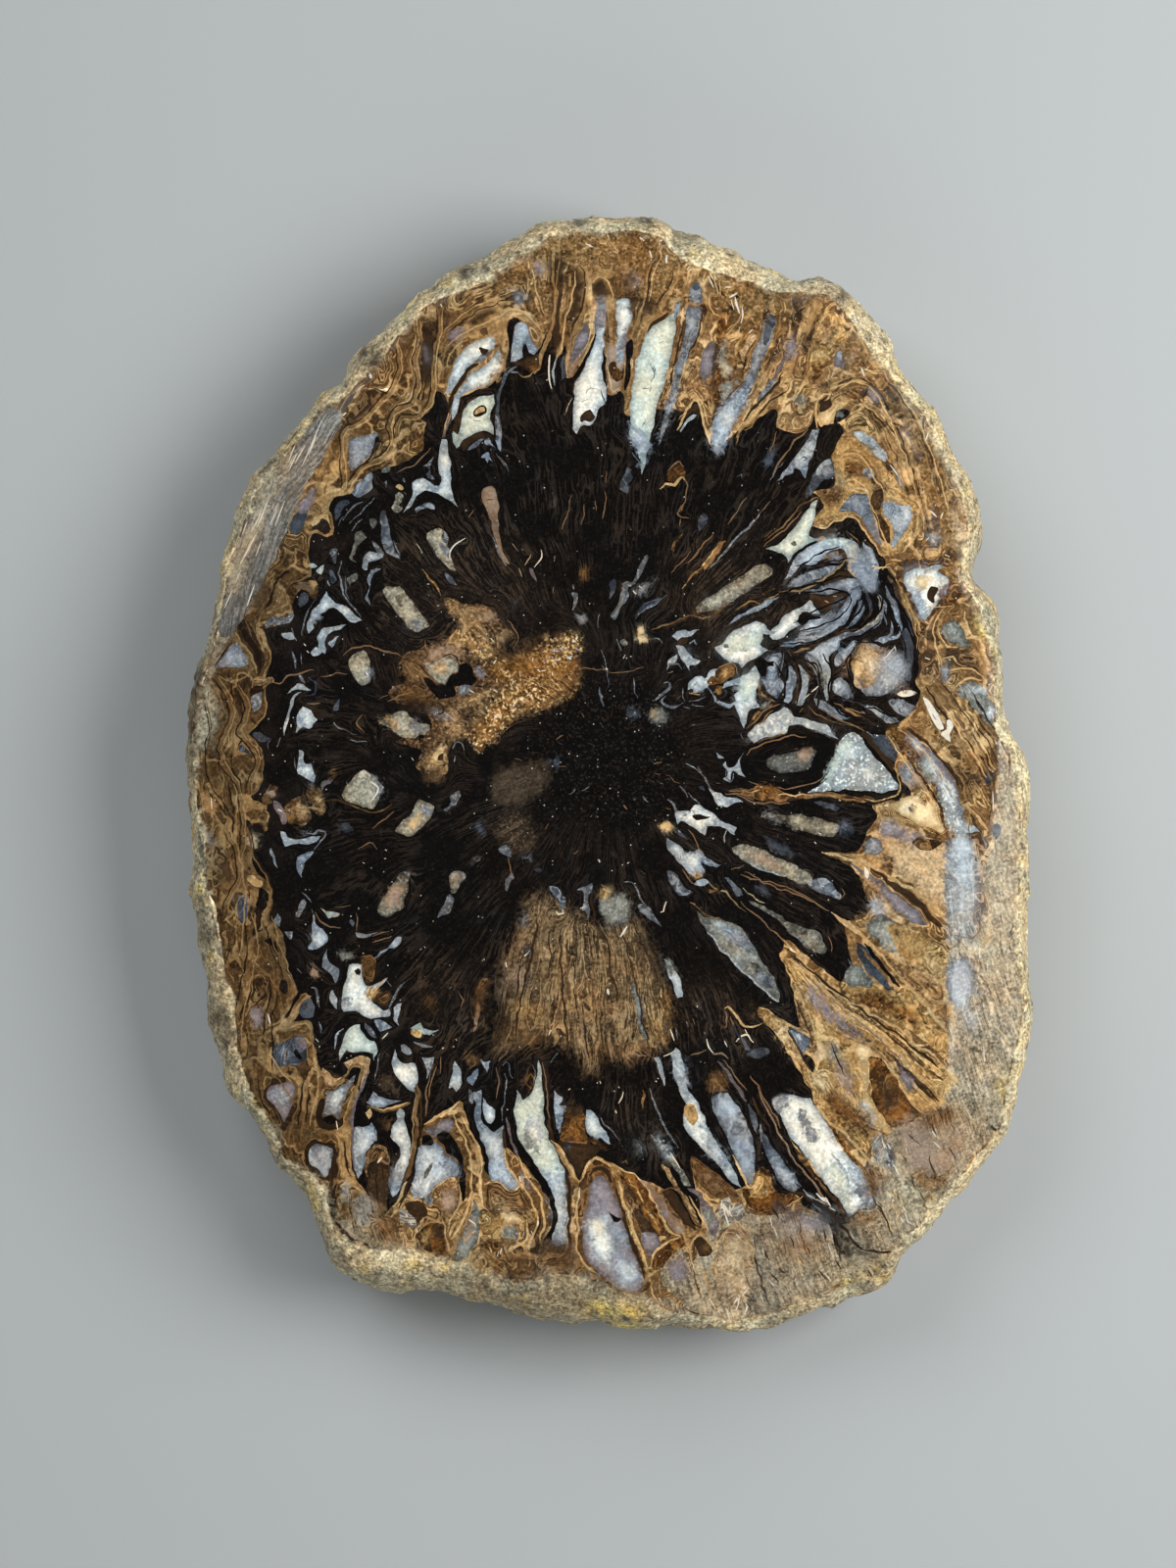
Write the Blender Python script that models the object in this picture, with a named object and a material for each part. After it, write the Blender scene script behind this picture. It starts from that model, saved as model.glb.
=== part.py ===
"""Petrified araucaria cone, sawn across into one slab and polished on one face.

One solid. The slab lies on its sawn back (Z = 0) with the polished face up.
+Y runs to the top of the cone outline, its longest extent, and Z is the
thickness. The origin is the centre of the outline's box, on the back face.
"""
import math

import bmesh
import bpy
import numpy as np

# ---------------------------------------------------------------- dimensions
UNIT = 0.067e-3          # one drawing unit: 0.067 mm
CENTRE = (622.7, 792.5)  # drawing units, middle of the outline's box
THICKNESS = 11.0e-3      # back face to polished face
VIEW_HEIGHT = 0.298      # the outlines are drawn as seen from this far above
POINTS_ROUND = 232       # points round the outline
BACK_INSET = 1.5e-3      # the sawn back is this much smaller than the girth
GIRTH_Z = 0.44           # height of the widest ring, as a share of thickness
WALL_ROUGHNESS = 0.30e-3 # lumps of the weathered crust, either way
EDGE_DROP = 0.25         # slope of the narrow rounded edge of the polished face
LEFT_SLOPE = 0.42        # ground flat on the upper left
RIGHT_SLOPE = 0.26       # ground flat on the right
CORNER_SLOPE = 0.62      # rough ground corner at the lower right
FOOT_SLOPE = 0.40        # rough lower edge

# The outlines are drawn in units, x to the right and y downward, going
# clockwise as seen from above. GIRTH is the silhouette. CRUST_EDGE is where
# the sawn and ground surfaces stop and the weathered crust begins. FLAT_EDGE
# is the rim of the polished plane, inside the ground flats.
GIRTH = [
    (192, 770), (192, 742), (197, 720), (199, 700), (204, 681), (214, 660),
    (217, 640), (220, 620), (226, 600), (227, 580), (234, 560), (242, 537),
    (246, 522), (250, 512), (256, 500), (261, 486), (270, 475), (281, 465),
    (288, 455), (299, 445), (308, 435), (315, 425), (322, 411), (334, 401),
    (346, 395), (352, 385), (356, 372), (362, 362), (371, 353), (381, 344),
    (393, 337), (401, 329), (410, 320), (419, 311), (429, 301), (440, 297),
    (448, 287), (456, 280), (472, 273), (486, 268), (498, 262), (511, 255),
    (523, 248), (536, 241), (547, 234), (560, 230), (575, 227), (590, 226),
    (605, 225), (616, 227), (630, 226), (645, 224), (660, 224), (672, 226),
    (681, 230), (690, 236), (701, 240), (715, 242), (725, 250), (736, 255),
    (750, 259), (757, 266), (767, 271), (780, 275), (791, 280), (801, 285),
    (815, 287), (828, 285), (845, 288), (858, 294), (866, 300), (873, 307),
    (881, 316), (891, 325), (897, 334), (903, 344), (909, 354), (911, 366),
    (917, 378), (926, 390), (936, 402), (945, 412), (953, 422), (959, 433),
    (964, 445), (968, 457), (974, 468), (981, 480), (988, 492), (994, 506),
    (999, 518), (1001, 530), (1003, 541), (1001, 552), (998, 562), (994, 573),
    (992, 586), (996, 598), (1005, 605), (1011, 613), (1015, 622), (1018, 635),
    (1018, 652), (1017, 665), (1019, 682), (1021, 700), (1021, 718),
    (1024, 735), (1027, 747), (1035, 758), (1042, 769), (1047, 782),
    (1050, 798), (1049, 815), (1050, 832), (1048, 850), (1049, 866),
    (1050, 882), (1049, 900), (1047, 925), (1046, 945), (1047, 965),
    (1047, 984), (1051, 1002), (1053, 1020), (1053, 1033), (1050, 1045),
    (1047, 1062), (1043, 1080), (1040, 1094), (1037, 1108), (1034, 1122),
    (1031, 1136), (1029, 1150), (1025, 1163), (1018, 1173), (1010, 1179),
    (1003, 1186), (994, 1196), (991, 1205), (984, 1213), (973, 1221),
    (966, 1231), (958, 1241), (951, 1249), (945, 1258), (934, 1267),
    (926, 1276), (920, 1284), (916, 1295), (908, 1306), (897, 1315),
    (884, 1322), (867, 1326), (858, 1331), (850, 1337), (842, 1334),
    (828, 1338), (812, 1343), (798, 1350), (786, 1357), (770, 1357),
    (757, 1360), (744, 1359), (730, 1354), (712, 1355), (695, 1355),
    (678, 1352), (662, 1354), (648, 1352), (634, 1351), (618, 1348),
    (602, 1346), (586, 1348), (570, 1346), (554, 1346), (538, 1341),
    (523, 1337), (510, 1330), (492, 1326), (478, 1324), (464, 1320),
    (450, 1315), (434, 1314), (420, 1316), (408, 1319), (394, 1317),
    (380, 1315), (367, 1308), (356, 1301), (344, 1292), (336, 1282),
    (333, 1269), (330, 1257), (323, 1243), (318, 1231), (315, 1218),
    (306, 1207), (295, 1196), (284, 1186), (277, 1175), (274, 1161),
    (267, 1149), (261, 1137), (250, 1128), (239, 1120), (233, 1109),
    (231, 1096), (229, 1083), (223, 1070), (218, 1058), (214, 1040),
    (212, 1022), (212, 1005), (210, 986), (207, 972), (204, 955), (202, 938),
    (199, 920), (197, 902), (199, 880), (199, 860), (198, 842), (196, 820),
    (195, 800), (193, 785),
]
CRUST_EDGE = [
    (198, 770), (197, 742), (201, 720), (203, 700), (208, 685), (217, 664),
    (220, 642), (224, 622), (230, 601), (231, 581), (238, 562), (247, 538),
    (254, 518), (262, 501), (272, 486), (286, 471), (300, 453), (313, 435),
    (326, 418), (342, 410), (356, 402), (366, 390), (378, 378), (390, 366),
    (399, 352), (409, 338), (420, 325), (434, 314), (450, 304), (470, 297),
    (490, 289), (506, 280), (521, 268), (537, 259), (550, 247), (566, 239),
    (584, 236), (602, 234), (620, 237), (640, 235), (658, 237), (674, 242),
    (686, 256), (698, 266), (716, 273), (736, 279), (757, 285), (776, 291),
    (794, 298), (814, 298), (834, 299), (850, 303), (861, 318), (873, 333),
    (882, 348), (892, 361), (903, 373), (912, 388), (924, 402), (936, 415),
    (946, 428), (953, 443), (959, 458), (967, 474), (975, 490), (981, 506),
    (985, 522), (988, 538), (987, 552), (984, 566), (981, 582), (985, 598),
    (994, 610), (1001, 624), (1007, 642), (1010, 660), (1012, 680),
    (1014, 702), (1015, 722), (1018, 741), (1025, 758), (1033, 770),
    (1039, 784), (1042, 800), (1041, 820), (1042, 840), (1041, 866),
    (1041, 890), (1040, 920), (1038, 948), (1040, 978), (1044, 1002),
    (1046, 1026), (1041, 1048), (1037, 1070), (1032, 1092), (1028, 1112),
    (1025, 1134), (1020, 1152), (1008, 1168), (994, 1182), (984, 1198),
    (972, 1212), (958, 1228), (946, 1243), (932, 1256), (918, 1267),
    (908, 1282), (898, 1298), (884, 1308), (866, 1314), (848, 1322),
    (828, 1327), (806, 1334), (786, 1345), (764, 1349), (744, 1349),
    (722, 1344), (700, 1343), (684, 1338), (668, 1330), (652, 1324),
    (632, 1320), (610, 1313), (588, 1306), (566, 1302), (546, 1307),
    (526, 1311), (506, 1306), (490, 1300), (474, 1294), (456, 1290),
    (438, 1283), (422, 1275), (404, 1276), (384, 1276), (364, 1270),
    (348, 1264), (339, 1252), (335, 1234), (332, 1216), (320, 1203),
    (304, 1194), (291, 1184), (284, 1170), (276, 1154), (266, 1140),
    (257, 1127), (251, 1110), (247, 1092), (243, 1072), (241, 1050),
    (238, 1028), (230, 1004), (226, 984), (222, 962), (217, 940), (211, 918),
    (207, 900), (210, 880), (209, 858), (203, 840), (201, 820), (200, 800),
    (199, 785),
]
FLAT_EDGE = [
    (204, 770), (205, 742), (208, 720), (213, 700), (220, 680), (228, 660),
    (234, 643), (244, 626), (257, 606), (270, 582), (283, 560), (292, 541),
    (302, 517), (312, 494), (321, 472), (330, 451), (339, 430), (351, 418),
    (362, 406), (372, 395), (384, 382), (395, 370), (405, 356), (415, 342),
    (425, 330), (438, 319), (453, 310), (472, 303), (492, 295), (509, 286),
    (524, 274), (540, 264), (553, 252), (568, 244), (585, 241), (602, 239),
    (620, 242), (640, 240), (657, 242), (672, 247), (683, 261), (696, 272),
    (715, 279), (735, 285), (756, 291), (775, 297), (794, 304), (814, 304),
    (833, 305), (847, 308), (857, 322), (868, 337), (877, 352), (887, 366),
    (898, 378), (907, 392), (919, 407), (931, 420), (940, 432), (947, 446),
    (953, 461), (961, 477), (969, 493), (975, 508), (979, 523), (982, 538),
    (981, 551), (978, 565), (975, 582), (979, 600), (988, 613), (995, 627),
    (1001, 644), (1004, 661), (1006, 681), (1008, 703), (1009, 723),
    (1012, 742), (1016, 760), (1018, 780), (1015, 805), (1011, 832),
    (1003, 858), (995, 885), (990, 915), (984, 945), (977, 970), (972, 1000),
    (971, 1035), (969, 1070), (966, 1100), (944, 1130), (920, 1150),
    (900, 1158), (890, 1170), (897, 1198), (896, 1226), (880, 1242),
    (862, 1236), (842, 1228), (822, 1216), (804, 1230), (780, 1240),
    (756, 1232), (738, 1228), (722, 1248), (702, 1264), (684, 1280),
    (670, 1300), (656, 1312), (634, 1311), (612, 1304), (590, 1297),
    (567, 1294), (546, 1298), (526, 1302), (508, 1297), (492, 1291),
    (476, 1285), (458, 1280), (441, 1273), (424, 1265), (404, 1266),
    (386, 1267), (368, 1260), (355, 1254), (347, 1244), (343, 1228),
    (339, 1210), (326, 1196), (310, 1187), (298, 1177), (291, 1163),
    (283, 1148), (273, 1134), (264, 1121), (258, 1105), (254, 1088),
    (250, 1070), (248, 1050), (245, 1028), (237, 1004), (233, 984),
    (229, 962), (224, 940), (218, 918), (214, 900), (217, 880), (216, 858),
    (210, 840), (208, 820), (206, 800), (205, 785),
]


def smooth_closed(points, per_span=8):
    """A closed Catmull-Rom curve through the drawing's points."""
    p = np.array(points, float)
    n = len(p)
    t = np.linspace(0.0, 1.0, per_span, endpoint=False)[:, None]
    out = []
    for i in range(n):
        a, b, c, d = p[i - 1], p[i], p[(i + 1) % n], p[(i + 2) % n]
        out.append(0.5 * (2 * b + (c - a) * t
                          + (2 * a - 5 * b + 4 * c - d) * t ** 2
                          + (3 * b - a - 3 * c + d) * t ** 3))
    return np.concatenate(out)


def to_world(points):
    """Drawing units to metres, y turned upward, about the outline's centre."""
    p = np.asarray(points, float)
    return np.column_stack([(p[:, 0] - CENTRE[0]) * UNIT,
                            (CENTRE[1] - p[:, 1]) * UNIT])


def radius_by_angle(points):
    """The outline as a function that gives its radius at any polar angle."""
    xy = to_world(smooth_closed(points))
    ang = np.unwrap(np.arctan2(xy[:, 1], xy[:, 0]))
    if ang[-1] < ang[0]:
        xy, ang = xy[::-1], ang[::-1]
    ang = np.maximum.accumulate(ang) + np.arange(len(ang)) * 1e-9
    rad = np.hypot(xy[:, 0], xy[:, 1])
    turn = 2 * math.pi
    ang3 = np.concatenate([ang - turn, ang, ang + turn])
    rad3 = np.tile(rad, 3)

    def radius(a):
        return np.interp((np.asarray(a) - ang[0]) % turn + ang[0], ang3, rad3)
    return radius


def even_angles(points, count):
    """Polar angles that divide the outline into even lengths."""
    xy = to_world(smooth_closed(points))
    if np.cross(xy[0], xy[5]) < 0:
        xy = xy[::-1]
    loop = np.vstack([xy, xy[:1]])
    run = np.concatenate([[0], np.cumsum(np.hypot(*np.diff(loop, axis=0).T))])
    want = np.linspace(0, run[-1], count, endpoint=False)
    x = np.interp(want, run, loop[:, 0])
    y = np.interp(want, run, loop[:, 1])
    a = np.unwrap(np.arctan2(y, x))
    return np.maximum.accumulate(a)


def lumps(angle, z, seed):
    """Smooth seeded relief, about -1 to 1, that closes round the outline."""
    rng = np.random.default_rng(seed)
    v = np.zeros_like(angle)
    for k, (freq, amp) in enumerate(((9, 0.30), (21, 0.30), (43, 0.22),
                                     (71, 0.18))):
        for _ in range(3):
            f = freq + rng.integers(-3, 4)
            ph, zf = rng.random() * 6.283, rng.normal() * (180 + 110 * k)
            v += amp / 3 * np.sin(f * angle + ph + zf * z) * 1.7
    return v


def sector(angle, mid, half, soft):
    """1 inside a span of polar angle (degrees), easing to 0 at its ends."""
    d = np.abs((np.degrees(angle) - mid + 180) % 360 - 180)
    return np.clip((half + soft - d) / soft, 0, 1)


def as_seen(radius, z):
    """Undo perspective: what lies lower is a little larger than it is drawn."""
    return radius * (1 + (THICKNESS - z) / VIEW_HEIGHT)


def build_slice():
    girth = radius_by_angle(GIRTH)
    crust = radius_by_angle(CRUST_EDGE)
    flat = radius_by_angle(FLAT_EDGE)
    a = even_angles(GIRTH, POINTS_ROUND)
    rg = girth(a)
    rc = np.minimum(crust(a), rg - 0.25e-3)
    rf = np.minimum(flat(a), rc - 0.30e-3)

    # how steeply the surface falls outside the polished plane
    slope = np.full_like(a, EDGE_DROP)
    slope += (LEFT_SLOPE - EDGE_DROP) * sector(a, 146, 22, 8)
    slope += (RIGHT_SLOPE - EDGE_DROP) * sector(a, -20, 22, 8)
    slope += (CORNER_SLOPE - EDGE_DROP) * sector(a, -63, 20, 8)
    slope += (FOOT_SLOPE - EDGE_DROP) * sector(a, -108, 20, 10)
    zc = THICKNESS - slope * (rc - rf)
    girth_z = THICKNESS * GIRTH_Z
    rc = as_seen(rc, zc)
    rg = np.maximum(as_seen(rg, girth_z), rc + 0.25e-3)

    # rings from the polished plane outward, down the rounded wall and under
    rings = [(rf, np.full_like(a, THICKNESS)), (rc, zc)]
    for share in (0.28, 0.52, 0.76):
        turn = share * math.pi / 2
        z = girth_z + (zc - girth_z) * math.cos(turn) ** 0.9
        r = rc + (rg - rc) * math.sin(turn)
        r = r + lumps(a, z, 11) * WALL_ROUGHNESS * 0.8 * share
        rings.append((np.minimum(r, rg), z))
    rings.append((rg, np.full_like(a, girth_z)))
    rb = rg - BACK_INSET * (1 + 0.35 * lumps(a, np.zeros_like(a), 5))
    for share in (0.30, 0.60, 0.84):
        z = np.full_like(a, girth_z * (1 - share))
        r = rg + (rb - rg) * share ** 1.8
        r = r + lumps(a, z, 11) * WALL_ROUGHNESS * 0.8 * (1 - share)
        rings.append((np.minimum(r, rg), z))
    rings.append((rb, np.zeros_like(a)))

    bm = bmesh.new()
    loops = []
    for r, z in rings:
        loops.append([bm.verts.new((ri * math.cos(ai), ri * math.sin(ai), zi))
                      for ri, ai, zi in zip(r, a, z)])
    n = len(a)
    for upper, lower in zip(loops, loops[1:]):
        for i in range(n):
            j = (i + 1) % n
            bm.faces.new((upper[i], lower[i], lower[j], upper[j]))
    bm.faces.new(loops[0])
    bm.faces.new(loops[-1][::-1])
    bmesh.ops.triangulate(bm, faces=bm.faces)
    bmesh.ops.recalc_face_normals(bm, faces=bm.faces)
    mesh = bpy.data.meshes.new("cone_slice")
    bm.to_mesh(mesh)
    bm.free()
    mesh.shade_smooth()
    mesh.set_sharp_from_angle(angle=math.radians(28))
    return mesh


def stone_material():
    mat = bpy.data.materials.new("petrified_cone")
    mat.use_nodes = True
    shader = mat.node_tree.nodes["Principled BSDF"]
    shader.inputs["Base Color"].default_value = (0.16, 0.095, 0.045, 1.0)
    shader.inputs["Roughness"].default_value = 0.45
    shader.inputs["Metallic"].default_value = 0.0
    return mat


for old in list(bpy.data.objects):
    bpy.data.objects.remove(old, do_unlink=True)

slice_mesh = build_slice()
slice_mesh.materials.append(stone_material())
cone_slice = bpy.data.objects.new("cone_slice", slice_mesh)
bpy.context.scene.collection.objects.link(cone_slice)
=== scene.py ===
import math

import bpy
import numpy as np
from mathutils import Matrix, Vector
from mathutils.geometry import delaunay_2d_cdt
from mathutils.kdtree import KDTree


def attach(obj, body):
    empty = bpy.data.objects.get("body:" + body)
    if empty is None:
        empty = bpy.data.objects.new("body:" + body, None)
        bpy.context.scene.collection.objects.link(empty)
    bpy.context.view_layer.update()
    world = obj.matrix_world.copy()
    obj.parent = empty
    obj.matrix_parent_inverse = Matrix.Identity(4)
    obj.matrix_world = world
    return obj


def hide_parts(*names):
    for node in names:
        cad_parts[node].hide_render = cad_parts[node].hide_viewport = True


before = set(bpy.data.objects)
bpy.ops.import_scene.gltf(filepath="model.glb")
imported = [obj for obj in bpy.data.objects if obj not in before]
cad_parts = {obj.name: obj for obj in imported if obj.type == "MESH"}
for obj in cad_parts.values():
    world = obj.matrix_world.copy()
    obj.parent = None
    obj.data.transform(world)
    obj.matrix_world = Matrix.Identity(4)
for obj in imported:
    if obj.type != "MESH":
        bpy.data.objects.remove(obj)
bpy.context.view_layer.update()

# Petrified araucaria cone, a polished slab. Everything is drawn in units of
# 0.067 mm, x to the right and y downward, as the outline of the CAD solid is.
UNIT = 0.067e-3
CENTRE = (622.7, 792.5)
THICK = 11.0e-3
VIEW_HEIGHT = 0.298
GIRTH_Z = 0.44
BACK_INSET = 1.5e-3
ROUND = 860              # vertices round the rim
TOP_STEP = 5.5           # spacing of the plain vertices of the polished face
BACK_STEP = 10.0         # spacing on the sawn back
WALL_RINGS = 26
# GIRTH is the silhouette, CRUST_EDGE where the cut and ground surfaces end and
# the weathered crust begins, FLAT_EDGE the rim of the polished plane.
GIRTH = [
    (192, 770), (192, 742), (197, 720), (199, 700), (204, 681), (214, 660),
    (217, 640), (220, 620), (226, 600), (227, 580), (234, 560), (242, 537),
    (246, 522), (250, 512), (256, 500), (261, 486), (270, 475), (281, 465),
    (288, 455), (299, 445), (308, 435), (315, 425), (322, 411), (334, 401),
    (346, 395), (352, 385), (356, 372), (362, 362), (371, 353), (381, 344),
    (393, 337), (401, 329), (410, 320), (419, 311), (429, 301), (440, 297),
    (448, 287), (456, 280), (472, 273), (486, 268), (498, 262), (511, 255),
    (523, 248), (536, 241), (547, 234), (560, 230), (575, 227), (590, 226),
    (605, 225), (616, 227), (630, 226), (645, 224), (660, 224), (672, 226),
    (681, 230), (690, 236), (701, 240), (715, 242), (725, 250), (736, 255),
    (750, 259), (757, 266), (767, 271), (780, 275), (791, 280), (801, 285),
    (815, 287), (828, 285), (845, 288), (858, 294), (866, 300), (873, 307),
    (881, 316), (891, 325), (897, 334), (903, 344), (909, 354), (911, 366),
    (917, 378), (926, 390), (936, 402), (945, 412), (953, 422), (959, 433),
    (964, 445), (968, 457), (974, 468), (981, 480), (988, 492), (994, 506),
    (999, 518), (1001, 530), (1003, 541), (1001, 552), (998, 562), (994, 573),
    (992, 586), (996, 598), (1005, 605), (1011, 613), (1015, 622), (1018, 635),
    (1018, 652), (1017, 665), (1019, 682), (1021, 700), (1021, 718),
    (1024, 735), (1027, 747), (1035, 758), (1042, 769), (1047, 782),
    (1050, 798), (1049, 815), (1050, 832), (1048, 850), (1049, 866),
    (1050, 882), (1049, 900), (1047, 925), (1046, 945), (1047, 965),
    (1047, 984), (1051, 1002), (1053, 1020), (1053, 1033), (1050, 1045),
    (1047, 1062), (1043, 1080), (1040, 1094), (1037, 1108), (1034, 1122),
    (1031, 1136), (1029, 1150), (1025, 1163), (1018, 1173), (1010, 1179),
    (1003, 1186), (994, 1196), (991, 1205), (984, 1213), (973, 1221),
    (966, 1231), (958, 1241), (951, 1249), (945, 1258), (934, 1267),
    (926, 1276), (920, 1284), (916, 1295), (908, 1306), (897, 1315),
    (884, 1322), (867, 1326), (858, 1331), (850, 1337), (842, 1334),
    (828, 1338), (812, 1343), (798, 1350), (786, 1357), (770, 1357),
    (757, 1360), (744, 1359), (730, 1354), (712, 1355), (695, 1355),
    (678, 1352), (662, 1354), (648, 1352), (634, 1351), (618, 1348),
    (602, 1346), (586, 1348), (570, 1346), (554, 1346), (538, 1341),
    (523, 1337), (510, 1330), (492, 1326), (478, 1324), (464, 1320),
    (450, 1315), (434, 1314), (420, 1316), (408, 1319), (394, 1317),
    (380, 1315), (367, 1308), (356, 1301), (344, 1292), (336, 1282),
    (333, 1269), (330, 1257), (323, 1243), (318, 1231), (315, 1218),
    (306, 1207), (295, 1196), (284, 1186), (277, 1175), (274, 1161),
    (267, 1149), (261, 1137), (250, 1128), (239, 1120), (233, 1109),
    (231, 1096), (229, 1083), (223, 1070), (218, 1058), (214, 1040),
    (212, 1022), (212, 1005), (210, 986), (207, 972), (204, 955), (202, 938),
    (199, 920), (197, 902), (199, 880), (199, 860), (198, 842), (196, 820),
    (195, 800), (193, 785),
]
CRUST_EDGE = [
    (198, 770), (197, 742), (201, 720), (203, 700), (208, 685), (217, 664),
    (220, 642), (224, 622), (230, 601), (231, 581), (238, 562), (247, 538),
    (254, 518), (262, 501), (272, 486), (286, 471), (300, 453), (313, 435),
    (326, 418), (342, 410), (356, 402), (366, 390), (378, 378), (390, 366),
    (399, 352), (409, 338), (420, 325), (434, 314), (450, 304), (470, 297),
    (490, 289), (506, 280), (521, 268), (537, 259), (550, 247), (566, 239),
    (584, 236), (602, 234), (620, 237), (640, 235), (658, 237), (674, 242),
    (686, 256), (698, 266), (716, 273), (736, 279), (757, 285), (776, 291),
    (794, 298), (814, 298), (834, 299), (850, 303), (861, 318), (873, 333),
    (882, 348), (892, 361), (903, 373), (912, 388), (924, 402), (936, 415),
    (946, 428), (953, 443), (959, 458), (967, 474), (975, 490), (981, 506),
    (985, 522), (988, 538), (987, 552), (984, 566), (981, 582), (985, 598),
    (994, 610), (1001, 624), (1007, 642), (1010, 660), (1012, 680),
    (1014, 702), (1015, 722), (1018, 741), (1025, 758), (1033, 770),
    (1039, 784), (1042, 800), (1041, 820), (1042, 840), (1041, 866),
    (1041, 890), (1040, 920), (1038, 948), (1040, 978), (1044, 1002),
    (1046, 1026), (1041, 1048), (1037, 1070), (1032, 1092), (1028, 1112),
    (1025, 1134), (1020, 1152), (1008, 1168), (994, 1182), (984, 1198),
    (972, 1212), (958, 1228), (946, 1243), (932, 1256), (918, 1267),
    (908, 1282), (898, 1298), (884, 1308), (866, 1314), (848, 1322),
    (828, 1327), (806, 1334), (786, 1345), (764, 1349), (744, 1349),
    (722, 1344), (700, 1343), (684, 1338), (668, 1330), (652, 1324),
    (632, 1320), (610, 1313), (588, 1306), (566, 1302), (546, 1307),
    (526, 1311), (506, 1306), (490, 1300), (474, 1294), (456, 1290),
    (438, 1283), (422, 1275), (404, 1276), (384, 1276), (364, 1270),
    (348, 1264), (339, 1252), (335, 1234), (332, 1216), (320, 1203),
    (304, 1194), (291, 1184), (284, 1170), (276, 1154), (266, 1140),
    (257, 1127), (251, 1110), (247, 1092), (243, 1072), (241, 1050),
    (238, 1028), (230, 1004), (226, 984), (222, 962), (217, 940), (211, 918),
    (207, 900), (210, 880), (209, 858), (203, 840), (201, 820), (200, 800),
    (199, 785),
]
FLAT_EDGE = [
    (204, 770), (205, 742), (208, 720), (213, 700), (220, 680), (228, 660),
    (234, 643), (244, 626), (257, 606), (270, 582), (283, 560), (292, 541),
    (302, 517), (312, 494), (321, 472), (330, 451), (339, 430), (351, 418),
    (362, 406), (372, 395), (384, 382), (395, 370), (405, 356), (415, 342),
    (425, 330), (438, 319), (453, 310), (472, 303), (492, 295), (509, 286),
    (524, 274), (540, 264), (553, 252), (568, 244), (585, 241), (602, 239),
    (620, 242), (640, 240), (657, 242), (672, 247), (683, 261), (696, 272),
    (715, 279), (735, 285), (756, 291), (775, 297), (794, 304), (814, 304),
    (833, 305), (847, 308), (857, 322), (868, 337), (877, 352), (887, 366),
    (898, 378), (907, 392), (919, 407), (931, 420), (940, 432), (947, 446),
    (953, 461), (961, 477), (969, 493), (975, 508), (979, 523), (982, 538),
    (981, 551), (978, 565), (975, 582), (979, 600), (988, 613), (995, 627),
    (1001, 644), (1004, 661), (1006, 681), (1008, 703), (1009, 723),
    (1012, 742), (1016, 760), (1018, 780), (1015, 805), (1011, 832),
    (1003, 858), (995, 885), (990, 915), (984, 945), (977, 970), (972, 1000),
    (971, 1035), (969, 1070), (966, 1100), (944, 1130), (920, 1150),
    (900, 1158), (890, 1170), (897, 1198), (896, 1226), (880, 1242),
    (862, 1236), (842, 1228), (822, 1216), (804, 1230), (780, 1240),
    (756, 1232), (738, 1228), (722, 1248), (702, 1264), (684, 1280),
    (670, 1300), (656, 1312), (634, 1311), (612, 1304), (590, 1297),
    (567, 1294), (546, 1298), (526, 1302), (508, 1297), (492, 1291),
    (476, 1285), (458, 1280), (441, 1273), (424, 1265), (404, 1266),
    (386, 1267), (368, 1260), (355, 1254), (347, 1244), (343, 1228),
    (339, 1210), (326, 1196), (310, 1187), (298, 1177), (291, 1163),
    (283, 1148), (273, 1134), (264, 1121), (258, 1105), (254, 1088),
    (250, 1070), (248, 1050), (245, 1028), (237, 1004), (233, 984),
    (229, 962), (224, 940), (218, 918), (214, 900), (217, 880), (216, 858),
    (210, 840), (208, 820), (206, 800), (205, 785),
]


# ------------------------------------------------------------ small helpers
def srgb(r, g, b):
    c = np.array([r, g, b], float) / 255.0
    return np.where(c <= 0.04045, c / 12.92, ((c + 0.055) / 1.055) ** 2.4)


def ease(lo, hi, x):
    t = np.clip((np.asarray(x, float) - lo) / (hi - lo), 0.0, 1.0)
    return t * t * (3 - 2 * t)


def _hash(ix, iy, iz, seed):
    h = (ix.astype(np.int64) * 73856093) ^ (iy.astype(np.int64) * 19349663) \
        ^ (iz.astype(np.int64) * 83492791) ^ (seed * 2654435761)
    h = (h ^ (h >> 13)) * 1274126177
    h = h ^ (h >> 16)
    return (h & 0xFFFFFF).astype(float) / 0xFFFFFF


def value_noise(p, seed=0):
    """Smooth seeded noise, -1 to 1, one lump to a unit."""
    p = np.asarray(p, float)
    i = np.floor(p).astype(np.int64)
    f = p - i
    w = f * f * (3 - 2 * f)
    out = 0.0
    for dx in (0, 1):
        wx = w[:, 0] if dx else 1 - w[:, 0]
        for dy in (0, 1):
            wy = w[:, 1] if dy else 1 - w[:, 1]
            for dz in (0, 1):
                wz = w[:, 2] if dz else 1 - w[:, 2]
                out = out + wx * wy * wz * _hash(i[:, 0] + dx, i[:, 1] + dy,
                                                 i[:, 2] + dz, seed)
    return out * 2 - 1


def fbm(p, size, octaves=3, seed=0, gain=0.5):
    p = np.asarray(p, float)
    if p.shape[1] == 2:
        p = np.column_stack([p, np.zeros(len(p))])
    v, amp, tot = 0.0, 1.0, 0.0
    for k in range(octaves):
        v = v + amp * value_noise(p * (2 ** k) / size + 17.3 * k, seed + k)
        tot += amp
        amp *= gain
    return v / tot


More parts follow.
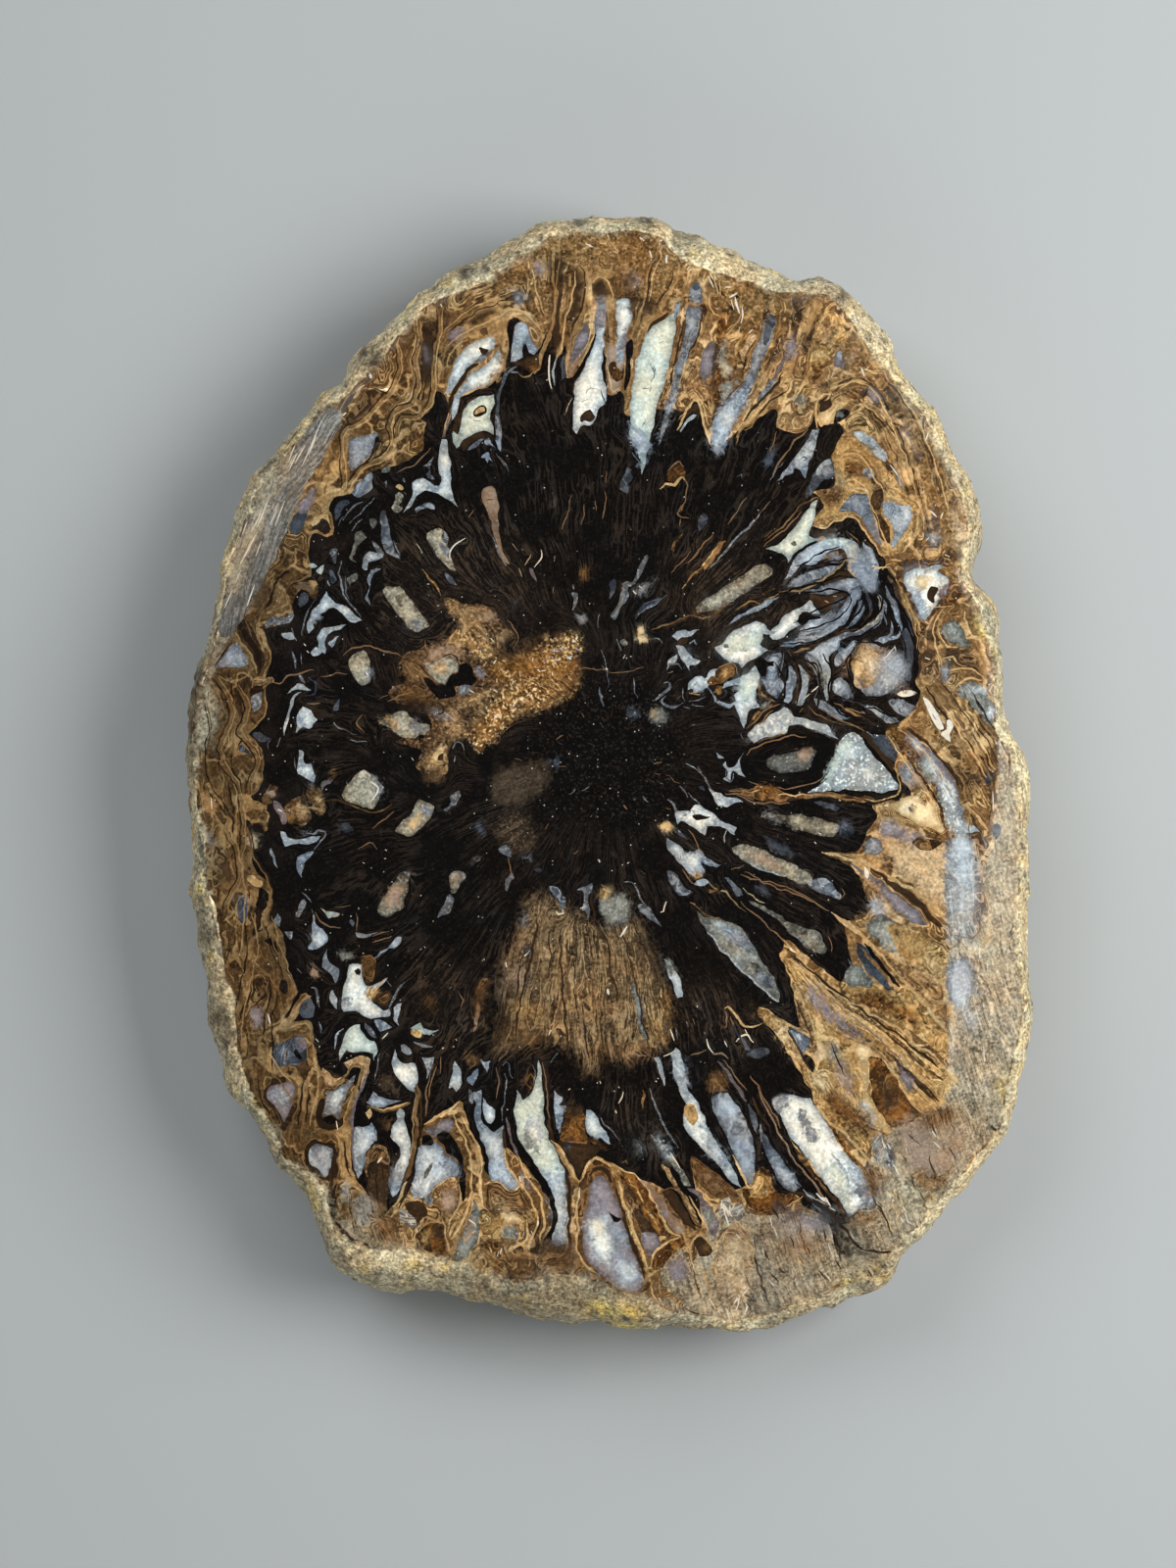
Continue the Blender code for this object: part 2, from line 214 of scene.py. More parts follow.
# ------------------------------------------------------------------- curves
def _span(a, b, c, d, m):
    """m points from b towards c on a centripetal curve through a, b, c, d."""
    t = np.linspace(0, 1, m, endpoint=False)[:, None]
    d1 = max(np.hypot(*(b - a)), 1e-6) ** 0.5
    d2 = max(np.hypot(*(c - b)), 1e-6) ** 0.5
    d3 = max(np.hypot(*(d - c)), 1e-6) ** 0.5
    m1 = d2 * ((b - a) / d1 - (c - a) / (d1 + d2) + (c - b) / d2)
    m2 = d2 * ((c - b) / d2 - (d - b) / (d2 + d3) + (d - c) / d3)
    return ((2 * t ** 3 - 3 * t ** 2 + 1) * b + (t ** 3 - 2 * t ** 2 + t) * m1
            + (3 * t ** 2 - 2 * t ** 3) * c + (t ** 3 - t ** 2) * m2)


def open_curve(pts, step):
    p = np.asarray(pts, float)
    if len(p) == 2:
        m = max(2, int(round(np.hypot(*(p[1] - p[0])) / step)) + 1)
        return p[0] + (p[1] - p[0]) * np.linspace(0, 1, m)[:, None]
    ext = np.vstack([2 * p[0] - p[1], p, 2 * p[-1] - p[-2]])
    out = []
    for i in range(1, len(p)):
        m = max(1, int(round(np.hypot(*(ext[i + 1] - ext[i])) / step)))
        out.append(_span(ext[i - 1], ext[i], ext[i + 1], ext[i + 2], m))
    out.append(p[-1:])
    return np.vstack(out)


def closed_curve(pts, sharp, step):
    """A closed curve, smooth but for the points marked sharp."""
    p = np.asarray(pts, float)
    n = len(p)
    if not any(sharp):
        out = []
        for i in range(n):
            a, b, c, d = p[i - 1], p[i], p[(i + 1) % n], p[(i + 2) % n]
            m = max(1, int(round(np.hypot(*(c - b)) / step)))
            out.append(_span(a, b, c, d, m))
        return np.vstack(out)
    k = list(sharp).index(True)
    p = np.vstack([p[k:], p[:k + 1]])
    sharp = list(sharp[k:]) + list(sharp[:k + 1])
    cuts = [i for i, s in enumerate(sharp) if s]
    out = []
    for a, b in zip(cuts, cuts[1:]):
        out.append(open_curve(p[a:b + 1], step)[:-1])
    return np.vstack(out)


def inside(points, poly):
    """Even-odd test of points against a closed outline."""
    x, y = points[:, 0], points[:, 1]
    res = np.zeros(len(points), bool)
    x0, y0 = poly[:, 0], poly[:, 1]
    x1, y1 = np.roll(x0, -1), np.roll(y0, -1)
    chunk = max(1, int(4e6 // max(1, len(poly))))
    for s in range(0, len(points), chunk):
        px, py = x[s:s + chunk, None], y[s:s + chunk, None]
        cond = (y0 > py) != (y1 > py)
        with np.errstate(divide="ignore", invalid="ignore"):
            xi = x0 + (py - y0) * (x1 - x0) / (y1 - y0)
        res[s:s + chunk] = (np.sum(cond & (px < xi), axis=1) % 2) == 1
    return res


def distance(points, line, closed=True):
    """Shortest distance from each point to a line of segments."""
    a = line
    b = np.roll(line, -1, axis=0) if closed else line[1:]
    if not closed:
        a = line[:-1]
    ab = b - a
    ll = np.maximum((ab ** 2).sum(1), 1e-12)
    out = np.empty(len(points))
    chunk = max(1, int(3e6 // max(1, len(a))))
    for s in range(0, len(points), chunk):
        p = points[s:s + chunk]
        ap = p[:, None, :] - a[None]
        t = np.clip((ap * ab[None]).sum(2) / ll[None], 0, 1)
        q = ap - t[..., None] * ab[None]
        out[s:s + chunk] = np.sqrt((q ** 2).sum(2).min(1))
    return out


def radius_by_angle(points):
    xy = to_xy(closed_curve(points, [False] * len(points), 2.0))
    ang = np.unwrap(np.arctan2(xy[:, 1], xy[:, 0]))
    if ang[-1] < ang[0]:
        xy, ang = xy[::-1], ang[::-1]
    ang = np.maximum.accumulate(ang) + np.arange(len(ang)) * 1e-9
    rad = np.hypot(xy[:, 0], xy[:, 1])
    turn = 2 * math.pi
    ang3 = np.concatenate([ang - turn, ang, ang + turn])
    rad3 = np.tile(rad, 3)

    def radius(a):
        return np.interp((np.asarray(a) - ang[0]) % turn + ang[0], ang3, rad3)
    return radius


def to_xy(p):
    """Drawing position to units about the centre, y upward."""
    p = np.asarray(p, float)
    return np.column_stack([p[:, 0] - CENTRE[0], CENTRE[1] - p[:, 1]])


def from_xy(q):
    return np.column_stack([q[:, 0] + CENTRE[0], CENTRE[1] - q[:, 1]])


def even_angles(points, count):
    xy = to_xy(closed_curve(points, [False] * len(points), 2.0))
    if xy[0, 0] * xy[5, 1] - xy[0, 1] * xy[5, 0] < 0:
        xy = xy[::-1]
    loop = np.vstack([xy, xy[:1]])
    run = np.concatenate([[0], np.cumsum(np.hypot(*np.diff(loop, axis=0).T))])
    want = np.linspace(0, run[-1], count, endpoint=False)
    a = np.unwrap(np.arctan2(np.interp(want, run, loop[:, 1]),
                             np.interp(want, run, loop[:, 0])))
    return np.maximum.accumulate(a)


def sector(angle, mid, half, soft):
    d = np.abs((np.degrees(angle) - mid + 180) % 360 - 180)
    return np.clip((half + soft - d) / soft, 0, 1)


# ------------------------------------------------------- reading the drawing
# Each line of the drawing is one marking: a letter for its kind, the name of
# its finish, then its points. "p" is a closed patch, "s" a line with a width,
# "b" a patch whose edge is frayed over so many units, "f" only a direction of
# the grain. A point with "!" after it is a sharp corner.
def read_drawing(text):
    marks = []
    for row in text.split("\n"):
        row = row.split("#")[0].split()
        if not row:
            continue
        kind, finish = row[0], row[1]
        size, rest = 0.0, row[2:]
        if kind in "sb":
            size, rest = float(row[2]), row[3:]
        pts, sharp = [], []
        for tok in rest:
            sharp.append(tok.endswith("!"))
            pts.append([float(v) for v in tok.rstrip("!").split(",")])
        marks.append((kind, finish, size, np.array(pts), sharp))
    return marks


def ribbon(line, width, taper=0.35):
    """The outline of a thin line of this width, narrower at its ends."""
    n = len(line)
    d = np.gradient(line, axis=0)
    d /= np.maximum(np.hypot(d[:, 0], d[:, 1]), 1e-9)[:, None]
    nrm = np.column_stack([-d[:, 1], d[:, 0]])
    s = np.linspace(0, 1, n)
    w = width * 0.5 * (taper + (1 - taper) * np.clip(
        np.minimum(s, 1 - s) * n / 3.0, 0, 1))
    return np.vstack([line + nrm * w[:, None], (line - nrm * w[:, None])[::-1]])


# ---------------------------------------------------------------- the grain
# u is a number that stays the same along the grain of the stone and changes
# across it. It starts as a plain fan round the pith (or, in the left rind, as
# the depth below the rim), and every drawn line then bends it, so the fine
# grain runs along whatever is drawn near it.
FAN = 250.0
PITH = (620.0, 775.0)
GRID = 3.0
GX0, GY0, GNX, GNY = 176.0, 208.0, 296, 388


def wrap(a):
    return (a + math.pi) % (2 * math.pi) - math.pi


def base_grain(x, y, depth):
    """Start angle of the grain (radians) at drawing positions."""
    fan = np.arctan2(y - PITH[1], x - PITH[0])
    ring = depth / FAN * 1.25
    w = rind_ring(x, y, depth)
    # blend as directions so that the seam of the angle never shows
    cx = np.cos(fan) * (1 - w) + np.cos(ring) * w
    cy = np.sin(fan) * (1 - w) + np.sin(ring) * w
    return np.arctan2(cy, cx), w


def rind_ring(x, y, depth):
    """Where the laminae run along the rim in place of across it."""
    ang = np.degrees(np.arctan2(CENTRE[1] - y, x - CENTRE[0])) % 360
    left = ease(128, 140, ang) * ease(222, 208, ang)
    right = np.maximum(ease(62, 50, ang), ease(338, 350, ang))
    keep = ease(96, 70, depth)
    return np.maximum(left * keep, right * 0.9 * ease(110, 80, depth))


def relax(val, fixed, keep, rounds, pull):
    w = val.copy()
    for _ in range(rounds):
        p = np.pad(w, 1, mode="edge")
        nb = (p[:-2, 1:-1] + p[2:, 1:-1] + p[1:-1, :-2] + p[1:-1, 2:]) / (4 + pull)
        w = np.where(fixed, keep, nb)
    return w


def solve_grain(lines, depth_at):
    """Bends the start grain so that each drawn line lies along it."""
    gx = GX0 + GRID * np.arange(GNX)
    gy = GY0 + GRID * np.arange(GNY)
    X, Y = np.meshgrid(gx, gy)
    flat = np.column_stack([X.ravel(), Y.ravel()])
    phi, _ = base_grain(flat[:, 0], flat[:, 1], depth_at(flat))
    phi = phi.reshape(X.shape)
    fixed = np.zeros(X.shape, bool)
    keep = np.zeros(X.shape)
    for pts in lines:
        i = np.clip(np.round((pts[:, 0] - GX0) / GRID).astype(int), 0, GNX - 1)
        j = np.clip(np.round((pts[:, 1] - GY0) / GRID).astype(int), 0, GNY - 1)
        a = phi[j, i]
        mean = math.atan2(np.sin(a).mean(), np.cos(a).mean())
        fixed[j, i] = True
        keep[j, i] = wrap(mean - a)
    # coarse to fine
    w = None
    for f in (8, 4, 2, 1):
        ny, nx = -(-GNY // f), -(-GNX // f)
        cnt = np.zeros((ny, nx))
        acc = np.zeros((ny, nx))
        jj, ii = np.nonzero(fixed)
        np.add.at(cnt, (jj // f, ii // f), 1)
        np.add.at(acc, (jj // f, ii // f), keep[jj, ii])
        fx = cnt > 0
        kp = np.where(fx, acc / np.maximum(cnt, 1), 0)
        if w is None:
            w = kp.copy()
        else:
            w = np.repeat(np.repeat(w, 2, 0), 2, 1)[:ny, :nx]
        w = relax(w, fx, kp, 60, (f * GRID / 70.0) ** 2)
    return w


def sample_grid(g, pts):
    fx = np.clip((pts[:, 0] - GX0) / GRID, 0, GNX - 1.001)
    fy = np.clip((pts[:, 1] - GY0) / GRID, 0, GNY - 1.001)
    i, j = fx.astype(int), fy.astype(int)
    a, b = fx - i, fy - j
    return (g[j, i] * (1 - a) * (1 - b) + g[j, i + 1] * a * (1 - b)
            + g[j + 1, i] * (1 - a) * b + g[j + 1, i + 1] * a * b)


def flow_vector(pts, grid, depth):
    phi, w = base_grain(pts[:, 0], pts[:, 1], depth)
    u = phi + sample_grid(grid, pts)
    r = np.hypot(pts[:, 0] - PITH[0], pts[:, 1] - PITH[1])
    ang = np.arctan2(pts[:, 1] - PITH[1], pts[:, 0] - PITH[0])
    v = r * (1 - w) + 380 * np.abs(ang) * w
    return np.column_stack([FAN * np.cos(u), FAN * np.sin(u), 0.11 * v])


# ----------------------------------------------------------------- finishes
# name: middle colour, edge colour, colour of the light streaks, width of the
# edge, how much the streaks cover, how strong the thin bright laminae are, how
# mottled, how rough, how uneven, how much it sparkles (grit and painted glints)
FINISH = {
    # woody scales turned to black chalcedony
    "k": ((10, 8, 7), (9, 7, 6), (58, 49, 42), 4, .04, .40, .5, .16, 0, .05),
    "kb": ((17, 14, 12), (15, 12, 10), (80, 66, 53), 6, .18, .46, .6, .18, 0, .07),
    "kk": ((8, 7, 6), (8, 7, 6), (52, 44, 37), 4, .04, .26, .3, .15, 0, .03),
    # rind
    "r": ((98, 73, 43), (84, 61, 35), (198, 164, 112), 5, .34, .85, .9, .26, .10, .07),
    "rd": ((62, 46, 29), (52, 38, 24), (146, 114, 76), 5, .30, .75, .8, .26, .10, .05),
    "rl": ((138, 108, 70), (118, 90, 56), (214, 182, 134), 5, .36, .80, .8, .26, .10, .08),
    "t": ((150, 119, 78), (128, 99, 62), (192, 162, 116), 2, .3, .45, .6, .24, .05, .03),
    "T": ((200, 170, 122), (178, 146, 98), (232, 210, 168), 2, .3, .35, .5, .24, .05, .05),
    "n":  ((50, 36, 23), (42, 30, 19), (96, 70, 42), 2, .2, .2, .4, .22, .05, .02),
    "bw": ((84, 60, 35), (54, 38, 23), (160, 122, 78), 8, .35, .60, .9, .22, .04, .05),
    "rb": ((106, 79, 44), (86, 62, 34), (190, 158, 110), 6, .40, .22, 1.6, .26, .10, .20),
    # agate between the scales
    "w": ((216, 219, 211), (146, 158, 165), (240, 240, 233), 7, .3, .10, .6, .13, 0, .10),
    "wb": ((174, 183, 188), (112, 123, 135), (218, 225, 226), 7, .3, .25, .6, .13, 0, .08),
    "wg": ((136, 140, 144), (90, 93, 98), (190, 194, 196), 7, .3, .20, .7, .15, 0, .12),
    "gw": ((196, 204, 190), (152, 166, 162), (228, 230, 216), 7, .3, .1, .6, .13, 0, .10),
    "gg": ((122, 124, 116), (88, 90, 84), (176, 178, 168), 6, .35, .15, 1., .16, 0, .12),
    "bl": ((112, 119, 128), (72, 78, 86), (168, 176, 182), 4, .35, .50, .6, .14, 0, .05),
    "bd": ((56, 61, 69), (40, 44, 50), (104, 112, 122), 5, .35, .45, .6, .14, 0, .04),
    "cr": ((226, 206, 164), (190, 160, 112), (240, 228, 196), 8, .3, .0, .4, .18, .02, .10),
    "vi": ((132, 125, 129), (104, 95, 96), (184, 178, 182), 7, .3, .0, .6, .15, 0, .06),
    "tg": ((150, 130, 112), (118, 96, 76), (190, 172, 152), 5, .3, .1, .5, .18, 0, .06),
    # seeds
    "sd": ((112, 108, 94), (76, 71, 61), (172, 167, 148), 5, .5, .15, 1.2, .2, .03, .15),
    "sl": ((148, 144, 126), (100, 95, 82), (196, 192, 174), 5, .4, .15, 1.1, .2, .03, .15),
    "sg": ((90, 91, 86), (60, 58, 53), (142, 144, 138), 5, .4, .15, 1.1, .2, .03, .12),
    # gold, amber and flesh-coloured chalcedony
    "og": ((122, 93, 60), (88, 66, 42), (206, 174, 126), 8, .45, .40, 1.3, .2, .04, .14),
    "gd": ((140, 110, 66), (112, 84, 46), (214, 182, 126), 8, .4, .75, 1., .22, .04, .10),
    "am": ((104, 68, 30), (50, 33, 18), (176, 126, 66), 12, .35, .40, 1.2, .2, .02, .08),
    "pk": ((178, 152, 114), (146, 116, 78), (216, 192, 156), 10, .4, .30, 1., .2, .02, .10),
    # hz: grey haze of the ground surfaces; on the bevels it also carries a painted sheen of the lamp
    "hz": ((112, 106, 95), (104, 98, 86), (196, 192, 182), 8, .40, .60, .9, .40, .05, .10),
    # ground, unpolished surfaces
    "gr": ((146, 134, 109), (132, 118, 95), (206, 194, 168), 6, .45, .35, 1.2, .44, .22, .14),
    "gb": ((122, 109, 86), (104, 91, 70), (192, 176, 148), 6, .55, .50, 1.4, .5, .40, .14),
    "gs": ((118, 84, 44), (78, 55, 30), (240, 212, 156), 5, .10, .0, 2.3, .26, .05, .80),
    "bn": ((72, 53, 35), (44, 33, 23), (156, 122, 82), 14, .30, .25, 1.9, .22, .03, .20),
    # weathered crust
    "cc": ((184, 170, 136), (184, 170, 136), (218, 208, 176), 4, .4, .0, 1., .72, 1., .10),
    "co": ((134, 127, 106), (134, 127, 106), (178, 172, 148), 4, .4, .0, 1., .74, 1., .08),
    "cd": ((72, 66, 54), (72, 66, 54), (120, 112, 94), 4, .4, .0, 1., .76, 1., .05),
    "cy": ((198, 172, 98), (190, 162, 88), (222, 202, 136), 4, .4, .0, 1., .72, 1., .08),
    # pith and the fan under it
    "br": ((58, 48, 37), (46, 38, 29), (100, 86, 68), 6, .35, .3, .9, .2, 0, .06),
    "ps": ((40, 32, 24), (34, 27, 20), (110, 92, 70), 6, .45, .2, 1., .2, 0, .25),
    "su": ((138, 146, 148), (120, 128, 130), (225, 228, 222), 4, .35, 0, .8, .16, 0, .55),
    "fn": ((76, 60, 41), (54, 42, 29), (150, 125, 90), 8, .45, .85, 1.3, .22, .02, .12),
    # chips, lint and the hair cracks
    "h":  ((214, 206, 190), (206, 198, 180), (240, 236, 226), 2, .1, .0, .2, .3, 0, .05),
    "hb": ((120, 96, 70), (110, 86, 62), (160, 134, 104), 2, .1, .0, .2, .25, 0, .03),
}
KEYS = {k: i for i, k in enumerate(FINISH)}
F_CORE = np.array([srgb(*v[0]) for v in FINISH.values()])
F_EDGE = np.array([srgb(*v[1]) for v in FINISH.values()])
F_LINE = np.array([srgb(*v[2]) for v in FINISH.values()])
F_SPAN = np.array([v[3] for v in FINISH.values()], float)
F_NUM = np.array([v[4:] for v in FINISH.values()], float)
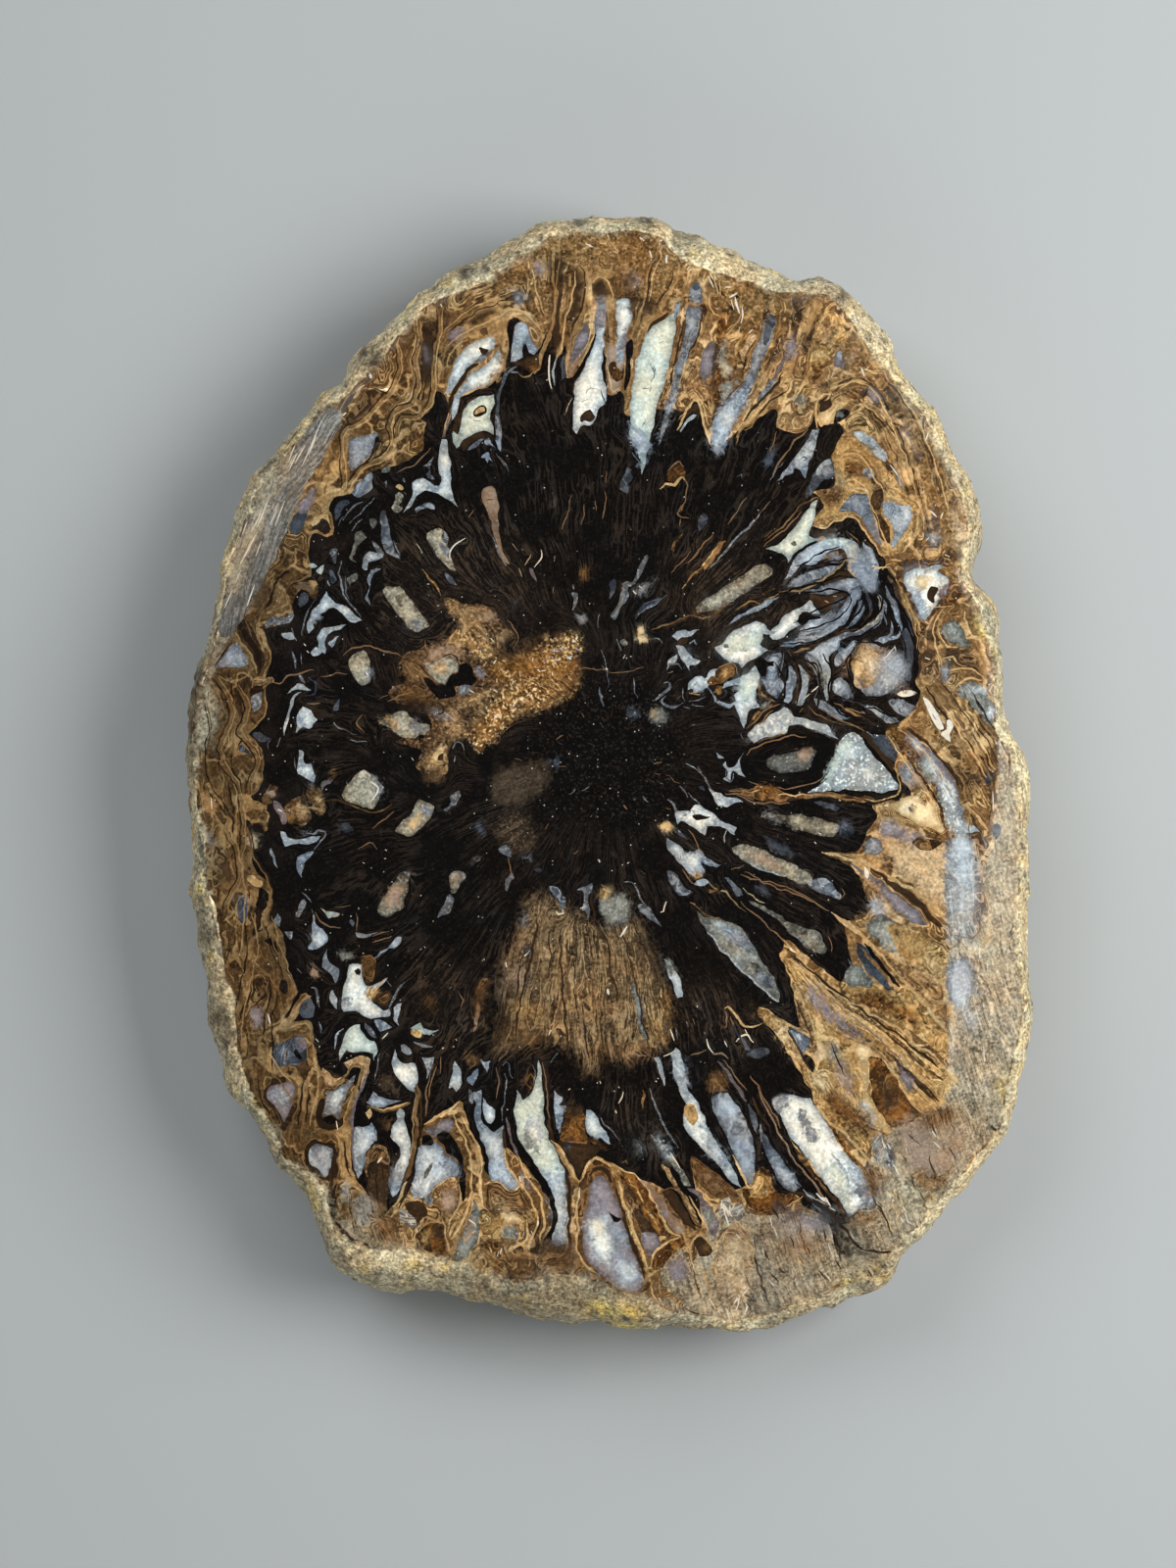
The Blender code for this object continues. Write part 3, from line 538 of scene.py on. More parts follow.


# ---- later touches: the left bevel, its matte grey haze with a painted sheen of the lamp, and its scratches
# ---- the right bevel: a painted sheen of the lamp with its white streak, then scratches
# a pale bluish band down the right bevel: painted sheen of the lamp
# painted reflection: a pale haze and white streak of the lamp on the right bevel
# the hz and w patches that follow are a painted sheen of the lamp on the right bevel
DRAWING = """
# ---- unpolished facets
p gr 1010,935 1020,930 1040,925 1044,960 1046,990 1052,1015 1052,1040 1046,1070 1038,1100 1031,1140 1024,1165 1008,1184 985,1213 958,1240 930,1270 905,1290 870,1305 820,1325 770,1342 720,1348 700,1340 705,1300 735,1235 770,1240 800,1240 850,1240 895,1250 893,1225 890,1175 905,1160 925,1147 945,1138 962,1126 967,1112 966,1085 967,1060 970,1030 968,1005 966,985 970,960 972,938 990,930
p gb 560,1310 600,1308 640,1320 690,1328 700,1345 650,1352 580,1350 520,1335 500,1318 520,1305
b gb 14 780,1250 820,1245 850,1262 850,1300 800,1315 775,1290
b gb 16 985,1010 1030,1010 1038,1060 1010,1110 980,1100 970,1060
f k 960,1080 985,1110 1010,1145
f k 935,1140 965,1170 995,1200
f k 890,1180 915,1220 940,1260
f k 760,1240 775,1290 790,1330
f k 690,1280 700,1310 705,1340
f k 1020,950 1022,980 1026,1020
# ---- the black inside
p k 430,426 437,422 441,412 444,401 451,401 455,404 460,404 470,390 480,380 500,374 513,372 517,365 519,352 518,335 521,326 527,325 545,352 549,356 553,349 556,342 560,338 565,345 566,356 568,366 576,352 578,360 579,375 584,384 590,375 598,362 604,350 608,338 613,340 616,350 618,370 619,390 621,402 627,403 633,399 638,405 636,418 640,424 673,418 680,417 687,417 693,421 699,418 704,412 709,410 713,415 716,426 720,440 725,452 729,458 745,448 750,443 757,438 765,433 775,425 785,419 792,418 793,428 793,435 800,436 806,440 815,441 821,438 826,432 830,425 834,431 838,436 845,432 856,433 860,441 856,450 850,460 850,480 851,495 840,500 830,503 836,508 839,514 835,525 832,532 829,536 837,538 843,537 850,532 860,531 868,526 873,528 878,536 884,545 890,555 896,563 902,570 906,580 912,588 916,600 922,612 928,622 933,632 937,645 938,660 936,680 935,695 938,704 936,718 930,728 920,735 913,742 905,748 913,760 916,768 912,784 918,800 918,814 905,818 890,822 895,832 890,842 886,849 881,860 875,867 865,869 850,870 840,869 852,876 865,881 871,887 877,895 881,904 883,912 887,920 887,928 883,935 874,939 863,939 864,952 866,968 870,982 874,992 872,999 865,1003 857,1001 850,997 842,991 834,984 826,977 818,970 812,965 803,960 798,966 796,976 800,984 804,994 808,1005 811,1016 812,1028 815,1040 817,1048 806,1046 799,1041 792,1036 784,1031 776,1029 773,1034 780,1043 788,1052 796,1061 803,1071 809,1082 816,1095 823,1107 830,1118 838,1135 850,1160 866,1180 884,1198 892,1215 893,1232 880,1236 868,1242 872,1262 890,1278 872,1281 855,1280 846,1250 836,1238 820,1230 812,1220 790,1216 770,1206 757,1212 748,1214 735,1204 720,1200 708,1196 712,1222 716,1240 714,1252 700,1244 690,1230 680,1215 668,1208 655,1203 640,1196 630,1188 620,1186 609,1180 600,1188 590,1206 583,1196 577,1210 578,1245 577,1275 583,1298 566,1305 552,1298 553,1270 562,1250 560,1225 548,1205 534,1188 524,1180 516,1172 512,1190 502,1200 496,1196 492,1180 484,1160 476,1145 470,1125 462,1130 448,1140 434,1147 430,1160 428,1185 422,1208 410,1225 400,1230 392,1240 380,1238 374,1215 364,1205 359,1180 358,1150 362,1126 366,1112 360,1104 350,1100 340,1096 330,1094 327,1089 322,1068 320,1055 318,1044 299,1041 306,1028 314,1012 301,1014 301,1007 292,994 290,967 285,953 276,939 277,925 278,912 275,904 269,897 262,890 257,880 258,868 262,865 256,850 260,840 264,840 268,848 273,845 272,832 273,822 266,820 257,818 255,813 260,808 266,800 268,790 269,775 265,764 259,755 254,749 256,745 264,738 270,728 271,715 272,700 280,697 280,693 272,692 274,685 277,672 277,665 272,650 270,640 276,641 285,638 296,634 297,628 296,616 291,603 292,597 299,594 311,591 318,588 317,578 316,571 316,555 319,546 326,545 334,548 340,546 338,532 336,520 338,512 343,507 350,506 358,503 362,496 370,487 378,481 385,478 398,477 408,473 420,468 428,462 432,455 432,440 436,432
b kb 30 400,560 520,540 560,620 500,700 400,690
b kb 30 700,560 800,560 840,660 780,700 700,660
b kb 24 420,1000 470,980 500,1040 460,1075 420,1040
b kb 24 700,1000 750,1010 760,1080 720,1080
b kb 24 620,1130 660,1130 680,1180 640,1180
# ---- the brown fan under the pith
f k 528,925 515,990 500,1060
f k 560,930 555,1000 552,1070
f k 600,935 600,1000 602,1080
f k 630,930 645,1000 660,1070
f k 650,930 668,1000 685,1060
b fn 12 536,919 550,912 580,925 600,940 625,945 645,935 656,940 664,960 672,978 680,998 686,1018 688,1036 685,1055 678,1068 668,1076 655,1078 645,1086 630,1084 615,1080 606,1100 598,1096 590,1080 575,1074 562,1068 548,1060 530,1072 515,1076 500,1072 505,1058 512,1044 514,1030 511,1014 509,1000 513,985 518,970 526,950 533,932
b bw 12 512,1040 540,1050 560,1060 540,1072 505,1070
b bw 10 590,1030 620,1040 640,1070 610,1080 595,1060
b tg 10 520,985 545,990 550,1010 530,1015 518,1005
b gd 12 560,1005 590,1010 585,1040 560,1040
b cr 6 598,985 620,980 622,1000 604,1004
b gd 8 655,1030 678,1030 676,1060 658,1060
s n 2 605,907 604,923 611,943 620,963 623,990 628,1010 632,1030
s n 1.8 643,918 645,937 653,957 661,977 672,1000
s n 1.6 560,950 562,980 558,1000
s n 1.6 538,960 530,990 527,1020 520,1040
s n 1.6 595,1020 597,1050 600,1080
s tg 1.8 590,1010 593,1040 597,1070 600,1090
s T 1.6 575,985 570,1000 562,1020
s n 1.6 617,1030 614,1050 615,1070
s gd 1.6 605,990 600,1000 598,1010
s tg 1.8 619,1050 622,1070 626,1085
p gg 646,1003 650,1008 654,1020 656,1036 658,1050 661,1062 655,1059 651,1046 649,1030 646,1015
s wg 1.4 645,990 650,1010 652,1030 656,1055
b am 4 672,1012 684,1010 685,1030 674,1028
s cr 3 675,1010 674,1018
s h 4.4 620,1009 621,1015
p tg 618,1022 622,1024 626,1031 625,1036 621,1032
s h 3 516,982 517,987
s h 2.4 535,976 541,970
s h 3 564,964 565,969
s h 3 560,1056 562,1051
s T 3 514,1023 519,1028
b wb 4 538,967 544,968 542,976 537,975
s hb 2 632,1020 630,1030
s vi 2 676,1041 680,1050 678,1053
s vi 2 672,1064 674,1073
s og 2 650,1063 655,1070 660,1076 667,1080
s tg 2 640,1077 645,1075 652,1077 660,1078
b kb 10 503,1075 512,1030 522,1000 534,1010 536,1040 530,1072
b kb 8 560,930 572,945 575,975 566,990 558,960
b kb 8 655,945 668,965 676,995 668,1005 656,975
b bw 10 600,1010 625,1020 630,1050 605,1050
b gd 6 520,1020 545,1015 565,1030 550,1045 525,1040
b gd 5 575,985 600,1000 606,1020 590,1022 572,1005
s n 2 548,935 545,965 535,1000 530,1030 525,1060
s n 2.2 572,945 572,980 574,1010 578,1050 580,1080
s n 1.6 585,930 588,960 586,1000 590,1040
s n 1.8 632,940 640,970 648,1000 655,1040 662,1070
s n 1.4 520,1000 516,1025 512,1055
s bw 1.4 600,940 604,970 606,1010 610,1060
s T 1.2 540,1005 535,1025 531,1050
s T 1.2 583,990 586,1015 584,1040
s T 1.2 612,960 618,985 620,1005
s T 1.2 655,1015 660,1035 664,1055
s T 1 525,1030 520,1050 516,1068
s T 1 566,1000 562,1030 560,1060
f r 400,345 415,380 412,410 385,430 350,450
f r 425,330 422,370 424,400 410,415
f r 447,330 445,380 440,410
s cr 2.4 427,319 424,328 427,338 425,348 421,360 420,372 422,384 422,396 420,404 412,411 404,417 400,426
s t 2.4 420,352 417,366 420,382 421,396 416,405 406,411 398,418
s T 2 407,344 406,356 402,366
s t 2 405,366 404,380 398,394 388,402 380,408
s t 1.8 410,370 404,384 397,396 390,402
s T 1.6 400,384 396,394
s tg 2.4 427,340 426,356 424,368 426,380 427,392 424,404 418,413 411,418
p n 433,330 438,328 441,338 440,350 441,366 436,374 431,372 431,356 430,342
b bd 3 434,352 440,352 440,366 432,366
p n 429,372 436,372 436,386 434,400 430,410 426,408 429,394
s t 2.4 446,332 446,350 443,370 442,388 440,404 437,416 432,421 424,423
s T 1.8 450,334 449,352 446,372 444,390 442,408 438,418 430,422 420,422
s n 1.8 452,320 450,340 452,350
s t 2 456,350 452,370 450,388
s T 3 417,416 424,420 432,421 438,418
b rd 8 440,320 452,316 458,330 446,340 434,330
b vi 4 464,336 472,334 470,348 460,350
s t 2 478,326 466,330 458,338 454,350
s T 1.6 478,346 468,352 460,362 456,374
s h 4.4 450,310 451,313
b cr 4 434,318 446,318 446,322 436,322
s h 5 377,380 379,386
b cd 5 372,358 384,362 384,370 374,370
s cr 3 372,392 366,396 362,403 356,408
s n 4 362,400 356,410 350,418
s h 3.4 350,424 353,421
b cd 5 327,418 333,416 333,426 328,426
b cd 4 308,434 313,434 313,440 308,440
b tg 5 410,330 418,328 416,340 410,342
s cc 4 400,392 390,398 376,396
p rd 372,400 384,396 396,402 388,412 374,424 362,436 350,444 346,438 356,424 364,410
# ---- upper left: rind laminae
f r 330,440 318,470 305,500 292,530 285,555
f r 345,435 337,465 330,490 318,510 306,540
s rl 2 372,428 360,438 350,446 346,458 347,472 350,486 346,496 336,503 326,508
s t 2.2 366,443 357,448 353,456 352,468 355,480 355,489 350,499 343,504 333,508 329,517
s T 2.6 401,428 401,446 397,459 386,468 375,474 366,483 360,492 357,499
s t 1.6 394,430 395,446 390,457 383,466 372,472
s rl 2 410,430 409,445 406,456 399,464 390,470
s t 1.6 420,432 416,446 413,460 404,468 390,474 380,478
s t 2 335,510 335,520 338,532 339,545 334,547 326,543 319,545 315,553 315,568 317,578 316,586 310,591 298,594 292,600 292,607 296,616
s rl 1.6 330,515 322,512 312,505 304,510 298,520
s rl 1.5 344,490 333,493 322,492 314,496 305,506
p kb 320,536 327,530 333,530 337,540 336,545 331,545 325,541 319,543
p r 300,596 311,593 322,592 326,600 323,608 318,611 314,604 306,603 301,610 299,620 296,625 293,612 292,602
p tg 302,598 310,595 316,597 318,604 311,602 304,603
p wg 357,450 364,446 375,443 384,441 385,448 382,457 375,466 366,475 360,480 356,476 357,464
p kb 384,446 390,449 386,460 377,468 371,473 366,476 376,466 382,457
p bd 295,539 300,526 307,520 313,521 311,533 304,545 298,545
b vi 3 303,520 311,508 318,500 323,495 320,508 312,522
p cr 318,533 322,527 327,527 325,533 320,536
s T 1.6 313,474 310,484 306,495 299,510 296,520
s T 1.2 318,480 312,492 305,508 297,525
s rl 1.6 349,446 343,460 342,475 344,489
s T 2.4 342,484 344,488 343,491
# ---- upper left: agate in the black
p bl 361,505 359,502 363,496 370,488 378,482 380,485 379,493 380,500 372,504 365,507
p bd 341,524 342,516 347,511 355,510 357,513 350,519 345,529 342,532
s wg 1.6 351,531 355,523 362,515 371,511
s wg 1.2 357,534 366,524 374,518 381,508
s wg 1.2 358,542 364,535 370,530
s wg 1.2 352,526 348,530 345,538
p gg 388,480 390,477 397,476 396,483 391,481
s wg 2.4 392,493 395,492 394,498
s bl 3 411,489 413,492
p cr 405,496 409,494 412,498 409,500
s hb 1.4 412,501 415,504
p gg 402,512 404,505 408,502 412,506 410,512 406,515 411,520 406,523 402,523 400,517
s k 2 404,517 407,519
p bl 433,475 437,473 442,467 441,472 438,478 440,484 444,488 440,489 434,484 437,480
p w 451,448! 455,449 457,458 459,470 460,488 463,507 467,516! 458,510 449,505 442,503 433,501 425,505 419,515 412,524! 417,512 421,501 421,494 425,489 430,488 437,490 443,495 448,495 450,490 448,480 447,468 449,458
p bl 424,524 424,518 430,515 433,513 438,513 443,516 442,520 436,519 430,520
p w 436,514 441,516 443,519 437,519 434,517
s hb 1.2 438,458 431,467 418,475 405,482
p bl 388,523 391,522 395,531 399,546 402,556 405,563 409,571 400,567 393,560 390,549 388,536
s wg 1.2 402,552 406,560 409,568
p gg 377,531 381,530 384,535 382,539 378,535
p gg 363,543 368,542 373,549 370,553 366,556 362,565 361,571 364,574 359,573 357,567 360,560 363,553
p wg 380,552 386,556 392,566 389,568 384,562
p wb 370,580 370,573 372,567 377,563 384,563 391,568 383,571 377,573 374,582 371,583
p gg 354,590 358,586 363,585 364,591 360,594 358,600 355,595
p wb 377,600 375,590 379,583 384,580 390,579 383,585 380,592 377,603 376,618 373,610
p bd 337,582 341,583 342,594 339,595 337,589
p bl 339,560 345,562 342,569 342,575 338,570
p gw 315,577 320,575 324,578 319,580
p gw 323,582 330,577 328,585
s wg 1.6 348,572 346,585 348,597 353,610 360,620 369,630
s bd 1.4 352,588 352,600 357,612
b kb 4 395,572 400,590 420,575 440,590 435,610 415,600 400,598
s gd 1.6 431,581 437,590 446,598 449,607
s h 2 436,596 438,596
s h 1.5 446,618 448,618
s gr 2 425,555 430,565
p sl 437,550 438,543 442,540 448,539 454,542 458,549 457,556 460,565 463,574 465,582 459,581 452,575 446,567 441,558
p bl 453,541 457,547 456,554 452,550
p wg 448,552 452,553 456,560 460,570 456,568 450,560
p bl 454,584 460,587 463,592 467,597 460,595 456,590
s h 1.4 475,549 463,557 459,564 459,571
p tg 492,502 495,497 502,496 506,503 508,515 508,527 510,545 513,560 518,576 513,572 507,555 502,540 498,525 494,515
s wg 1.6 503,548 508,560 515,577
s kb 1.2 496,510 503,511
s h 1.4 552,561 553,568 545,579
p vi 540,580 544,581 548,592 544,588
b bd 3 478,600 485,600 489,608 484,606
b bd 4 497,588 503,590 508,600 500,598
b wg 2 524,614 527,618 525,625
s gr 1.5 536,578 538,572 540,566
b gr 2 564,508 567,512 566,518
s gr 1.4 532,560 534,563
s gr 1.4 567,568 566,573
s gr 1.4 524,555 528,563
s gr 1.4 530,580 532,587
# grain of the dark middle
f k 470,520 485,545 500,575 520,605 540,640
f k 500,450 512,500 525,550 545,600 560,640
f k 548,440 552,500 560,560 575,620
f k 580,440 582,500 586,560 596,620
f k 640,440 632,500 622,560 612,620
f k 440,450 446,500 460,540 480,580 500,610
f k 405,540 425,575 450,605 480,625
f k 360,600 372,640 400,680
s hb 1.4 484,520 478,528
s hb 1.2 617,500 618,510 616,530
s hb 1.2 607,510 608,522
s hb 1.2 583,505 580,520 573,540
s hb 1.0 619,480 617,492
s hb 1.2 596,515 594,535
# ---- top: pods and laminae between x 430 and 800
f r 440,300 436,330 440,360 442,390
s rl 2 452,300 450,322 449,350 446,380 446,398
s rl 1.8 462,322 452,345 449,370
s t 2 432,424 438,418 441,408 442,396 441,382 437,368 438,352
s rl 2 424,330 432,345 436,360 434,380 431,400 428,415
s t 1.6 440,372 446,352 455,335 466,326 480,321 492,315 500,308
s t 1.6 443,398 446,375 452,352 462,340 474,330 488,326 500,318 508,312
b vi 4 460,338 468,335 473,338 466,345 460,352 457,348
b n 3 436,340 445,345 447,365 441,372 436,360
b n 4 476,330 488,330 500,322 505,315 498,316 486,322
b n 3 430,372 440,370 446,380 440,388
p rl 454,402 456,385 465,368 478,352 492,345 505,341 516,338 517,352 516,366 511,380 500,392 488,398 474,404 466,412 460,425 456,440 452,447 455,430 458,415 456,405
s t 1.8 454,402 455,386 464,369 476,354 490,346 503,341
p w 455,403! 457,386 466,367 478,352 490,347 503,343! 505,347 503,355 499,362 492,366 485,367 478,376 471,386 462,397
p wg 486,370 488,363 497,360 502,360 497,364 490,369
p n 488,357 492,354 497,355 500,358 498,361 491,361
p n 460,404 462,396 472,383 483,370 488,371 480,379 473,390 466,400 462,412 459,424 457,420
s rl 2 462,412 466,401 474,389 484,377 494,371 502,366
s rl 3 510,330 508,342 507,352 503,362 496,368
s t 1.6 516,323 513,340 512,358
p w 461,429! 461,414 468,399 480,384 494,374 505,364 510,357! 512,362 513,376 507,386 497,393 487,397 474,402 467,414 464,426
b pk 5 488,396 498,388 507,376 512,364 514,372 509,386 499,393
s vi 1.4 459,445! 457,430 460,418
s vi 1.6 454,447 457,438 461,428
s T 2 516,370 512,382 504,390 494,396
p k 461,432 464,424 468,412 476,404 488,399 500,394 507,388 503,399 492,401 482,406 475,417 469,430 464,446 460,452 457,442
b n 2 462,432 465,424 470,412 478,405 484,404 476,416 470,430 465,444
p gw 463,440 468,443 470,432 476,416 481,409 489,405 497,404 504,402! 503,413 500,424 503,436 503,443! 499,440 493,438 486,440 478,446 472,452 466,458! 463,452
p kb 486,416 490,413 495,414 496,419 490,424 483,424
p T 488,416 493,415 494,418 490,421 485,422
s wg 1 478,424 483,428 490,428
p n 472,452 479,446 486,441 494,440 501,443 500,449 494,446 486,447 478,454 472,460
p wg 478,459 482,453 490,448 495,446 490,451 485,456
p bl 495,448 499,446 501,451 506,460! 501,454 496,452
p wb 493,464! 496,462 500,463 501,468 503,472! 498,469 496,472! 494,468 491,467
s wg 1.4 506,462 512,470 518,480
s hb 1.2 508,466 514,476
p bl 524,375 528,374 520,382 514,392 511,405 510,420 511,440 512,455 511,460 507,452 505,440 506,422 507,408 510,395 516,382
# D pod under its cap
s t 2 516,326 524,322 531,323 540,331 547,334
s rl 4 516,330 522,324 530,320 542,324 551,334 553,345 546,353
s T 1.6 520,318 530,315 540,320 548,328
s t 2 508,312 520,308 535,310
p rl 541,334 546,331 552,332 554,342 549,349 545,354 542,350 541,342
p wb 523,340 524,333 528,329 535,330 540,335 541,345 545,352 549,357! 545,362! 541,359 539,354 535,350 533,357 533,364 529,366 526,369 521,370! 522,360 524,352
p w 524,350 528,346 532,350 530,360 525,366 523,364
s bl 1.4 533,350 537,352
p n 520,369 533,367 545,364 549,360 551,364 549,372 543,376 535,376 527,372
b am 3 538,374 546,368 550,364 548,374 542,379
s T 2 529,381 533,384 541,383 546,379
s bl 1.6 522,380 529,380
# laminae to the right of D
s t 2.2 562,300 562,316 561,330 558,344 554,354 551,364 549,374 544,380
s rl 3 567,300 567,318 564,336
s rd 3 574,300 572,330 568,352
p rd 548,300 556,300 557,316 553,326 548,318
b n 3 570,300 578,300 575,325 572,345 567,360 563,345 566,325
s t 2.2 580,300 578,318 576,336 572,350 568,362
s rl 3 577,300 574,320 572,340
s w 1.8 569,362 566,372 565,384 566,394
p bd 572,370 575,362 577,380 574,390
s h 1.6 561,362 560,378 561,390 563,397
s h 2.4 561,362 560,372
s cr 2 558,388 560,387
s gr 1 583,406 579,418 576,425
s rl 1.6 586,300 584,325 580,345 578,360
s t 2 597,300 595,318 588,338 582,350 578,362 577,374
p rl 584,350 590,338 597,325 602,318 603,335 601,350 596,362 588,374 582,385 578,386 577,374 579,360
p vi 583,358 588,346 594,334 599,328 601,338 599,350 593,361 586,370 580,377! 581,366
p tg 579,378 582,372 590,366 598,355 600,352 596,363 588,374 582,385 578,385
p k 585,388 590,379 598,366 604,352 608,338 609,326 613,326 614,360 600,395 588,400
p w 609,306! 614,305 617,312 618,335 616,355 614,372 616,386 620,402 618,411 613,414 610,419 607,430 602,435 596,434 591,436 588,443! 584,436 585,420 585,405 588,390 593,380 600,366 606,350 609,335 608,320
b vi 4 609,306 616,305 618,325 615,335 609,335 608,318
p n 591,425 596,421 601,419 606,422 607,428 603,431 596,429 592,431
s rd 1.8 612,399 616,407 618,414
b bw 2 586,396 589,388 592,384 590,394
s wg 1.2 598,402 603,396 608,398
s wg 1.0 592,410 600,408
s t 1.6 620,300 622,316 621,340 619,360 620,380 622,396
s rl 2.4 626,310 625,335 623,355 624,378
s rl 2 604,300 606,318 605,335
p rd 618,318 622,330 621,350 617,365 617,340
p tg 620,352 625,350 632,356 639,354 637,372 633,392 629,402 623,400 620,385
p am 622,374 626,368 634,378 637,372 634,388 628,390 624,384
s T 1.6 621,375 623,392 627,400 632,396
p w 630,308! 635,306 641,305! 645,314 645,322 642,334 639,342 637,352 636,364 632,372 628,366 628,352 630,338 629,320
b vi 3 634,340 641,330 640,350 635,360 630,356
s cr 2 628,343 628,346
s t 1.4 645,345 641,360 638,376 634,394
b rd 5 633,282 645,278 655,285 660,300 655,320 648,332 644,320 645,305 636,298
b vi 4 646,282 652,280 654,292 648,296
b n 4 640,300 650,300 652,312 646,316
# between x 640 and 700
s t 2 672,262 668,278 660,292 656,306 653,322 648,336 644,348
s rl 2 665,270 657,290 651,310 647,330
p k 640,350 645,346 646,362 643,378 641,392 637,398 638,376
s rl 4 682,300 676,312 668,322 659,333 653,346 648,360 645,380 642,400 638,418
s t 1.6 683,300 676,314 667,325 660,334 655,344 649,360
s t 1.4 646,366 643,385 640,405 637,421
p n 683,320 680,324 672,330 664,336 660,342 662,334 670,326
b n 4 652,305 664,298 672,302 668,315 660,322 654,318
p gw 693,310 694,318! 690,322 689,335 687,350 683,368 679,385 674,402 670,418 667,432 664,446 661,460 658,476 655,484! 653,470 649,454 644,446 642,440 643,425 645,405 646,388 650,370 655,354 660,340 670,331 680,325 688,318
b wb 6 644,428 652,436 660,446 662,456 658,470 654,476 652,458 645,446
s bl 1.4 663,372 667,378 667,385 664,392
s bd 1.4 668,374 669,382
s wg 1.2 655,396 662,396
s w 2 672,350 677,348
s wg 1.2 665,392 663,400
s bl 1.2 659,428 655,434
p bl 689,309 693,309 694,320 691,320 688,325
s t 2 697,300 693,318 691,340 687,360 682,380 679,396 676,410
s rl 3.4 696,306 694,330 690,352 686,372 681,392 676,412
s rl 4 683,378 679,398 675,416
s n 2 697,330 692,356 686,380 681,402
p og 672,416 676,404 682,388 684,396 680,412 677,417
# I pod and its cap
s t 2 696,312 699,296 701,285 706,279 714,277 722,281
s rl 4 700,310 701,298 705,286 712,282 718,290 720,304 722,316
s T 2 700,282 706,275 716,273 726,277 732,284
p wg 703,307! 703,298 707,292 711,287 715,292 717,300 718,307! 711,310
p bd 707,293 711,287 714,292 711,297
p bw 702,310 710,312 718,309 722,318 718,324 714,316 706,313 701,315
p wg 700,322! 700,316 705,313 712,315 715,318 714,328 711,342 706,352 702,364 697,376 694,388 692,400 689,412 683,420 681,432 678,442 674,450 672,455! 674,444 676,432 679,420 683,405 686,390 690,372 695,356 699,340
b wb 4 683,410 690,398 690,410 684,420 680,434 675,446 677,434
b bl 5 703,313 713,315 713,330 708,345 704,350 702,330
s n 1.6 716,318 715,332 710,346 704,358 700,372
s t 2 722,318 718,332 712,346 706,358 701,370 698,384 695,398
s rl 4 727,322 720,340 712,354 705,368 700,384
s t 1.6 728,330 722,342 715,354 709,366
s T 1.6 724,300 725,312 730,320 736,322
p rl 712,360 716,350 724,335 730,330 730,350 727,380 724,400 722,412 716,408 709,404 702,404 694,412 692,404 696,390 702,376
b og 5 700,380 710,370 718,385 720,400 708,402 698,404 694,400
p vi 716,362 720,354 727,348 730,352 728,372 724,384 718,388 714,376
b n 3 729,350 733,350 732,372 729,392 726,405 724,396 727,375
s T 2.2 690,440 695,432 699,424 703,414 708,408 712,411 716,420 718,432 722,440 725,452
s T 1.6 702,404 708,400 714,406 718,416 722,428 724,434
s T 1.6 693,428 699,420 704,412
p w 693,440! 697,434 703,427 708,423 711,424 708,428 702,431 698,436 694,442!
p n 700,421 706,414 712,414 714,424 711,430 712,424 706,420 700,428
# amber field between the arch and J
p am 736,320 742,300 752,290 764,288 772,298 778,310 776,326 770,342 763,356 752,372 748,384 744,398 736,410 730,412 728,400 730,380 732,355 731,335
b gd 6 742,335 750,330 758,336 757,350 750,360 742,355
b rl 8 733,290 745,282 760,286 772,296 768,306 755,302 740,305
b rd 5 745,318 757,312 760,325 752,340 744,335
p pk 756,362 762,345 768,340 772,343 768,352 762,362 757,370
s T 2.4 766,340 769,344
s h 2.6 753,313 755,322
s h 1.8 747,305 750,314
s h 1.4 749,321 752,324
s h 1.4 757,328 754,337
s h 1.6 731,280 736,290 738,296
s T 1.6 725,272 736,277 748,285
s T 1.4 733,277 742,290 747,302
b gg 5 735,352 741,348 742,366 746,378 742,386 736,380 733,366
b cr 3 736,372 742,368 744,380 738,384
b gg 4 735,392 745,390 752,386 748,402 738,412 734,402
p rd 730,410 738,412 745,402 752,394 758,388 752,400 742,416 734,428 729,440 727,430
# J pod
p wg 785,320! 790,324 791,330! 790,338 785,350 780,364 775,378 770,390 764,402 758,410 754,420 749,432 744,442 738,454 732,464! 728,458 727,444 728,430 732,420 742,410 750,401 757,391 763,380 768,366 772,352 777,338 782,326
b wb 8 752,402 762,396 762,408 755,418 750,432 744,442 737,455 732,462 728,455 728,438 734,420 743,412
p w 752,406 756,402 758,408 753,416 748,420 749,412
p bd 784,321 790,325 790,332 785,344 780,352 778,344 781,332
p am 766,352 771,345 774,340 770,354 765,366 760,380 756,386 760,370
s rl 2.4 790,306 782,320 776,335 770,350 765,366 758,382
s rl 5 800,345 792,362 785,378 776,394 768,410 760,424 750,438 744,450
s t 1.8 806,338 797,356 788,374 779,392 768,408 758,424 748,440
s t 1.6 799,336 790,354 783,370
b rd 3 795,345 802,340 798,355 788,372 782,384 784,368
p vi 790,384 796,370 800,360 802,364 797,378 790,390 782,398 783,392
p wg 778,400 784,392 792,386 788,394 780,404 772,412
s t 1.6 812,362 803,382 793,396 782,408 770,420 760,432 752,446
s n 2.4 800,380 790,394 779,406 768,418 758,432
s t 2 809,386 799,398 787,408 777,418 767,428 757,440 750,452
s n 2 804,396 794,404 783,412 772,424
s t 2 796,404 786,412 776,422 768,431 760,440
s rl 2 800,408 792,416
# ---- upper right rind
s T 1.6 808,303 808,316 807,328 805,345
s T 2 801,308 803,314 801,318
s t 2 796,320 795,334 790,350
s rl 4 802,322 800,340 795,358
b rd 5 808,300 816,300 818,318 816,335 812,352 807,345 808,322
b vi 5 805,345 812,340 814,354 808,368 802,366
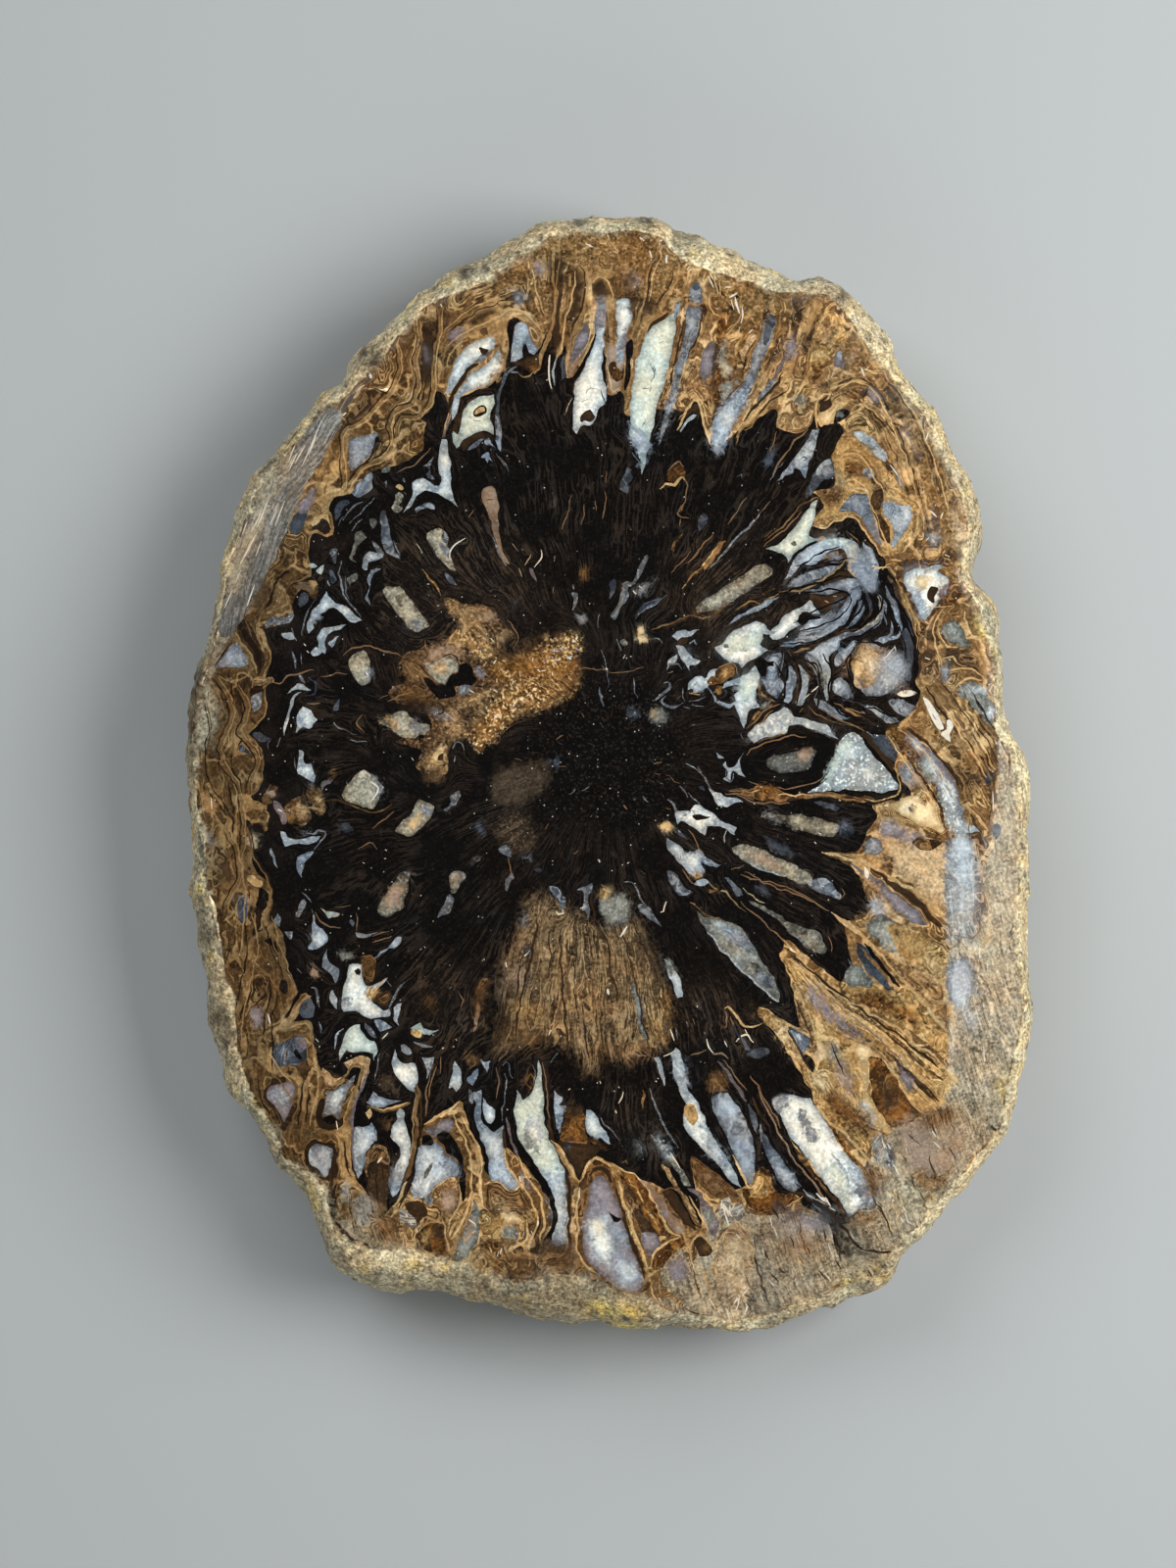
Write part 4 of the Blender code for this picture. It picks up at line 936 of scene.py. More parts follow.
s t 2 832,304 826,318 820,330 815,345 812,358 809,372 806,384
s rl 4 826,312 818,332 812,350
p rd 832,318 836,330 830,345 822,360 818,352 826,335
s t 1.8 840,300 834,316 828,332 822,348
b co 6 800,288 815,286 832,286 848,292 850,300 835,300 820,296 805,296
b vi 5 815,292 828,294 830,302 818,304
p gd 828,350 832,335 840,322 850,318 858,326 862,340 856,352 846,366 838,376 830,380 826,370 828,360
b og 6 838,330 850,325 855,338 848,350 840,356 834,346
p T 840,322 843,314 847,314 845,320 840,328 836,332
s T 2 846,318 852,310 857,312 860,322 862,330 868,334
b rd 5 858,350 868,346 878,350 880,360 872,366 862,362
p n 862,358 870,352 878,354 880,362 873,367 864,366
p pk 842,384 846,374 854,366 862,364 872,368 873,374 862,376 852,382 844,388
p vi 850,364 855,357 860,360 864,368 870,372 862,376 852,374
p w 853,362 857,358 859,363 855,368
s T 1.6 868,332 876,342 882,352 884,364
s rl 3 876,338 884,350 888,362
b cy 6 884,336 892,334 902,342 908,352 904,360 895,352 888,344
b rl 6 888,352 900,355 906,368 900,380 888,376 884,364
b gd 6 895,362 906,364 906,376 896,376
s T 2.4 848,386 858,384 866,378 878,376 890,380 900,382
s t 2.4 850,390 860,387 870,383 882,381 894,384
s T 2.4 856,396 866,390 876,389 886,390 894,394
s t 1.6 860,402 870,395 880,395 892,400
b vi 5 884,398 896,396 902,402 900,412 888,408
b rd 5 898,395 910,392 916,402 914,420 908,432 902,420 900,406
b cd 5 902,400 910,400 912,412 905,416
s T 1.6 918,406 921,414 921,425
b co 7 915,390 928,395 936,408 934,420 924,416 917,404
# blocks between the laminae, x 790-860
p rl 792,434 794,425 800,412 806,402 812,408 812,425 820,428 826,424 830,425 826,434 820,440 812,442 804,440
s t 1.6 800,400 797,412 795,424 792,436
s t 2 828,380 820,392 813,404 807,418 803,430 800,436
s rl 3 822,388 815,402 808,416
p gd 812,408 818,398 826,392 828,396 824,404 822,412 820,422 814,422
b gg 4 814,404 820,402 822,412 818,418 813,414
b am 5 836,372 844,370 840,384 834,396 829,390
p rl 826,404 830,392 838,380 846,372 850,380 842,392 836,402 834,412 828,424 826,434 823,430 824,415
s T 1.6 830,408 832,400 838,396
b rd 4 836,392 842,388 846,398 838,402
p n 840,406 846,404 848,410 843,418 838,420 836,412
s T 2 834,436 832,422 834,410 840,403 850,402
p cr 838,434 835,424 838,420 845,418 849,414 853,408 858,412 853,420 850,428 845,433
s T 1.6 838,435 845,428 850,420 856,414
p kb 850,428 854,420 862,416 868,420 866,426 858,430 852,434
b gg 3 852,424 858,418 864,420 860,426
p gd 848,406 856,400 866,400 872,404 868,410 858,410 852,414
b am 5 860,402 872,398 884,404 880,410 868,408
# arching bundle
s t 2 870,422 880,418 890,424 900,436 910,450 916,462
s T 1.6 872,414 884,414 894,422 904,434 914,446 922,460
s rl 4 868,408 884,408 898,420 910,436 920,452 928,470 934,488 938,504
s t 1.8 884,410 898,420 910,434 921,450 928,466 933,484 936,500
s t 1.6 898,428 908,442 917,458 924,474 928,490
s n 1.6 890,420 902,434 912,448 919,462 925,478
s n 1.4 904,430 914,444 922,458 929,476
b am 5 930,440 940,436 950,442 955,455 945,450
b cc 6 938,432 946,430 952,444 946,450 940,442
s T 1.6 940,436 944,448 950,454
b vi 5 918,430 926,436 928,448 920,446
b rd 5 925,455 935,455 940,470 932,472 926,466
# ---- right, y 440-640
s hb 1.8 824,438 812,450 804,460 797,470 788,484
s hb 1.2 792,440 786,460 782,474
b bd 4 783,462 789,455 790,470 784,482 781,478
s wg 1.4 800,472 792,480 786,490
p wb 829,438! 836,437! 834,452 830,461 827,470 824,479 822,488! 818,484 815,479 811,477 808,482 801,487 792,491! 797,484 803,477 811,469 818,459 824,449
s bl 2 817,470 821,466 824,468 820,472
s kb 2 808,482 812,479 813,486 818,492
p bd 823,508 826,494 830,482 836,474 843,469 849,467! 851,476 850,486 842,490 836,496 830,503
p w 832,480 836,474 842,470 848,468 849,472 842,476 838,482 833,486
b wg 2 838,478 848,474 848,484 840,488 834,490
p gd 851,462 856,450 862,446 870,445 880,452 892,462 900,472 906,484 914,492 924,502 932,512 938,522 938,545 930,555 922,560 915,566 904,566 898,556 890,542 884,532 874,526 866,526 858,531 848,531 842,536 834,537 830,533 834,524 840,514 838,508 846,502 852,494 851,478
b am 5 845,500 856,496 862,500 856,508 848,516 841,512
b rd 4 846,498 858,500 856,512 848,516
s t 1.6 864,448 880,458 892,470 900,482 908,492
s rl 3 858,460 872,462 886,472 896,486 904,498
s t 1.6 858,468 866,466 878,470 890,480 898,492 906,504
b bw 5 864,474 872,470 884,474 894,484 890,490 880,486 868,484
b am 3 862,472 870,472 878,480 870,486 862,482
s T 3 863,476 866,476
p wg 880,480 886,477 893,484 890,490 884,488
b gg 4 856,478 858,488 862,494 856,494 853,484
s T 1.4 862,492 872,488 880,494 884,504
b rd 5 892,490 902,494 900,506 894,506
p n 888,489 892,487 894,491 890,493
s T 1.8 864,504 872,498 882,500 888,510
p bl 857,521 862,512 868,506 876,503 884,505 888,513 890,526 894,540 901,557 896,555 889,545 882,532 876,524 868,521
b wg 3 862,516 870,510 878,508 884,516 878,520 866,520
b vi 5 888,530 894,536 900,552 897,554 890,544
p bw 893,500 900,498 902,512 900,522 904,532 908,545 908,556 902,552 896,538 891,524 889,510
s T 1.4 886,506 892,520 898,536 904,552 906,562
p wb 900,513! 908,511 918,515 928,515! 930,523 928,535 923,545 918,553 911,560 908,557! 912,546 910,536 905,528 901,520
b bl 5 904,514 912,513 918,518 914,526 908,524 902,518
p w 910,556 912,551 916,550 913,556
s w 1.6 902,520 905,517
b wb 5 914,526 922,524 924,534 918,542 915,534
s T 2 906,492 916,502 928,508 938,514 940,528
s t 2 898,486 908,498 920,506 932,511 938,520 938,540
s T 1.6 903,502 914,509 926,511 935,514 936,530 934,545 928,556 921,564
s rl 3 932,520 933,540 926,554 918,562
p w 873,441! 880,440 888,446 894,452 900,458 906,464 907,470! 902,469 894,463 886,456 878,449
b tg 3 884,452 892,456 902,466 898,468 888,460
p rd 905,470 912,475 918,486 924,496 926,500 918,496 910,486 904,478
p wg 912,476 917,482 922,492 924,500 919,497 914,488
s h 1.4 908,474 914,482 918,488
s t 2 902,446 912,462 919,478 924,492 934,503 940,508
s t 1.6 908,444 918,460 926,478 930,492 936,502
s t 1.6 916,442 926,462 932,480 936,498
b am 6 934,460 942,455 948,466 946,480 938,478 934,468
b vi 5 932,455 940,458 942,470 936,470
s t 2 942,508 946,520 946,540 942,556 936,564
s rl 3 936,515 940,530 940,548 936,560
s t 2 942,500 944,480 944,465 942,450
s t 2 958,470 962,484 966,500
b rd 6 948,512 958,514 964,524 966,545 968,556 958,556 950,550 945,540 947,525
b vi 4 950,520 956,522 958,538 952,544 948,534
b wg 3 945,545 955,540 962,550 956,556 946,554
s h 1.4 945,552 948,548
s h 1.4 951,550 954,554
b og 5 936,556 945,555 948,562 940,568 934,562
s T 1.8 936,562 940,568 932,572 916,572 908,570
s t 2 966,540 968,556 964,568
b am 6 955,470 964,468 968,480 962,490 955,482
s T 2 952,470 956,482 958,496
s rl 3 970,500 972,520 975,540 972,560
b cc 6 968,520 976,528 982,545 980,560 974,548 970,535
b am 4 966,560 978,562 985,574 978,580 970,572
s h 2.4 964,566 969,568
# dark bay under the gold
p kb 826,540 834,539 843,538 851,533 857,532 861,537 857,546 850,551 843,553 834,549 827,546
b n 3 828,542 840,540 850,538 852,546 840,550 830,547
p tg 833,552 838,547 842,550 838,555
p kb 862,534 868,530 873,529 879,538 884,547 891,557 897,567 902,574 898,582 893,578 889,566 883,557 877,547 870,541
s T 1.8 829,536 837,538 844,537 851,532 859,532 862,529 868,527 873,528 879,536 885,546 892,556 899,567
s t 1.4 864,541 870,548 876,553
p k 780,564 792,566 799,574 800,588 796,600 788,606 780,608
p gw 781,559! 792,557 800,551 808,541 816,531 823,521 829,512 834,510! 833,520 830,531 827,540 825,548 832,549 838,549! 830,553 819,558 810,566 804,574! 802,568 798,564 790,562
p gg 807,554 811,552 813,555 810,557
s kb 2.4 834,511 838,513 838,519 834,526
s t 1.4 780,551 793,543 806,530 816,517 824,511 833,508 838,511
s hb 1.4 780,557 795,546 808,533 818,522
s t 1.4 780,548 790,541
p wb 800,590! 806,578 814,567 824,559 838,553 850,550 862,550 872,553 876,559 876,572 872,580 866,576 864,566 856,561 848,563 838,571 829,577 816,579 807,586
b gw 5 838,553 852,550 866,552 874,560 872,572 866,568 860,558 846,560
b cr 4 866,556 874,562 878,574 872,580 866,572
p bw 838,572 846,565 855,561 862,563 864,570 858,573 848,575
b wg 4 844,572 852,566 858,568 854,573
p k 804,592 812,584 824,580 838,578 850,575 858,574 850,580 838,583 824,586 812,592 804,597
p bl 803,597! 812,589 823,584 836,580 850,578 858,577 850,583 838,589 825,594 812,599
b wb 4 806,595 818,588 830,586 826,592 812,598
p n 840,594 850,588 862,583 868,585 862,592 852,595 842,597
p pk 864,578 874,574 882,584 890,592 894,602 888,604 882,596 872,588
p wb 880,552! 886,557 892,566 896,577 896,590 894,598! 889,590 886,578 882,565
p n 878,558 882,566 886,580 889,590 884,586 880,576 876,566
s T 2 780,613 792,606 803,602 814,603 824,599 834,594 846,586 856,579 862,572
s T 1.8 870,579 882,580 896,580 908,578
s T 1.6 908,578 914,587 922,592
s T 1.4 900,582 906,576 910,574
p bl 822,603 832,600 845,596 858,592 868,588 875,590 877,600 873,611 867,622 861,633 853,642 845,650! 840,646 848,638 855,628 861,618 865,609 862,603 854,604 846,607 836,606 826,606
b wb 4 862,592 872,590 874,602 868,614 862,625 856,632 862,614 866,602
p n 826,607 836,608 846,608 855,605 862,605 863,611 858,619 850,622 842,624 834,618 828,613
s T 2 842,612 845,615
s cr 2.4 851,608 855,608
b bd 4 850,614 860,610 856,620 850,622
s bl 3 874,612 868,626 860,638 852,648
p bl 874,616 880,612 880,622 874,632 866,640 860,646 866,634
p w 790,640! 796,633 802,628 812,622 820,618 826,613 830,617 834,621 838,626! 830,625 824,623 818,624 815,629 812,634 816,636 808,642 800,650 792,654 786,650
p bl 815,643 822,635 832,629 842,627 853,621 852,631 844,641 833,650 822,655 815,655
b wb 5 816,642 826,634 838,630 836,640 826,648 818,650
p k 815,627 822,625 832,627 840,629 830,632 820,637 814,636
# bands streaming down on the right
f k 884,604 890,620 896,640 892,660
s bl 4 906,604 912,616 917,628 920,642
s bd 5 912,600 920,614 928,632 932,650
p bd 920,650 924,640 929,650 931,664 930,680 928,694 923,692 921,682 923,668
b bl 3 922,676 927,678 927,690 923,690
s wg 3 897,606 904,620 909,634 908,648 896,654
s wg 2 890,604 896,616 902,628 904,638 896,646 886,650
s bd 3 884,600 888,616 890,632 884,642
s bl 3 903,598 908,612 914,624
s rd 4 906,588 914,600 920,614 926,626
s gd 2 915,592 920,604 926,618 932,632 936,646
s t 1.6 922,602 929,616 934,630 938,645
s t 1.4 918,604 925,620 931,636 936,652 936,670
s rd 4 939,648 940,664 938,680 937,696
# ---- right, y 560-760
p bw 920,572 935,570 950,569 965,570 974,578 980,592 982,604 975,614 962,620 950,632 942,640 934,630 927,612 920,600 914,590 916,580
b rd 4 918,574 940,571 966,572 962,576 940,577 922,582
p w 921,595 924,585 932,581 945,580 958,577 962,580 960,585 966,588 968,596 966,605 961,611 956,616 952,622 948,629 943,634 939,632 937,622 932,612 926,603
b wb 4 924,584 936,581 948,580 958,578 948,584 936,587 926,592
b wb 5 930,604 938,600 942,612 948,620 944,630 939,630 936,618
b cr 4 936,588 948,586 954,592 946,598 938,602 932,596
b vi 3 960,586 966,590 967,602 961,608 956,612 957,602 960,594
p gd 957,584 962,580 970,578 978,586 976,594 970,592 966,586
p n 948,602 952,599 957,600 956,606 953,610 952,615 948,613 947,608
b am 4 960,610 970,604 974,610 966,618 958,618
s T 1.6 947,620 955,620 964,619 972,617
b og 5 974,578 980,580 980,592 976,596 973,588
s h 1.4 984,587 988,583 992,580
p rd 940,645 946,636 952,628 958,634 958,650 956,664 952,680 944,690 938,680 939,660
s rl 2 956,624 948,636 944,650 944,664
s T 1.6 962,622 955,632 952,646 956,662 960,674 960,690
s t 1.4 968,620 960,632 957,646 960,660
s h 2.4 944,634 948,637
s h 2.6 944,671 949,673
s h 1.6 964,684 966,688
p gg 960,642! 965,637 974,633 980,638 985,648 990,661! 982,661 972,656 964,652
b w 2 970,636 976,640 980,644 976,646 970,641
b am 4 960,648 966,652 974,658 968,660 962,656
s T 1.8 958,640 960,652 967,658 978,662 988,664
s w 2.6 981,656 984,655
b og 6 985,620 994,618 998,630 996,645 990,640 986,630
b cy 5 994,630 1004,632 1010,645 1004,650 996,642
s T 1.8 984,622 986,634 990,646 996,656
s t 1.8 992,650 1000,664 1006,680 1010,696
s rl 2 998,650 1006,668 1012,684
b rd 5 965,664 980,664 995,668 990,676 975,678 966,674
b rd 5 985,672 998,678 1002,690 994,690
s T 1.6 962,672 972,670 978,676 986,680
s T 1.6 962,690 970,684 980,682 994,684 1002,690
s h 2 968,672 970,674
b wg 3 960,680 966,676 968,690 962,696
p gg 975,708! 980,701 990,695 1001,698 1006,706 1012,716 1018,728 1019,738! 1011,740 1003,732 993,721 983,712
b w 3 990,700 996,700 995,710 990,708
b w 3 1000,700 1006,704 1004,712 999,708
b w 3 1006,716 1014,724 1016,734 1008,730
s kb 1.4 994,712 1000,718 1004,726
b og 4 968,700 976,696 980,704 974,710 968,708
s T 2 972,706 980,696 992,692 1002,694
# fan of laminae running down to the right
f r 940,700 960,730 985,765 1010,795
s t 1.8 972,704 984,716 996,728 1008,744 1016,758
s rl 3 966,704 980,720 994,738 1006,756
s n 1.6 960,696 974,714 988,732 1000,750
s t 1.6 956,698 970,716 984,734 996,752
s t 1.6 950,700 962,718 976,738 990,758
s n 2.4 944,700 958,722 972,742 984,760
s rl 2 946,712 958,730 966,744
s t 1.4 962,706 976,726 992,748
s hb 1.4 968,722 980,738 994,760
b og 6 975,745 984,752 990,762 982,764 974,756
p h 915,708 920,705 927,704 936,707 930,710 920,711
s hb 1.4 921,708 926,708
p h 942,711 946,713 953,722 960,735 963,744 959,745 952,736 947,725
s n 1.2 951,728 955,734
p h 966,735 969,734 973,741 969,749 970,757 964,753 960,750 961,747 966,744
p wg 872,680! 876,670 882,665 893,663 900,668 910,666 919,670 922,682 921,693 913,703 902,710 888,711 876,706 870,696
b gd 4 870,672 878,664 888,664 884,672 880,682 878,692 880,702 872,700 869,688
b T 3 880,662 894,661 900,668 892,672 884,676 880,686 876,690 874,680
b w 5 880,668 890,668 896,676 894,690 884,684
b w 4 900,690 912,692 908,702 898,702
s n 2 885,668 892,664 898,668 904,664 910,656
s h 1.3 913,659 914,664 905,674
b am 3 890,662 900,660 906,662 902,668 892,670
p bl 905,716! 915,713 928,717 936,719! 932,726 925,732 918,728 910,722
p bl 880,719 895,723 908,729 917,737! 906,739 894,731 880,727
b am 4 918,696 926,702 934,706 924,706 914,706
# ---- left, y 560-760
f r 262,560 250,590 238,620 226,650 212,690
f r 300,560 290,578 278,596 270,620 262,650 268,670
b gr 6 236,555 262,548 275,556 262,580 258,605 250,625 238,640 228,660 222,680 206,700 200,720 196,760 192,760 196,720 205,690 216,655 218,625 226,590
s gr 2.4 246,560 243,580 236,600 232,620
s h 1.6 250,562 249,578 243,600
s h 1.4 243,568 241,584 236,600
s h 1.4 262,560 256,580 252,600
s h 1.2 270,556 262,578 258,590
s vi 2 257,575 252,595 247,612
s cc 2 228,625 222,650 214,675 206,700
b vi 5 268,560 276,560 266,580 260,596 256,590 262,574
b rd 5 262,598 270,594 276,602 272,618 262,622 256,612
s t 1.8 302,560 297,572 287,584 279,595 277,610 271,621 266,629
s t 1.4 292,562 286,574 276,584 268,594 262,604 260,616
s rl 2 272,600 274,610 268,620 262,628
s T 1.4 268,626 265,634 266,644 271,655 276,668 275,677 271,686 269,692
s t 1.6 266,640 262,632 259,626
s rl 3 262,632 264,648 268,660 272,670 268,684
s t 1.4 262,644 265,654 268,664
p n 280,592 285,586 291,582 297,583 291,587 284,592 281,598 279,606 277,614 273,619 270,622 275,612 278,602
p rl 286,590 292,593 292,606 297,616 298,624 293,629 283,628 273,631 269,627 277,621 281,612 282,600
s T 1.8 292,606 296,616 297,625
s T 1.4 281,622 286,621 288,626
s T 2 292,580 300,578 306,582 312,582
s rl 3 298,566 302,574 308,578
s cr 2 296,578 299,578
s gg 3 309,567 312,573
p wg 272,633 280,629 291,630 298,625 298,633 288,637 277,639 273,641
b bl 2 282,632 290,631 295,633 286,636
s kb 1.5 264,566 258,580
p rd 246,628 254,636 261,648 267,662 269,676 266,688 261,690 262,680 256,668 248,654 242,640
p n 249,640 256,650 263,662 267,676 265,686 262,676 256,662 250,650
s T 2.2 236,640 243,649 250,660 257,671 261,680 261,688
s t 1.6 247,628 253,640 257,650
s rl 4 238,646 246,660 254,674 258,684
p wg 221,680 229,669 237,657 241,655 247,665 255,677 251,680 238,681
b vi 3 222,679 230,672 234,679
s kb 1.6 219,681 228,668 236,655
s t 2 226,684 240,683 254,681
s T 1.8 222,690 230,694 244,693 252,688 258,683
s t 2.4 220,690 227,700 234,712 237,726 238,742 234,752
s t 2 228,688 236,698 238,712 240,728 240,742
s n 1.6 216,694 224,704 230,716 232,730
b am 5 228,700 236,700 240,715 240,735 236,750 228,748 230,725
p rd 242,704 248,700 250,712 249,726 245,732 241,722 240,712
b n 3 244,696 252,694 256,700 250,704 246,704
p n 255,706 260,700 267,699 268,706 266,714 262,708 258,712
p wg 257,712 262,706 267,706 267,716 264,726 260,728 257,722
s rl 2 254,704 252,716 256,728 262,732 268,726 270,714
s t 1.4 250,704 248,718 252,732 258,738
p rl 255,690 263,694 271,692 279,691 280,696 271,698 262,700 257,697
s cr 2 262,694 272,693
s T 1.6 254,747 262,740 269,731 271,718 270,703
s T 2 252,748 257,756 263,766
b co 8 200,705 210,700 218,712 220,735 216,755 205,765 195,755
b am 6 222,740 232,745 232,765 222,768 216,755
s t 1.4 224,750 230,757 222,762
p w 288,647 293,644 300,646 302,651 297,653 291,652
s wg 1.8 299,641 301,648 303,653
s wg 2.6 298,665 300,674 302,682
s wg 1 306,665 307,678
p w 333,604! 335,609 340,614 350,618 356,622 361,627 370,633! 362,635 355,633 350,627 343,622 334,622 327,625 321,628 318,634 320,640 315,646! 313,640 316,632 319,624 326,616
b wb 3 318,628 326,624 324,632 318,638
s bl 2 326,630 330,630 326,634
p w 324,650 328,643 336,639 345,638 354,637! 348,642 340,644 334,648 331,655 332,662 331,668! 325,662 325,656
p w 317,667! 322,660 328,665 326,668 320,669
p wb 336,654 341,652 347,650! 343,656 339,661
s h 2.4 310,657 312,659
s h 2 313,664 315,666
s w 3 334,592 336,598
s wg 1.6 318,618 312,628 309,640 308,648
s bd 1.4 324,608 316,618
p bd 306,607 311,605 315,609 311,617 307,620
p kb 318,588 326,584 330,592 328,604 322,611 324,600 322,592
s hb 1.4 350,669 357,662 368,659 382,661 399,667
p sl 356,675 362,667 371,664 376,671 377,683 379,692 375,699 369,700 362,692 358,684
b wg 2 372,680 378,684 378,694 373,694
s h 2.4 373,685 376,690
s h 1.6 372,690 376,691
s hb 1.6 278,697 288,696 294,690 304,688 312,686 320,683
s hb 1.4 328,690 336,689 346,687 353,689
s hb 1.2 388,713 396,709
p w 293,708! 297,702 303,697! 310,698 317,703! 309,704 301,703
p wg 306,688 309,690 313,697! 307,694
s bd 2 316,692 322,699 321,707 311,709
p w 309,706 302,710 299,718 296,728 293,740 290,752! 290,742 293,728 296,716 301,708
p w 303,733 308,722 313,723 319,728 324,732 320,739 315,744 308,742 302,748! 303,741
b wb 3 306,730 311,726 311,736 305,742
s hb 2 313,718 320,719 326,718
p bw 318,721 325,726 333,724! 327,730 323,734 320,729
p bl 340,722 346,714 345,724 341,725
s h 2.4 297,739 297,742
s wg 1.6 286,752 284,762
p bd 258,748 265,747 272,752 276,752 272,757 266,757
s bl 1.6 356,755 364,758 373,757
s wg 1.2 340,738 350,744 364,750
s hb 1.2 372,748 364,738 370,730
p sl 391,602 395,599 401,600 407,597 411,603 421,616 431,629 438,639 431,642 426,646 418,642 410,632 402,621 395,612
b wg 3 414,636 424,632 434,636 428,642 420,642
b sd 2 404,606 412,610 410,618 404,612
p sl 386,736 397,732 404,727 412,724 420,731 428,738 438,741 436,748 426,751 418,756 412,753 404,748 395,742
b pk 4 388,735 400,732 408,740 404,744 396,741
b wg 3 418,732 430,740 434,746 424,748 418,742
# ---- the golden wood round the upper left of the pith
f k 452,612 466,626 478,642 492,660 500,672
f k 470,616 490,622 503,640 506,660
f k 545,680 560,695 578,712
f k 400,664 412,684 430,700
p bn 452,611 466,613 480,617 492,616 502,622 512,629 512,640 522,644 528,656 540,664 556,652 572,645 588,650 592,664 588,674 584,686 590,700 586,710 572,714 562,722 545,727 528,727 520,731 512,740 506,748 500,757 490,762 483,757 476,750 466,757 459,766 458,782 450,792 436,789 422,780 430,768 420,762 402,758 412,754 426,753 440,742 436,730 424,722 404,716 396,706 404,700 414,694 406,680 412,668 428,662 442,655 458,650 466,641 458,628
b og 5 454,613 466,615 478,619 492,618 503,625 508,630 500,634 488,630 476,628 480,640 490,650 500,660 500,668 490,668 478,662 466,655 472,645 464,632
b gd 5 466,644 476,644 486,650 498,650 504,660 500,670 492,672 484,664 474,656 464,660 458,656
b tg 4 484,622 500,626 510,629 508,634 496,632 486,628
b T 2 464,658 472,656 474,660 466,662
b T 3 488,660 498,658 500,666 492,668
s gd 1.6 456,616 466,628 474,640 484,652 490,664
s t 1.4 462,616 474,620 486,620
s t 1.4 470,618 474,630 482,644 494,652 500,662
s t 1.4 484,634 494,644 502,656
s n 1.4 478,630 488,638 498,650 503,662
s n 1.4 466,622 474,634 482,646
s n 1.2 492,636 500,640 506,652 506,668
s hb 1.4 518,632 524,640 528,650 526,658 520,661 528,666 536,667 541,671
s hb 1.4 510,640 516,648 520,658
b pk 3 508,642 516,646 518,656 510,655
b tg 5 440,664 456,658 470,664 478,670 470,674 462,670 452,672 442,676 434,672
b rd 5 412,670 430,668 434,676 440,690 430,700 418,694
s hb 2 412,676 420,688 428,694
s T 2 425,689 428,691
b bw 5 404,706 422,700 436,706 450,716 462,722 450,730 432,722 414,716
b k 4 412,712 430,712 440,722 426,724 412,720
s hb 1.4 396,716 410,708 424,706
s wg 3 400,700 404,704
b og 4 460,724 474,712 488,708 500,702 498,712 486,718 470,726
# -
s hb 1.6 462,722 468,732 478,738 490,736
s hb 1.4 462,716 476,708 488,712 496,716
s n 2 476,716 479,728 474,734
b og 4 452,736 462,732 474,740 480,748 470,756 460,752 454,744
# -
# -
s hb 1.4 484,741 479,748 478,754
b wg 4 440,722 452,726 460,732 458,738 448,732 440,728
b am 8 500,672 530,666 560,660 580,664 570,680 552,690 530,700 512,700 498,690
b bw 8 508,690 530,684 545,690 540,704 520,704
b gd 7 512,708 524,702 540,706 546,714 536,724 522,727 514,720
b T 4 520,708 534,706 540,714 530,722 522,718
b T 3 520,718 530,722 528,726 520,724
# -
b am 8 546,684 562,680 576,686 586,700 584,710 570,716 556,718 546,706
b og 4 552,712 566,710 574,716 564,722 552,720
b T 2 543,716 546,720
s T 1.4 564,688 574,700 584,710
s t 1.4 560,690 572,704 580,714
# -
s t 1.2 570,684 580,696 588,706
b gd 5 486,736 498,740 504,746 500,756 490,759 484,754 486,746
b T 2 488,748 494,752 490,756
# -
s h 2 484,716 482,726
b gd 3 481,712 486,720 488,734 482,732
s h 3.4 562,668 564,674
s h 4 567,674 570,677
s h 4 574,669 578,673
s T 3.6 551,682 554,685
s T 3 558,683 561,683
# -
# -
b T 2 556,650 560,648 558,654
b rd 4 508,662 520,664 530,672 520,678 508,674
b kk 3 530,684 542,686 538,694 530,694
p k 470,678 476,676 481,682 483,690 487,694 482,699 472,700 464,701 466,708 458,713 446,711 438,702 433,690 438,692 445,700 452,698 458,691 467,687
s n 2 452,671 460,668 466,672 469,680
p sl 432,677 437,678 447,674 455,671 463,672 469,681 465,686 458,691 454,699 448,698 442,692 437,685
b pk 4 442,680 452,678 456,686 448,690
p vi 484,684 489,680 495,683 496,689 492,694 487,692
s kb 1.6 488,684 492,685 492,689
p wg 468,703 473,699 481,700 479,706 472,710 468,707
s h 1.4 474,701 473,706
p og 426,780 434,772 444,763 452,756 457,762 457,775 456,789 448,791 438,786
b T 3 440,770 450,762 454,770 448,778 442,776
p n 446,771 450,768 453,772 450,776 446,775
s T 3 453,774 456,776
b rd 5 436,786 448,786 452,796 440,798 430,792
s hb 1.4 435,653 436,662 441,671
s T 2 441,669 441,672
s hb 1.2 384,661 400,666 410,672
s n 2.2 440,722 448,716 452,724 444,730
s wg 2.4 440,725 443,731
s T 2.2 436,754 441,752
s h 1.4 420,773 422,776
p k 465,760 470,758 474,764 470,770 464,768
s wg 1.8 462,765 466,759 472,760 475,766
s wg 2 465,772 464,778
b gs 7 484,757 500,758 512,744 530,729 560,720 582,706 590,690 578,674 592,652 584,645 568,654 548,664 530,688 512,702 498,720 486,738
b gs 4 462,640 474,648 490,656 500,668 490,672 474,660
b kb 5 512,644 524,650 532,664 522,672 510,664
b kb 5 474,726 486,720 494,728 488,738 476,738
b kb 4 420,712 434,712 444,724 430,730
s gs 1.4 540,700 556,706 572,716
s gs 1.4 548,690 562,700 578,712
s gs 1.4 552,680 568,694 584,708
s T 1.2 562,676 576,690 588,702
s T 1.2 530,704 546,712 556,720
s T 1.2 500,720 512,714 526,708
s h 1.6 500,730 503,733
s h 1.6 510,722 513,725
